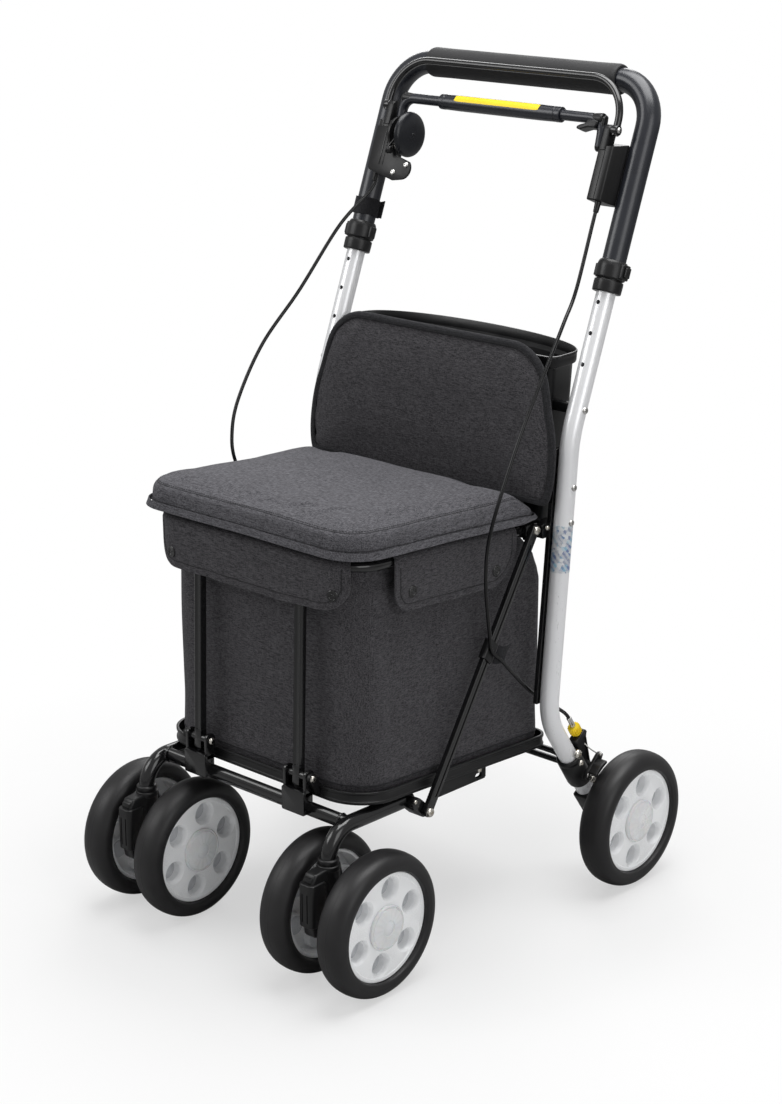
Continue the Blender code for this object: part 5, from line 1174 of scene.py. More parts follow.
def cable_strap():
    """Wide loop of hook-and-loop tape round the right strut, its open mouth flaring towards the rear."""
    toward = (PIVOT - STRUT_FOOT).normalized()
    middle = STRUT_FOOT + toward * 0.190
    side = Vector((-toward.y, toward.x))
    wide, thick, half = 0.006 + 0.0022, 0.0040, 0.0115
    loop = [(u, v) for u, v in rectangle((-wide, STRUT_X - thick - 0.0002), (wide, STRUT_X + thick + 0.0002),
                                         0.0028, 5)]
    rings = []
    for depth, flare in ((-half, 1.10), (-half * 0.9, 1.02), (-0.3 * half, 1.0), (0.3 * half, 1.0),
                         (half * 0.9, 1.04), (half, 1.24)):
        ring = []
        for u, v in loop:
            place = middle + toward * (depth + 0.0012 * math.sin(u * 260)) + side * u * flare
            ring.append(Vector((v, place.x, place.y)))
        rings.append(ring)
    count = len(loop)
    points = [p for ring in rings for p in ring]
    faces = [(r * count + i, r * count + (i + 1) % count, (r + 1) * count + (i + 1) % count, (r + 1) * count + i)
             for r in range(len(rings) - 1) for i in range(count)]
    band = solid("cable_band", points, faces, "bin", 60)
    thicken(band, 0.0011, 1)
    put(band, "front_frame", "cable_strap")
    tongue = []
    for k in range(15):
        t = k / 14
        row = []
        for w in (-1, -0.5, 0, 0.5, 1):
            out, up = -wide - 0.0004 - 0.018 * t, half * (0.95 - 0.10 * t) * w + 0.0075 * t * t
            place = middle + side * out + toward * up
            lift = 0.0008 * math.sin(math.pi * t) + 0.0004 * w * w * t
            row.append(Vector((STRUT_X + thick + 0.0009 + lift - 0.0006 * t, place.x, place.y)))
        tongue.append(row)
    tab = sheet_mesh("cable_band_tab", tongue, "web")
    thicken(tab, 0.0011, 1)
    put(tab, "front_frame")


# Rear frame

# Length of the tube's foot, place of the collar and pitch of the holes up the leg, pivot and inner face of the
# brake arm, the cable's distance behind the tube, and where the inner wire ends.
FOOT_LENGTH = 0.133
COLLAR_LOW = 0.1644
HOLE_PITCH = 0.0355
BRAKE_PIVOT = Vector((REAR_Y - 0.0545, AXLE_Z + 0.0660))
ARM_FACE = 0.2030
CABLE_OUT = 0.0265
WIRE_END = (0.1655, 0.1688)


def tube_path(side):
    x = side * TUBE_X
    foot = ANKLE + FOOT * FOOT_LENGTH
    return filleted([(x, *foot), (x, *ANKLE), (x, *KNEE), on_leg(x, 0.243)], [0.075, 0.150], 28)


def tube_y(z):
    path = tube_path(1)
    for a, b in zip(path, path[1:]):
        if a.z <= z <= b.z:
            return a.y + (b.y - a.y) * (z - a.z) / (b.z - a.z)
    return path[-1].y


def wrap(name, path, radius, first, last, mat):
    """A thin band round a tube between two heights."""
    line = [p for p in even(path, 0.003) if first <= p.z <= last]
    return tube(name, line, radius + 0.00018, mat, sides=40, flat=(1, 0, 0), bore=radius + 0.00003)


def rear_tube(side, word):
    """Bent silver tube with its height holes, band of tape, end plug and bolts."""
    path = tube_path(side)
    pipe = tube(f"pipe_{word}", even(path, 0.005), TUBE_R, "silver", sides=40, flat=(1, 0, 0), bore=TUBE_R - 0.0015)
    cutters = []
    for i in range(3):
        along = COLLAR_LOW - 0.0125 - i * HOLE_PITCH
        start = on_leg(side * TUBE_X, along, 0.004)
        cutters.append(cylinder("height_hole", 0, 0.016, 0.0026, start, (0, *AHEAD), "silver", sides=24))
    boolean(pipe, cutters, sharp=40)
    put(pipe, "rear_frame", f"rear_tube_{word}")
    put(wrap(f"reflective_band_{word}", path, TUBE_R, 0.4055, 0.4610, "tape"), "rear_frame")
    foot = ANKLE + FOOT * (FOOT_LENGTH - 0.0015)
    plug = lathe(f"pipe_plug_{word}", rounded([(-0.006, 0), (-0.006, 0.0093), (0.0010, 0.0093), (0.0018, 0.0080),
                                               (0.0018, 0)], 0.0006), (side * TUBE_X, *foot), (0, *FOOT), "silver",
                 sides=36)
    put(plug, "rear_frame")
    for n, z in ((1, 0.5045), (2, 0.4645)):
        screw(f"pipe_bolt_{word}_{n}", (side * TUBE_FACE, shin_y(z), z), (side, 0, 0.02), 0.0040, "rear_frame",
              "zinc", 0.0024)


def upright(side, word):
    """Flat bar inside the tube with its hinge bracket, the pivot bolt and the back panel's tab."""
    x, low, high, half = side * UPRIGHT_X, ANKLE.y + 0.016, 0.546, 0.008
    outline = [(shin_y(low) - half, low), (shin_y(low) + half, low), (shin_y(high) + half, high),
               (shin_y(high) - half, high)]
    bar = block("flat_bar", outline, x - 0.0031, x + 0.0031, "gloss", edge=0.0010, segments=3)
    inner = STRUT_X - STRUT_HALF - GAP
    back, spacer_front = shin_y(PIVOT_Z) + half, PIVOT.x + 0.009
    plan = [(side * (inner - 0.006), PIVOT.x - 0.009), (side * inner, PIVOT.x - 0.009),
            (side * inner, spacer_front), (side * (UPRIGHT_X - 0.001), spacer_front),
            (side * (UPRIGHT_X - 0.001), back), (side * (inner - 0.006), back)]
    bracket = block("pivot_bracket", plan, 0.444, 0.4615, "gloss", place=up_place, edge=0.0012)
    rear = BACK_Y + 0.008
    tab = [(rear + BACK_SLOPE * (z - BACK_LOW), z) for z in (0.506, high - 0.004)]
    tab += [(shin_y(z), z) for z in (high - 0.004, 0.506)]
    near, far = sorted((side * 0.150, x))
    tab_plate = block("back_tab", tab, near, far, "gloss", edge=0.0008)
    put(merge(f"inner_bar_{word}", [bar, bracket, tab_plate]), "rear_frame", f"upright_{word}")
    pin = cylinder(f"pivot_pin_{word}", 0, 0.0198, 0.003, (side * 0.1512, *PIVOT), (side, 0, 0), "zinc", sides=24)
    put(pin, "rear_frame")
    screw(f"pivot_head_{word}", (side * (STRUT_X + 0.0035), *PIVOT), (side, 0, 0), 0.0052, "rear_frame", "nickel",
          0.0034)
    screw(f"bracket_head_{word}", (side * (UPRIGHT_X + 0.0030), PIVOT.x + 0.012, PIVOT.y + 0.0015), (side, 0, 0),
          0.0030, "rear_frame", "nickel", 0.0018, "hex")
    for n, z in enumerate((0.272, 0.352, 0.430)):
        screw(f"bar_rivet_{word}_{n}", (side * (UPRIGHT_X - 0.0030), shin_y(z), z), (-side, 0, 0), 0.0032,
              "rear_frame", "zinc", 0.0014, "hex")


def beside(along, out):
    """A point beside the tube's foot, seen from the side."""
    return foot_point(0, along, out).yz


def axle_fitting(side, word):
    """Moulded sleeve on the tube's foot with the cable arm, the axle block, rivets and the stub axle."""
    x, clear = side * TUBE_X, TUBE_R + 0.0004
    start, length = FOOT_LENGTH - 0.062, 0.044
    profile = [(0, clear), (0, 0.0138), (0.0012, 0.0147), (0.0040, 0.0150), (0.0052, 0.0145), (0.0070, 0.0144),
               (0.0082, 0.0150), (length - 0.0050, 0.0150), (length - 0.0040, 0.0144), (length - 0.0012, 0.0143),
               (length, 0.0136), (length, clear)]
    sleeve = lathe("sleeve", profile, foot_point(x, start), (0, *FOOT), "plastic", sides=56)
    arm = [beside(start + length - 0.004, clear + 0.0017), beside(start + 0.004, clear + 0.0012),
           beside(start - 0.004, clear + 0.0037),
           beside(0.0615, clear + 0.0032), beside(0.0615, 0.0345), beside(0.0632, 0.0362), beside(0.0670, 0.0370),
           beside(0.0690, 0.0345), beside(0.0800, 0.0262), beside(start + length - 0.006, 0.021)]
    arm = block("cable_arm", arm, x - 0.006, x + 0.006, "plastic", edge=0.0014, segments=3)
    ridge = [beside(0.0690, 0.0300), beside(0.0705, 0.0310), beside(0.1010, 0.0205), beside(0.1000, 0.0180)]
    ridge = block("arm_ridge", ridge, *sorted((x + side * 0.0050, x + side * 0.0074)), "plastic", edge=0.0006)
    back = [beside(start + length - 0.006, clear + 0.0022), beside(FOOT_LENGTH + 0.012, clear + 0.0022),
            beside(FOOT_LENGTH + 0.012, 0.020), beside(start + length - 0.006, 0.020)]
    back = block("fitting_back", back, x - 0.009, x + 0.009, "plastic", edge=0.0016, segments=3)
    axle = Vector((REAR_Y, AXLE_Z))
    lump = [beside(FOOT_LENGTH + 0.0005, -clear - 0.0022), beside(FOOT_LENGTH + 0.0005, 0.020),
            axle + Vector((0.0125, 0.008)),
            axle + Vector((0.0140, -0.002)), axle + Vector((0.0095, -0.0105)), axle + Vector((-0.001, -0.0135)),
            axle + Vector((-0.010, -0.0110)), axle + Vector((-0.022, -0.004))]
    lump = block("axle_block", lump, *mirrored(side, TUBE_X - 0.010, TUBE_X + 0.012), "plastic", edge=0.0022,
                 segments=3)
    boss = soft_ring("arm_boss", 0, ARM_FACE - TUBE_X - 0.008, 0, 0.0065, 0.0006, (x + side * 0.008, *BRAKE_PIVOT),
                     (side, 0, 0), "plastic", sides=36)
    hub_boss = lathe("axle_boss", rounded([(0, 0), (0, 0.0108), (0.0030, 0.0100), (0.0030, 0)], 0.0006),
                     (side * (TUBE_X + 0.0118), *axle), (side, 0, 0), "plastic", sides=40)
    put(merge(f"fitting_{word}", [sleeve, arm, ridge, back, lump, boss, hub_boss]), "rear_frame",
        f"axle_fitting_{word}")
    stub = cylinder(f"stub_axle_{word}", 0, REAR_X + HUB_HALF - 0.0012 - TUBE_X, 0.004, (x, *axle), (side, 0, 0),
                    "zinc", sides=28)
    put(stub, "rear_frame")
    screw(f"arm_pivot_{word}", (side * (ARM_FACE + 0.0046), *BRAKE_PIVOT), (side, 0, 0), 0.0044, "rear_frame",
          "zinc", 0.0008, "hex")
    screw(f"fitting_screw_{word}", (side * 0.2026, 0.1290, 0.1795), (side, 0, 0), 0.0056, "rear_frame", "nickel",
          0.0034)
    for n, (y, z) in enumerate(((0.1362, 0.1656), (0.1600, 0.1375))):
        screw(f"fitting_rivet_{word}_{n}", (side * 0.2022, y, z), (side, 0, 0), 0.0040, "rear_frame", "nickel",
              0.0022, "hex")
    guard = [(0, 0.0), (0, 0.0031), (0.0012, 0.0034), (0.0048, 0.0034), (0.0060, 0.0026), (0.0060, 0.0)]
    ferrule = lathe(f"ferrule_{word}", rounded(guard, 0.0004), foot_point(x, 0.0432, CABLE_OUT), (0, *FOOT), "zinc",
                    sides=28)
    put(ferrule, "rear_frame")


def cable_adjuster(side, word):
    """Thumb knob with fine ribs, a plain neck and the inner wire coming out of it."""
    x, start = side * TUBE_X, 0.0470
    ribs, rings = 18, []
    for depth, grow in ((0, 0.82), (0.0008, 0.96), (0.0016, 1.0), (0.0100, 1.0), (0.0108, 0.96), (0.0114, 0.84)):
        ring = []
        for k in range(ribs * 6):
            t = 2 * math.pi * k / (ribs * 6)
            radius = (0.0068 + 0.0008 * max(-0.6, math.cos(ribs * t))) * grow
            ring.append(foot_point(x + radius * math.cos(t), start + depth, CABLE_OUT + radius * math.sin(t)))
        rings.append(ring)
    knob = loft("knob", rings, "yellow", sharp=50)
    neck = soft_ring("knob_neck", 0.0112, 0.0142, 0, 0.0046, 0.0004, foot_point(x, start, CABLE_OUT), (0, *FOOT),
                     "yellow", sides=36)
    put(merge(f"thumb_knob_{word}", [knob, neck]), f"cable_adjuster_{word}", f"cable_adjuster_{word}")
    wire = [foot_point(x, start + 0.012, CABLE_OUT), foot_point(x + side * 0.0020, start + 0.024, 0.0262),
            foot_point(x + side * 0.0100, start + 0.036, 0.0250),
            Vector((side * 0.2050, *WIRE_END))]
    put(tube(f"inner_wire_{word}", smooth_curve(wire, 0.002), 0.0008, "zinc", sides=12), "rear_frame")


def brake_arm(side, word):
    """Curved brake lever with its shoe over the tyre and the wire's clamp."""
    turn, reach = math.radians(115), WHEEL_R + 0.0043
    out = Vector((math.cos(turn), math.sin(turn)))
    along = Vector((math.sin(turn), -math.cos(turn)))
    axle = Vector((REAR_Y, AXLE_Z))
    under = axle + out * reach
    tip = under + out * 0.0035 + along * 0.004
    near, far = ARM_FACE + GAP, ARM_FACE + 0.0048
    bend = (BRAKE_PIVOT + tip) / 2 + Vector((-(tip - BRAKE_PIVOT).y, (tip - BRAKE_PIVOT).x)).normalized() * 0.0022
    middle = [BRAKE_PIVOT * (1 - t) ** 2 + bend * 2 * t * (1 - t) + tip * t * t
              for t in (k / 12 for k in range(13))]
    upper, lower = [], []
    for k, p in enumerate(middle):
        way = (middle[min(12, k + 1)] - middle[max(0, k - 1)]).normalized()
        normal = Vector((-way.y, way.x)) * (0.0055 - 0.0012 * math.sin(math.pi * k / 12))
        upper.append(p + normal)
        lower.append(p - normal)
    way = (middle[-1] - middle[-2]).normalized()
    first = (middle[1] - middle[0]).normalized()

    def round_end(center, toward):
        turns = [math.radians(a) for a in (30, 60, 90, 120, 150)]
        return [center + (Vector((-toward.y, toward.x)) * math.cos(t) + toward * math.sin(t)) * 0.0055
                for t in turns]

    outline = upper + round_end(tip, way) + lower[::-1] + round_end(BRAKE_PIVOT, -first)
    lever = block("lever", outline, *mirrored(side, near, far), "plastic", edge=0.0008)
    hole = cylinder("arm_hole", -0.01, 0.01, 0.0029, (side * ARM_FACE, *BRAKE_PIVOT), (1, 0, 0), "plastic",
                    sides=28)
    boolean(lever, [hole])
    low, high = [], []
    for k in range(13):
        t = turn + math.radians(14 - 15 * k / 12)
        ray = Vector((math.cos(t), math.sin(t)))
        low.append(axle + ray * (reach + 0.0001))
        high.append(axle + ray * (reach + 0.0052 - 0.0014 * abs(k - 6) / 6))
    shoe = block("shoe", low + high[::-1], *mirrored(side, far - 0.0013, REAR_X - 0.0090), "plastic", edge=0.0009,
                 segments=3)
    put(merge(f"brake_lever_{word}", [lever, shoe]), f"brake_arm_{word}", f"brake_arm_{word}")
    clamp = soft_ring(f"wire_clamp_{word}", 0, 0.0030, 0, 0.0024, 0.0004, (side * (far - 0.0004), *WIRE_END),
                      (side, 0, 0), "zinc", sides=24)
    put(clamp, f"brake_arm_{word}")


def rear_stay():
    """Two cross rods between the tube feet, joined at their ends."""
    upper, lower = Vector((REAR_Y - 0.062, AXLE_Z + 0.0860)), Vector((REAR_Y - 0.047, AXLE_Z + 0.0680))
    radius = 0.0038
    reach = TUBE_X - 0.0150 - GAP - radius
    corners = [Vector(c) for c in ((-reach, *upper), (reach, *upper), (reach, *lower), (-reach, *lower))]
    path = []
    for before, here, after in zip([corners[-1]] + corners[:-1], corners, corners[1:] + corners[:1]):
        path += filleted([before, here, after], [0.010], 10)[1:-1]
    parts = [tube("stay", even(path, 0.004, True), radius, "gloss", sides=24, closed=True,
                  flat=RIGHT.cross(corners[1] - corners[2]))]
    for side in (1, -1):
        middle = (upper + lower) / 2
        near, far = mirrored(side, reach - 0.006, reach + radius)
        parts.append(block("stay_tongue",
                           rectangle((middle.x - 0.005, middle.y - 0.006), (middle.x + 0.005, middle.y + 0.006),
                                     0.0016, 4), near, far, "gloss", edge=0.0006))
    put(merge("stay_rods", parts), "rear_frame", "rear_stay")


# Seat and back panel

SEAT_HALF, SEAT_FRONT, SEAT_BACK, SEAT_THICK = 0.168, FRONT_Y - 0.016, 0.0942, 0.0400
SEAT_BEND = 0.0777


def seat_tail(y):
    """0 over the seat, rising to 1 at its thin rear end."""
    return min(1.0, max(0.0, (y - SEAT_BEND + 0.0160) / 0.0325))


def seat_low(y):
    return ring_z(y) + RING_R + 0.0009 + 0.006 + 0.0045 * seat_tail(y)


def seat_loop(inset, count):
    """The seat's outline, its sides drawn in between the corners."""
    middle, reach = (SEAT_FRONT + SEAT_BACK) / 2, (SEAT_BACK - SEAT_FRONT) / 2
    points = loop_points(SEAT_HALF - inset, SEAT_FRONT + inset, SEAT_BACK - inset, max(0.045 - inset, 0.010),
                         max(0.014 - inset, 0.004), count)
    out = []
    for p in points:
        along = 1 - min(1.0, abs(p.y - middle) / reach)
        across = 1 - min(1.0, abs(p.x) / SEAT_HALF)
        u = p.x - math.copysign(0.0035 * along * (abs(p.x) / SEAT_HALF) ** 4, p.x)
        v = p.y - math.copysign(0.0035 * across * (abs(p.y - middle) / reach) ** 4, p.y - middle)
        out.append(Vector((u, v)))
    return out


def seat_height(y, share):
    return seat_low(y) + share * SEAT_THICK * (1 - 0.78 * seat_tail(y))


CLOTH_FRAMES = 20


def plump(piece, voxel, pressure, cap_at, held):
    """Swells a padded form by cloth simulation: held points stay, the rest moves at most cap_at(point)."""
    step = piece.modifiers.new("remesh", "REMESH")
    step.mode, step.voxel_size = "VOXEL", voxel
    apply_all(piece)
    start = [v.co.copy() for v in piece.data.vertices]
    pins = piece.vertex_groups.new(name="held")
    pins.add([i for i, p in enumerate(start) if held(p)], 1.0, "REPLACE")
    cloth = piece.modifiers.new("cloth", "CLOTH")
    cloth.settings.quality = 6
    cloth.settings.mass = 0.25
    cloth.settings.tension_stiffness = 18
    cloth.settings.compression_stiffness = 12
    cloth.settings.shear_stiffness = 6
    cloth.settings.bending_stiffness = 0.6
    cloth.settings.use_pressure = True
    cloth.settings.uniform_pressure_force = pressure
    cloth.settings.vertex_group_mass = "held"
    cloth.settings.effector_weights.gravity = 0
    cloth.collision_settings.use_collision = False
    cloth.collision_settings.use_self_collision = False
    scene = bpy.context.scene
    for count in range(1, CLOTH_FRAMES + 1):
        scene.frame_set(count)
    apply_all(piece)
    scene.frame_set(1)
    piece.vertex_groups.clear()
    for v, rest in zip(piece.data.vertices, start):
        move = v.co - rest
        limit = cap_at(rest)
        if move.length > limit:
            v.co = rest + move.normalized() * limit
    smoother = piece.modifiers.new("smooth", "SMOOTH")
    smoother.factor, smoother.iterations = 0.5, 3
    step = piece.modifiers.new("fine", "SUBSURF")
    step.levels = step.render_levels = 1
    return apply_all(piece, 70)


def near_surface(piece):
    return BVHTree.FromObject(piece, bpy.context.evaluated_depsgraph_get())


def on_surface(tree, point, lift=0.0):
    place, normal, _, _ = tree.find_nearest(Vector(point))
    return place + normal * lift


def press_line(piece, line, width, depth):
    """Presses a sewn channel into a surface along a line."""
    line_tree = KDTree(len(line))
    for i, p in enumerate(line):
        line_tree.insert(p, i)
    line_tree.balance()
    normals = [v.normal.copy() for v in piece.data.vertices]
    for v, normal in zip(piece.data.vertices, normals):
        _, _, gap = line_tree.find(v.co)
        if gap < width * 3:
            v.co -= normal * depth * math.exp(-(gap / width) ** 2)


def seat():
    """Crowned cushion with a boxed edge, a flared hem and sewn seams."""
    count, shrink = 240, 0.0020
    side = [(0.0, 0.10), (0.0, 0.26), (0.0004, 0.45), (0.0016, 0.60), (0.0050, 0.71), (0.0100, 0.775),
            (0.020, 0.83), (0.035, 0.875), (0.055, 0.915), (0.080, 0.945), (0.110, 0.965), (0.135, 0.97)]
    rings = []
    for inset in (0.135, 0.080, 0.030, 0.006):
        rings.append([Vector((p.x, p.y, seat_height(p.y, 0.02))) for p in seat_loop(inset + shrink, count)])
    for inset, share in side:
        rings.append([Vector((p.x, p.y, seat_height(p.y, share))) for p in seat_loop(inset + shrink, count)])
    pad = loft("seat_pad", rings, "seat", sharp=70)

    def cap_at(p):
        middle = max(0.0, 1 - (abs(p.x) / 0.15) ** 2) * max(0.0, 1 - ((p.y + 0.06) / 0.15) ** 2)
        return (0.0026 + 0.0012 * middle) * (1 - 0.85 * seat_tail(p.y)) + 0.0002

    plump(pad, 0.0042, 4.0, cap_at, lambda p: p.z < seat_height(p.y, 0.09))
    for v in pad.data.vertices:
        p = v.co
        if p.z > seat_height(p.y, 0.6):
            soft = uneven(p.x * 11, p.y * 11, 2) * 0.0011 + uneven(p.x * 30, p.y * 24, 5) * 0.0004
            for x, y, turn, length, width, depth in WRINKLES:
                way = Vector((math.cos(turn), math.sin(turn)))
                rel = Vector((p.x - x, p.y - y))
                along, across = rel.dot(way), rel.dot(Vector((-way.y, way.x)))
                across += 3.0 * along * along
                soft -= depth * math.exp(-(along / length) ** 2 - (across / width) ** 2)
                soft += 0.5 * depth * math.exp(-(along / length) ** 2 - ((across - 1.7 * width) / width) ** 2)
            p.z += soft * (1 - seat_tail(p.y))
    tree = near_surface(pad)
    top = [on_surface(tree, (p.x, p.y, seat_height(p.y, 0.755))) for p in seat_loop(0.0080, 420)]
    low = [on_surface(tree, (p.x, p.y, seat_height(p.y, 0.23))) for p in seat_loop(0.0006, 420)]
    press_line(pad, top, 0.0015, 0.0005)
    press_line(pad, low, 0.0016, 0.0008)
    put(pad, "seat", "seat_cushion")
    tree = near_surface(pad)
    # Thin dark tubes in the pressed seam channels: painted shade in the seams.
    for name, line in (("top", top), ("low", low)):
        line = [on_surface(tree, p, 0.0001) for p in line]
        put(tube(f"seat_seam_shade_{name}", even(line, 0.003, True), 0.00030, "shade", sides=6, closed=True), "seat")
    inner = [on_surface(tree, (p.x, p.y, seat_height(p.y, 0.77)), 0.0002) for p in seat_loop(0.0105, 420)]
    put(stitches("seat_stitches", inner + inner[:1], 0.0034), "seat")
    flare = []
    for p in seat_loop(0.0, 300):
        tail = 1 - 0.6 * seat_tail(p.y)
        out = Vector((p.x, p.y + 0.06)).normalized()
        base = Vector((p.x, p.y, seat_low(p.y)))
        wave = 0.0007 * uneven(p.x * 22, p.y * 22, 9)
        ring = []
        for u, v in ((-0.0012, 0.0078), (-0.0002, 0.0079), (0.0004, 0.0060), (0.0011, 0.0035), (0.0021, 0.0014),
                     (0.0023, 0.0006), (0.0017, 0.0001), (0.0009, 0.0004), (-0.0002, 0.0025), (-0.0012, 0.0050)):
            ring.append(base + Vector((out.x, out.y, 0)) * (u + wave * (1 - v / 0.008)) + UP * (v * tail))
        flare.append(ring)
    put(loft("seat_hem", flare, "seat", closed=True, sharp=60), "seat")
    put(frame_board(), "seat", "seat_board")


# Wrinkles of the seat: x, y, direction, length, width and depth.
WRINKLES = ((0.060, -0.178, 0.5, 0.020, 0.0045, 0.0016), (0.098, -0.168, 0.9, 0.018, 0.0045, 0.0014),
            (-0.110, -0.172, 2.6, 0.022, 0.0050, 0.0010), (0.020, -0.186, 0.15, 0.026, 0.0045, 0.0009))


def frame_board():
    """Moulded board under the cushion."""
    outline = rectangle((-SEAT_HALF + 0.016, SEAT_FRONT + 0.024), (SEAT_HALF - 0.016, SEAT_BEND - 0.008),
                        (0.03, 0.03, 0.008, 0.008), 10)
    return block("seat_base", outline, RING_R + GAP, RING_R + GAP + 0.006, "plastic",
                 place=lambda d, u, v: (u, v, ring_z(v) + d), edge=0.0014, segments=3)


BACK_HALF, BACK_LOW, BACK_HIGH, BACK_THICK = 0.180, 0.484, 0.660, 0.016
BACK_SLOPE = math.tan(math.radians(6))


def back_loop(inset):
    """Outline of the back panel: wide below, with large round shoulders."""
    low, high, half, corner = BACK_LOW + inset, BACK_HIGH - inset, BACK_HALF - inset, max(0.056 - inset, 0.012)
    top = [(half - 0.0118 - corner + corner * math.cos(t), high - corner + corner * math.sin(t))
           for t in (math.radians(15 * i) for i in range(1, 7))]
    right = [(half + 0.0015, low + 0.007), (half + 0.0052, low + 0.030), (half + 0.0045, low + 0.058),
             (half + 0.0008, low + 0.082), (half - 0.0062, low + 0.106)]
    knots = [(0.085, low), (0.160, low), (half - 0.005, low + 0.0008)] + right + top + [(0.060, high)]
    knots = knots + [(-x, z) for x, z in reversed(knots)]
    return smooth_curve([Vector((x, z)) for x, z in knots], 0.005, True)


def back_point(p, depth):
    """A point of the panel's plane, depth metres in front of its middle."""
    return Vector((p.x, BACK_Y + BACK_SLOPE * (p.y - BACK_LOW) - depth, p.y))


def same_count(points, count):
    length = sum((b - a).length for a, b in zip(points, points[1:] + points[:1]))
    return even(points, length / count, True)


def backrest():
    """Padded back panel with its bound edge and two rows of stitches."""
    count, shrink = 200, 0.0015
    half = BACK_THICK / 2
    shares = [(0.0, 0.16), (0.0050, 0.20), (0.0090, 0.40), (0.0180, 0.66), (0.034, 0.82), (0.056, 0.90)]
    rings = [[back_point(p, -half * s) for p in same_count(back_loop(i + shrink), count)] for i,
             s in reversed(shares)]
    rings += [[back_point(p, half * s) for p in same_count(back_loop(i + shrink), count)] for i, s in shares]
    pad = loft("back_pad", rings, "cloth", sharp=70)

    def held(p):
        inner = min(BACK_HALF - abs(p.x), p.z - BACK_LOW, BACK_HIGH - p.z)
        return inner < 0.0075

    plump(pad, 0.0036, 3.0, lambda p: 0.0020, held)
    for v in pad.data.vertices:
        p = v.co
        front = 1 if p.y < BACK_Y + BACK_SLOPE * (p.z - BACK_LOW) else -1
        edge = smooth(min(BACK_HALF - abs(p.x), p.z - BACK_LOW, BACK_HIGH - p.z) / 0.03)
        p.y -= front * edge * (uneven(p.x * 13, front,
                                      p.z * 13) * 0.0009 + uneven(p.x * 34, front, p.z * 20) * 0.0003)
    put(pad, "rear_frame", "backrest")
    outline = same_count(back_loop(0.0), 320)
    rings = []
    for i, p in enumerate(outline):
        way = (outline[(i + 1) % 320] - outline[i - 1]).normalized()
        out = Vector((way.y, -way.x))
        if out.dot(p - Vector((0, 0.575))) < 0:
            out = -out
        ring = []
        for u, depth in ((-0.0074, 0.0029), (-0.0066, 0.0034), (-0.0030, 0.0032), (-0.0005, 0.0024),
                         (0.0003, 0.0008), (0.0003, -0.0008), (-0.0005, -0.0024), (-0.0030, -0.0032),
                         (-0.0066, -0.0034), (-0.0074, -0.0029), (-0.0060, -0.0010), (-0.0060, 0.0010)):
            ring.append(back_point(p + out * u, depth * 1.04))
        rings.append(ring)
    put(loft("back_binding", rings, "binding", closed=True, sharp=50), "rear_frame")
    for face, word in ((1, "front"), (-1, "rear")):
        line = [back_point(p, face * 0.0037) for p in same_count(back_loop(0.0058), 320)]
        put(stitches(f"back_stitches_{word}", line + line[:1], 0.0034), "rear_frame")


# Rear bin

EAR_Z = 0.590


def bin_loop(half, front, rear, z):
    """Outline of the bin at a height: flat in front, round behind."""
    points = [(-half + 0.012, front), (half - 0.012, front)] + arc((half - 0.012, front + 0.012), 0.012, -75, 0, 6)
    for i in range(1, 44):
        turn = math.pi * i / 44
        points.append((half * math.cos(turn), front + 0.030 + (rear - front - 0.030) * math.sin(turn) ** 0.8))
    points += [(-x, y) for x, y in reversed(arc((half - 0.012, front + 0.012), 0.012, -75, 0, 6))]
    return [Vector((u, v, z)) for u, v in points]


def rear_bin():
    """Moulded bin: tapering walls, a flat band and rolled lip at the rim, ears on the tubes."""
    front = BACK_Y + 0.008 + BACK_SLOPE * (0.646 - BACK_LOW) + 0.003
    rear, top, low, half = front + 0.092, 0.646, 0.436, 0.1625
    outer = [(-0.0200, -0.0560, low + 0.0010), (-0.0162, -0.0505, low), (-0.0150, -0.0480, low + 0.0035)]
    for i in range(1, 9):
        t = i / 8
        bow = 0.0016 * math.sin(math.pi * t)
        outer.append((-0.0150 + 0.0105 * t + bow, -0.0480 + 0.0400 * t + 1.5 * bow,
                      low + 0.0035 + (top - 0.0150 - low - 0.0035) * t))
    outer += [(-0.0040, -0.0065, top - 0.0141), (-0.0012, -0.0026, top - 0.0131), (-0.0006, -0.0018, top - 0.0118),
              (-0.0004, -0.0010, top - 0.0060), (-0.0004, -0.0008, top - 0.0036), (0.0000, 0.0000, top - 0.0028),
              (0.0000, 0.0, top - 0.0008), (-0.0006, -0.0006, top)]
    inner = [(-0.0022, -0.0022, top), (-0.0030, -0.0030, top - 0.0010), (-0.0034, -0.0040, top - 0.0110),
             (-0.0070, -0.0095, top - 0.0150), (-0.0130, -0.0310, top - 0.1200), (-0.0177, -0.0505, low + 0.0040),
             (-0.0200, -0.0560, low + 0.0026)]
    rings = [bin_loop(half + a, front, rear + b, z) for a, b, z in outer]
    rings += [bin_loop(half + a, front + 0.0025, rear + b, z) for a, b, z in inner]
    parts = [loft("bin_shell", rings, "bin", sharp=40)]
    y = tube_y(EAR_Z)
    for side in (1, -1):
        near, far = mirrored(side, half - 0.014, TUBE_X - TUBE_R - GAP)
        parts.append(block("bin_ear", rectangle((y - 0.004, EAR_Z - 0.006), (y + 0.004, EAR_Z + 0.006), 0.0022, 4),
                           near, far, "bin", edge=0.0010))
    put(merge("bin", parts, 40), "rear_frame", "rear_bin")
    for side, word in SIDES:
        screw(f"bin_bolt_{word}", (side * TUBE_FACE, y, EAR_Z), (side, 0, 0), 0.0042, "rear_frame", "zinc", 0.0026)


# Handle

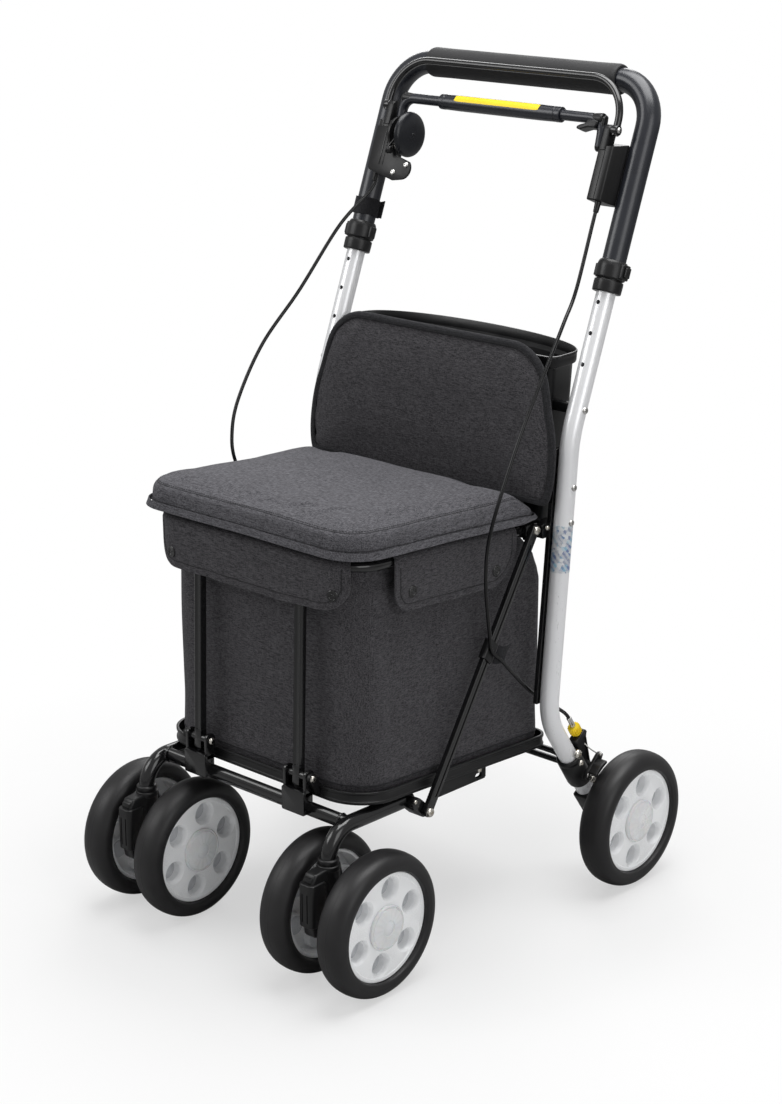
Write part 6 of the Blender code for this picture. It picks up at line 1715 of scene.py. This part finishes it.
BAR_ALONG = 0.4017
HANDLE_R, GRIP_R, GRIP_HALF = 0.0135, 0.0175, TUBE_X - 0.050 + 0.0008
HOUSING_LOW, HOUSING_HIGH, HOUSING_INNER = 0.259, 0.328, 0.1525
LOOP_AHEAD, LOOP_X, LOOP_PIVOT, LOOP_TOP = 0.028, 0.168, 0.339, 0.396
PARK_AHEAD, PARK_ALONG, PARK_X, PARK_PIVOT, PARK_PIVOT_AHEAD = 0.026, 0.350, 0.1475, 0.320, 0.022
BELL_ALONG, BELL_AHEAD, BELL_X = 0.3066, 0.0273, -0.1430
LEG3 = Vector((0, *LEG))


def leg_block(name, outline, near, far, mat, edge=0.0, segments=2):
    """An outline in (x, ahead of the leg), pushed up the leg."""
    return block(name, outline, near, far, mat, place=up_leg, edge=edge, segments=segments)


def handle():
    """Bent handle tube and its foam grip."""
    bottom = COLLAR_LOW + 0.0142
    corners = [on_leg(-TUBE_X, bottom), on_leg(-TUBE_X, BAR_ALONG), on_leg(TUBE_X, BAR_ALONG),
               on_leg(TUBE_X, bottom)]
    path = filleted(corners, [0.050] * 2, 24)
    pipe = tube("handle_pipe", even(path, 0.006), HANDLE_R, "satin", sides=48, flat=LEG3.cross(RIGHT), bore=0.0117)
    put(pipe, "handle", "handle_tube")
    ends = rounded([(0, HANDLE_R + 0.0005), (0, GRIP_R - 0.0012), (0.0036, GRIP_R), (0.008, GRIP_R)], 0.0012)
    profile = ends + [(x, GRIP_R - 0.0003)
                      for x in (0.03, 2 * GRIP_HALF - 0.03)] + [(2 * GRIP_HALF - x, r) for x, r in reversed(ends)]
    grip = lathe("foam_grip", profile, on_leg(-GRIP_HALF, BAR_ALONG), (1, 0, 0), "grip", sides=64, sharp=50)
    put(grip, "handle", "grip_sleeve")


def collar(side, word):
    """Two-part clamp collar at the foot of the handle leg, with the height button's box."""
    x, slide, seat = side * TUBE_X, TUBE_R + GAP, HANDLE_R + GAP
    lower = rounded([(0, slide), (0, seat + 0.0016), (0.0008, seat + 0.0026), (0.0100, seat + 0.0028),
                     (0.0135, seat + 0.0026), (0.0143, seat + 0.0006), (0.0143, slide)], 0.0006)
    upper = rounded([(0.0152, seat), (0.0152, seat + 0.0024), (0.0166, seat + 0.0034), (0.0300, seat + 0.0034),
                     (0.0336, seat + 0.0026), (0.0360, seat + 0.0012), (0.0360, seat)], 0.0008)
    neck = [(0.0120, slide), (0.0120, seat + 0.0002), (0.0160, seat + 0.0002), (0.0160, slide)]
    axis = (0, *LEG)
    parts = [lathe("collar_part", p, on_leg(x, COLLAR_LOW), axis, "plastic", sides=64, sharp=28)
             for p in (lower, upper, neck)]
    low, high = COLLAR_LOW + 0.0165, COLLAR_LOW + 0.0335
    inner, outer = TUBE_X + seat + 0.0008, TUBE_X + seat + 0.0062
    frame_box = block("button_box", rectangle((-0.0066, low), (0.0066, high), 0.0016, 4),
                      *mirrored(side, inner, outer), "plastic",
                      place=beside_leg, edge=0.0009)
    pocket = block("button_well", rectangle((-0.0040, low + 0.0025), (0.0040, high - 0.0025), 0.0008, 3),
                   *mirrored(side, TUBE_X + seat + 0.0020, outer + 0.01), "plastic", place=beside_leg)
    boolean(frame_box, [pocket])
    tab = block("collar_tab", rectangle((-0.0050, COLLAR_LOW + 0.0170), (0.0050, COLLAR_LOW + 0.0310), 0.0014, 4),
                *mirrored(side, TUBE_X - seat - 0.0062, TUBE_X - seat - 0.0010), "plastic", place=beside_leg,
                edge=0.0009)
    put(merge(f"clamp_{word}", parts + [frame_box, tab]), "handle", f"collar_{word}")
    button = block(f"push_button_{word}", rectangle((-0.0037, low + 0.0028), (0.0037, high - 0.0028), 0.0008, 3),
                   *mirrored(side, TUBE_X + seat + 0.0050, TUBE_X + seat + 0.0095), "plastic", place=beside_leg,
                   edge=0.0008)
    put(button, f"height_button_{word}", f"height_button_{word}")


def strap_on_leg():
    """Hook-and-loop strap round the left leg with its loose end standing out."""
    low, seat = COLLAR_LOW + 0.044, HANDLE_R + 0.0004
    turns = [(math.radians(-40 + 372 * k / 60), seat + 0.0004 + 0.0013 * max(0.0, (k - 50) / 10))
             for k in range(61)]
    grid = []
    for t, radius in turns:
        row = []
        for w in (0, 0.25, 0.5, 0.75, 1):
            along = low + 0.0200 * w + 0.0005 * math.sin(3 * t)
            row.append(on_leg(-TUBE_X + radius * math.cos(t), along, radius * math.sin(t)))
        grid.append(row)
    last, radius = turns[-1]
    way = Vector((-math.sin(last), math.cos(last)))
    start = Vector((radius * math.cos(last), radius * math.sin(last)))
    for k in range(1, 7):
        s = 0.0075 * k / 6
        flare = 0.0012 * (k / 6) ** 2
        place = start + way * s * 0.55 + start.normalized() * s * 0.65
        grid.append([on_leg(-TUBE_X + place.x, low + 0.0200 * w + (flare if w > 0.5 else -flare * 0.4), place.y)
                     for w in (0, 0.25, 0.5, 0.75, 1)])
    band = sheet_mesh("leg_strap", grid, "web")
    thicken(band, 0.0015, 1)
    put(band, "handle", "tube_strap")


def housing(side, word):
    """Lever housing: rounded box beside the leg with a cover line, its loop lug and screws."""
    seat = HANDLE_R + 0.0006
    bite = [(TUBE_X + seat * math.cos(math.radians(a)), seat * math.sin(math.radians(a)))
            for a in range(132, 181, 8)]
    outline = [(HOUSING_INNER, 0.0), (HOUSING_INNER, 0.0290), (HOUSING_INNER + 0.0012, 0.0318),
               (HOUSING_INNER + 0.0040, 0.0330), (TUBE_X - 0.0185, 0.0330), (TUBE_X - 0.0158, 0.0318),
               (TUBE_X - 0.0140, 0.0262), (TUBE_X - 0.0115, 0.0150), *bite]
    body = leg_block("lever_box", [(side * u, v) for u, v in outline], HOUSING_LOW, HOUSING_HIGH, "plastic", 0.0016,
                     3)
    cutters = []
    line = [(HOUSING_INNER + 0.0110, 0.0323), (HOUSING_INNER + 0.0118, 0.0323), (HOUSING_INNER + 0.0118, 0.0350),
            (HOUSING_INNER + 0.0110, 0.0350)]
    cutters.append(leg_block("cover_line", [(side * u, v) for u, v in line], HOUSING_LOW + 0.002,
                             HOUSING_HIGH - 0.008, "plastic"))
    chamfer = [(0.0030, HOUSING_HIGH + 0.002), (0.0400, HOUSING_HIGH - 0.0105), (0.0400, HOUSING_HIGH + 0.006),
               (0.0030, HOUSING_HIGH + 0.010)]
    cutters.append(block("top_slope", chamfer, *mirrored(side, 0.140, 0.200), "plastic", place=beside_leg))
    boolean(body, cutters)
    lug_in, lug_out = 0.1555, LOOP_X - 0.0043
    lug = rectangle((0.0190, HOUSING_HIGH - 0.014), (0.0335, HOUSING_HIGH + 0.0170), (0.002, 0.002, 0.0070, 0.0070),
                    8)
    lug = block("loop_lug", lug, *mirrored(side, lug_in, lug_out), "plastic", place=beside_leg, edge=0.0010)
    cheek = block("park_cheek", stadium((PARK_PIVOT_AHEAD, PARK_PIVOT), (0.012, PARK_PIVOT - 0.010), 0.0062, 10),
                  *mirrored(side, HOUSING_INNER + 0.0030, HOUSING_INNER - 0.0008), "plastic", place=beside_leg,
                  edge=0.0006)
    put(merge(f"lever_box_{word}", [body, lug, cheek]), "handle", f"housing_{word}")
    for name, near, far, along, ahead in (("loop", lug_out - 0.004, LOOP_X + 0.0058, LOOP_PIVOT, LOOP_AHEAD),
                                          ("park", HOUSING_INNER + 0.003, PARK_X - 0.0045, PARK_PIVOT,
                                           PARK_PIVOT_AHEAD)):
        length = abs(far - near)
        start = on_leg(side * near, along, ahead)
        way = 1 if far > near else -1
        pin = cylinder(f"{name}_pin_{word}", 0, length, 0.0016, start, (side * way, 0, 0), "zinc", sides=20)
        put(pin, "handle")
    screw(f"loop_screw_{word}", on_leg(side * (LOOP_X + 0.0042), LOOP_PIVOT, LOOP_AHEAD), (side, 0, 0), 0.0036,
          "handle", "zinc", 0.0022)
    screw(f"park_screw_{word}", on_leg(side * (PARK_X - 0.0040), PARK_PIVOT, PARK_PIVOT_AHEAD), (-side, 0, 0),
          0.0034, "handle", "zinc", 0.0018)
    for n, along in enumerate((HOUSING_LOW + 0.0100, HOUSING_HIGH - 0.0200)):
        screw(f"box_screw_{word}_{n}", on_leg(side * (HOUSING_INNER + 0.0002), along, 0.012), (-side, 0, 0), 0.0026,
              "handle", "zinc", 0.0014)
    sleeve = lathe(f"cable_exit_{word}",
                   rounded([(-0.012, 0), (-0.012, 0.0030), (-0.004, 0.0034), (0.001, 0.0040), (0.001, 0)], 0.0006),
                   on_leg(side * 0.165, HOUSING_LOW, 0.024), (0, *LEG), "plastic", sides=28)
    put(sleeve, "handle")


def brake_loop():
    """Bent round brake bar with an eye at each pivot."""
    foot = LOOP_PIVOT - 0.006
    corners = [on_leg(-LOOP_X, foot, LOOP_AHEAD), on_leg(-LOOP_X, LOOP_TOP, LOOP_AHEAD),
               on_leg(LOOP_X, LOOP_TOP, LOOP_AHEAD), on_leg(LOOP_X, foot, LOOP_AHEAD)]
    path = filleted(corners, [0.048] * 2, 24)
    bar = tube("brake_bail", even(path, 0.004), 0.0042, "gloss", flat=LEG3.cross(RIGHT), sides=32)
    eyes = []
    for side in (1, -1):
        spot = on_leg(side * (LOOP_X - 0.0041), LOOP_PIVOT, LOOP_AHEAD)
        eyes.append(soft_ring("bail_eye", 0, 0.0082, 0.0019, 0.0060, 0.0010, spot, (side, 0, 0), "gloss", sides=36))
    put(merge("brake_loop_bar", [bar, *eyes]), "brake_loop", "brake_loop")


def parking_bar():
    """Parking bar with sculpted arms, wide moulded sleeve, plain yellow strip and finger tab."""
    x = PARK_X
    corners = [on_leg(-x, PARK_PIVOT, PARK_PIVOT_AHEAD), on_leg(-x, PARK_ALONG, PARK_AHEAD),
               on_leg(x, PARK_ALONG, PARK_AHEAD), on_leg(x, PARK_PIVOT, PARK_PIVOT_AHEAD)]
    path = even(filleted(corners, [0.016] * 2, 14), 0.003)
    across = (corners[1] - corners[0]).cross(Vector((1, 0, 0))).normalized()
    parts = [tube("park_rod", path, 0.0060, "satin", flat=across, sides=32)]
    for side in (1, -1):
        arm = [(PARK_PIVOT - 0.0055, 0.0175), (PARK_PIVOT + 0.0030, 0.0165), (PARK_PIVOT + 0.0140, 0.0175),
               (PARK_ALONG - 0.0060, 0.0205), (PARK_ALONG + 0.0040, 0.0220), (PARK_ALONG + 0.0052, 0.0262),
               (PARK_ALONG + 0.0010, 0.0305), (PARK_ALONG - 0.0080, 0.0300), (PARK_PIVOT + 0.0110, 0.0275),
               (PARK_PIVOT + 0.0010, 0.0280), (PARK_PIVOT - 0.0055, 0.0262)]
        near, far = mirrored(side, x - 0.0036, x + 0.0030)
        parts.append(block("park_arm", [(v, u) for u, v in arm], near, far, "plastic", place=beside_leg,
                           edge=0.0018, segments=3))
        spot = on_leg(side * (x - 0.0160), PARK_ALONG, PARK_AHEAD)
        parts.append(lathe("park_ferrule",
                           rounded([(0, 0.0040), (0, 0.0056), (0.0110, 0.0066), (0.0140, 0.0068), (0.0160, 0.0060),
                                    (0.0160, 0.0040)], 0.0010),
                           spot, (side, 0, 0), "plastic", sides=36))
        eye = on_leg(side * (x - 0.0036), PARK_PIVOT, PARK_PIVOT_AHEAD)
        parts.append(soft_ring("park_eye", 0, 0.0060, 0.0019, 0.0058, 0.0008, eye, (side, 0, 0), "plastic",
                               sides=32))
    paddle = [(0.1315, PARK_ALONG - 0.0030), (0.1290, PARK_ALONG - 0.0075), (0.1220, PARK_ALONG - 0.0098),
              (0.1180, PARK_ALONG - 0.0120), (0.1180, PARK_ALONG - 0.0148), (0.1230, PARK_ALONG - 0.0156),
              (0.1330, PARK_ALONG - 0.0120), (0.1430, PARK_ALONG - 0.0120), (0.1455, PARK_ALONG - 0.0040)]
    parts.append(block("finger_tab", paddle, PARK_AHEAD - 0.0060, PARK_AHEAD + 0.0085, "plastic", place=before_leg,
                       edge=0.0014, segments=3))
    put(merge("park_lever", parts), "parking_bar", "parking_bar")
    half = 0.0890
    end = [(0, 0.0050), (0, 0.0080), (0.0008, 0.0088), (0.0062, 0.0089), (0.0070, 0.0080), (0.0082, 0.0079),
           (0.0090, 0.0087)]
    profile = end + [(0.03, 0.0090), (2 * half - 0.03, 0.0090)] + [(2 * half - a, r) for a, r in reversed(end)]
    sleeve = lathe("park_sleeve", profile, on_leg(-half, PARK_ALONG, PARK_AHEAD), (1, 0, 0), "satin", sides=64,
                   sharp=28)
    put(sleeve, "parking_bar", "parking_sleeve")
    grid = []
    for i in range(41):
        u = -0.0640 + 0.1240 * i / 40
        row = []
        for k in range(9):
            turn = math.radians(56 * k / 8)
            trim = 0.5 * (1 - math.cos(math.pi * min(1.0, min(i, 40 - i) / 1.5)))
            turn = math.radians(28) + (turn - math.radians(28)) * (0.82 + 0.18 * trim)
            radius = 0.00905  # just outside the sleeve
            row.append(on_leg(u, PARK_ALONG + radius * math.sin(turn), PARK_AHEAD + radius * math.cos(turn)))
        grid.append(row)
    strip = sheet_mesh("signal_strip", grid, "strip")
    thicken(strip, 0.0003, 1)
    put(strip, "parking_bar")


def bell():
    """Bell: bracket plate on the left housing, spun dome, post and thumb lever."""
    face = 0.0330 + 0.0004
    outline = [(-0.1700, 0.3120), (-0.1700, 0.2620), (-0.1690, 0.2600), (-0.1620, 0.2570), (-0.1280, 0.2490),
               *arc((-0.1165, 0.2640), 0.0130, -90, 45, 12)[1:], (-0.1290, 0.2790), (-0.1295, 0.2850),
               (-0.1310, 0.3000), (-0.1400, 0.3120)]
    plate = block("bell_plate", outline, face, face + 0.0030, "bin", place=before_leg, edge=0.0009)
    fins = []
    for u in (-0.1530, -0.1480):
        fins.append(leg_block("bright_edge",
                              rectangle((u - 0.0004, face + 0.0024), (u + 0.0004, face + 0.0036), 0.0002, 2),
                              0.2660, 0.3080, "gloss", 0.0002))
    center = on_leg(BELL_X, BELL_ALONG, BELL_AHEAD)
    base = lathe("bell_base", rounded([(0, 0), (0, 0.0195), (0.0014, 0.0205), (0.0042, 0.0205), (0.0042, 0)],
                                      0.0006), center, (1, 0, 0), "plastic", sides=56)
    post = cylinder("bell_post", 0, 0.0232, 0.003, center, (1, 0, 0), "plastic", sides=20)
    put(merge("bell_mount", [plate, *fins, base, post]), "handle", "bell_bracket")
    start = center + Vector((0.0168, 0, 0))
    turns = [math.radians(90 * k / 12) for k in range(13)]
    outer = [(0.0000, 0.0262), (0.0002, 0.0268), (0.0010, 0.0267)]
    outer += [(0.0010 + 0.0062 * math.sin(t) ** 0.9, 0.0265 * math.cos(t) ** 0.62) for t in turns[1:12]]
    inner = [(0.0004 + 0.0054 * math.sin(t) ** 0.9, 0.0250 * math.cos(t) ** 0.62) for t in turns[11:0:-1]]
    profile = outer + [(0.0072, 0.0), (0.0060, 0.0)] + inner + [(0.0, 0.0252)]
    dome = lathe("bell_cup", profile, start, (1, 0, 0), "bell", sides=80, sharp=50)
    put(dome, "handle", "bell_dome")
    screw("bell_screw", center + Vector((0.0236, 0, 0)), (1, 0, 0), 0.0026, "handle", "bell", 0.0012)
    for n, (u, along) in enumerate(((-0.1335, 0.2900), (-0.1285, 0.2585), (-0.1110, 0.2690))):
        screw(f"plate_bolt_{n}", on_leg(u, along, face + 0.0030), (0, *AHEAD), 0.0036, "handle", "zinc", 0.0022,
              "hex")
    lever_x = BELL_X + 0.0045
    tip = (BELL_ALONG - 0.024, BELL_AHEAD + 0.017)
    lever = block("lever_plate", stadium((BELL_AHEAD, BELL_ALONG), (tip[1], tip[0]), 0.0050, 12, 0.0042), lever_x,
                  lever_x + 0.0024, "plastic",
                  place=beside_leg, edge=0.0006)
    hole = cylinder("lever_hole", -0.01, 0.02, 0.0033, center, (1, 0, 0), "plastic", sides=28)
    boolean(lever, [hole])
    thumb = lathe("lever_pad", rounded([(0, 0), (0, 0.0040), (0.0052, 0.0046), (0.0064, 0.0036), (0.0064, 0)],
                                       0.0008),
                  on_leg(lever_x, tip[0] + 0.0006, tip[1] - 0.0005), (1, 0, 0), "plastic", sides=32)
    put(merge("thumb_lever", [lever, thumb]), "bell_lever", "bell_lever")


# Brake cables

def cable_points(side):
    """Knots of a cable's middle line, from its housing to its adjuster."""
    start = on_leg(side * 0.165, HOUSING_LOW - GAP, 0.024)
    near = on_leg(side * 0.1655, HOUSING_LOW - 0.022, 0.025)
    if side > 0:
        bow = [(0.172, 0.344, 0.720), (0.178, 0.315, 0.688), (0.186, 0.269, 0.636), (0.190, 0.229, 0.583),
               (0.188, 0.198, 0.519), (0.184, 0.187, 0.481)]
    else:
        bow = [(-0.179, 0.338, 0.750), (-0.196, 0.286, 0.678), (-0.205, 0.231, 0.620), (-0.205, 0.189, 0.560),
               (-0.200, 0.173, 0.520), (-0.193, 0.172, 0.489)]
    bow += [(side * 0.181, 0.184, 0.451), (side * 0.178, 0.187, 0.416), (side * 0.1762, 0.193, 0.382),
            (side * 0.1752, 0.1985, 0.355), (side * 0.1746, 0.2030, 0.336), (side * 0.1748, 0.221, 0.319),
            (side * 0.1735, 0.244, 0.296), (side * 0.1690, 0.2735, 0.270), (side * 0.1655, 0.300, 0.2500),
            (side * 0.1700, 0.317, 0.2370)]
    middle = [Vector((x, y + FRONT_Y, z)) for x, y, z in bow]
    return [start, near, *middle, foot_point(side * (TUBE_X - 0.002), 0.0240, CABLE_OUT),
            foot_point(side * TUBE_X, 0.0464, CABLE_OUT)]


def brake_cable(side, word):
    """Bowden cable from the lever housing to the adjuster, with an upper bow."""
    points = cable_points(side)
    outer = tube(f"cable_{word}", smooth_curve(points, 0.004), 0.0021, "cable", sides=24)
    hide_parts(f"brake_cable_{word}")
    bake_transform(outer)
    cap = lathe(f"cable_cap_{word}", rounded([(0, 0), (0, 0.0031), (0.0150, 0.0030), (0.0160, 0.0025), (0.0160, 0)],
                                             0.0004),
                foot_point(side * TUBE_X, 0.0466, CABLE_OUT), tuple(-Vector((0, *FOOT))), "zinc", sides=28)
    put(cap, "rear_frame")


# Camera, light and floor

# The photo's camera: focal length and picture height in pixels, its place in metres, and its angles in degrees
# (round, up, roll).
FOCAL, PHOTO_HEIGHT, SENSOR = 2281.45, 1104, 36.0
CAMERA_PLACE, CAMERA_ANGLES = (1.67043, -1.83517, 1.23133), (41.844, 18.235, -0.012)


def camera():
    """The camera that was fitted to the photo."""
    data = bpy.data.cameras.new("camera")
    data.sensor_fit, data.sensor_width = "AUTO", SENSOR
    data.lens = FOCAL * SENSOR / PHOTO_HEIGHT
    data.dof.use_dof = False
    data.clip_start, data.clip_end = 0.05, 50
    eye = linked("camera", data)
    a, e, r = (math.radians(angle) for angle in CAMERA_ANGLES)
    back = Vector((math.sin(a) * math.cos(e), -math.cos(a) * math.cos(e), math.sin(e)))
    right = Vector((math.cos(a), math.sin(a), 0))
    up = back.cross(right)
    across, above = right * math.cos(r) + up * math.sin(r), up * math.cos(r) - right * math.sin(r)
    turn = Matrix((across, above, back)).transposed().to_4x4()
    eye.matrix_world = Matrix.Translation(CAMERA_PLACE) @ turn
    bpy.context.scene.camera = eye


def area_light(name, place, target, size, power):
    data = bpy.data.lights.new(name, "AREA")
    data.shape, data.size, data.size_y = "RECTANGLE", size[0], size[1]
    data.energy = power
    lamp = linked(name, data)
    lamp.location = place
    lamp.rotation_euler = (Vector(target) - Vector(place)).to_track_quat("-Z", "Y").to_euler()
    lamp.visible_camera = False


def floor():
    """Pale floor that fades to pure white away from the object."""
    mesh = bpy.data.meshes.new("floor")
    mesh.from_pydata([(-12, -12, 0), (12, -12, 0), (12, 12, 0), (-12, 12, 0)], [], [(0, 1, 2, 3)])
    ground = linked("floor", mesh)
    mat, tree, shader, coord = nodes_of("floor")
    far = add(tree, "ShaderNodeVectorMath", {"operation": "LENGTH"}, i0=coord).outputs["Value"]
    fade = between(tree, far, 0.36, 0.76, 0.55, 1.0)
    faint = between(tree, grain(tree, coord, 2.5, detail=3), 0.3, 0.7, -0.01, 0.01)
    tone = maths(tree, "ADD", 0.72, faint)
    shader.inputs["Roughness"].default_value = 0.65
    shader.inputs["Specular IOR Level"].default_value = 0.15
    path = tree.nodes.new("ShaderNodeLightPath")
    tone = maths(tree, "MULTIPLY", tone, between(tree, path.outputs["Is Glossy Ray"], 0.0, 1.0, 1.0, 0.45))
    gray = add(tree, "ShaderNodeCombineColor", i0=tone, i1=tone, i2=tone).outputs[0]
    tree.links.new(gray, shader.inputs["Base Color"])
    glow = add(tree, "ShaderNodeEmission", Color=(1, 1, 1, 1), Strength=1.0)
    rays = path.outputs["Is Camera Ray"]
    mix = tree.nodes.new("ShaderNodeMixShader")
    tree.links.new(maths(tree, "MULTIPLY", rays, fade), mix.inputs[0])
    tree.links.new(shader.outputs[0], mix.inputs[1])
    tree.links.new(glow.outputs[0], mix.inputs[2])
    tree.links.new(mix.outputs[0], tree.nodes["Material Output"].inputs["Surface"])
    mesh.materials.append(mat)


def world():
    """White to the camera, and a dimmer even light for the object."""
    scene = bpy.context.scene
    scene.world = scene.world or bpy.data.worlds.new("world")
    scene.world.use_nodes = True
    tree = scene.world.node_tree
    tree.nodes.clear()
    soft = add(tree, "ShaderNodeBackground", Color=(1, 1, 1, 1), Strength=0.27)
    white = add(tree, "ShaderNodeBackground", Color=(1, 1, 1, 1), Strength=1.0)
    path = tree.nodes.new("ShaderNodeLightPath")
    seen = maths(tree, "MAXIMUM", path.outputs["Is Camera Ray"], path.outputs["Is Transmission Ray"])
    glossy = maths(tree, "MULTIPLY", path.outputs["Is Glossy Ray"], 0.22)
    mix = tree.nodes.new("ShaderNodeMixShader")
    tree.links.new(maths(tree, "MAXIMUM", seen, glossy), mix.inputs[0])
    tree.links.new(soft.outputs[0], mix.inputs[1])
    tree.links.new(white.outputs[0], mix.inputs[2])
    out = tree.nodes.new("ShaderNodeOutputWorld")
    tree.links.new(mix.outputs[0], out.inputs["Surface"])
    scene.view_settings.view_transform = "Standard"


def lights():
    """A large soft key from the upper left, a fill from the right, a top panel and a rim light from behind."""
    area_light("key", (-1.6, -1.9, 2.1), (0, 0, 0.45), (1.6, 1.4), 24)
    area_light("fill", (2.4, -0.6, 1.5), (0, 0, 0.5), (1.3, 1.8), 14)
    area_light("top", (0.2, 0.3, 2.7), (0, 0, 0.4), (2.0, 2.0), 72)
    area_light("rim", (-1.4, 1.8, 1.7), (0, 0, 0.6), (1.2, 1.2), 15)


def main():
    """Builds every piece, then the stage."""
    camera()
    for side, word in SIDES:
        brake_cable(side, word)
    wheels()
    leg_frame()
    struts()
    bag_ring()
    front_bars()
    bag()
    flaps()
    tray()
    cable_strap()
    rear_stay()
    seat()
    backrest()
    rear_bin()
    handle()
    strap_on_leg()
    brake_loop()
    parking_bar()
    bell()
    for side, word in SIDES:
        caster(side, word)
        rear_tube(side, word)
        upright(side, word)
        axle_fitting(side, word)
        cable_adjuster(side, word)
        brake_arm(side, word)
        collar(side, word)
        housing(side, word)
    floor()
    world()
    lights()


main()

bpy.context.view_layer.update()
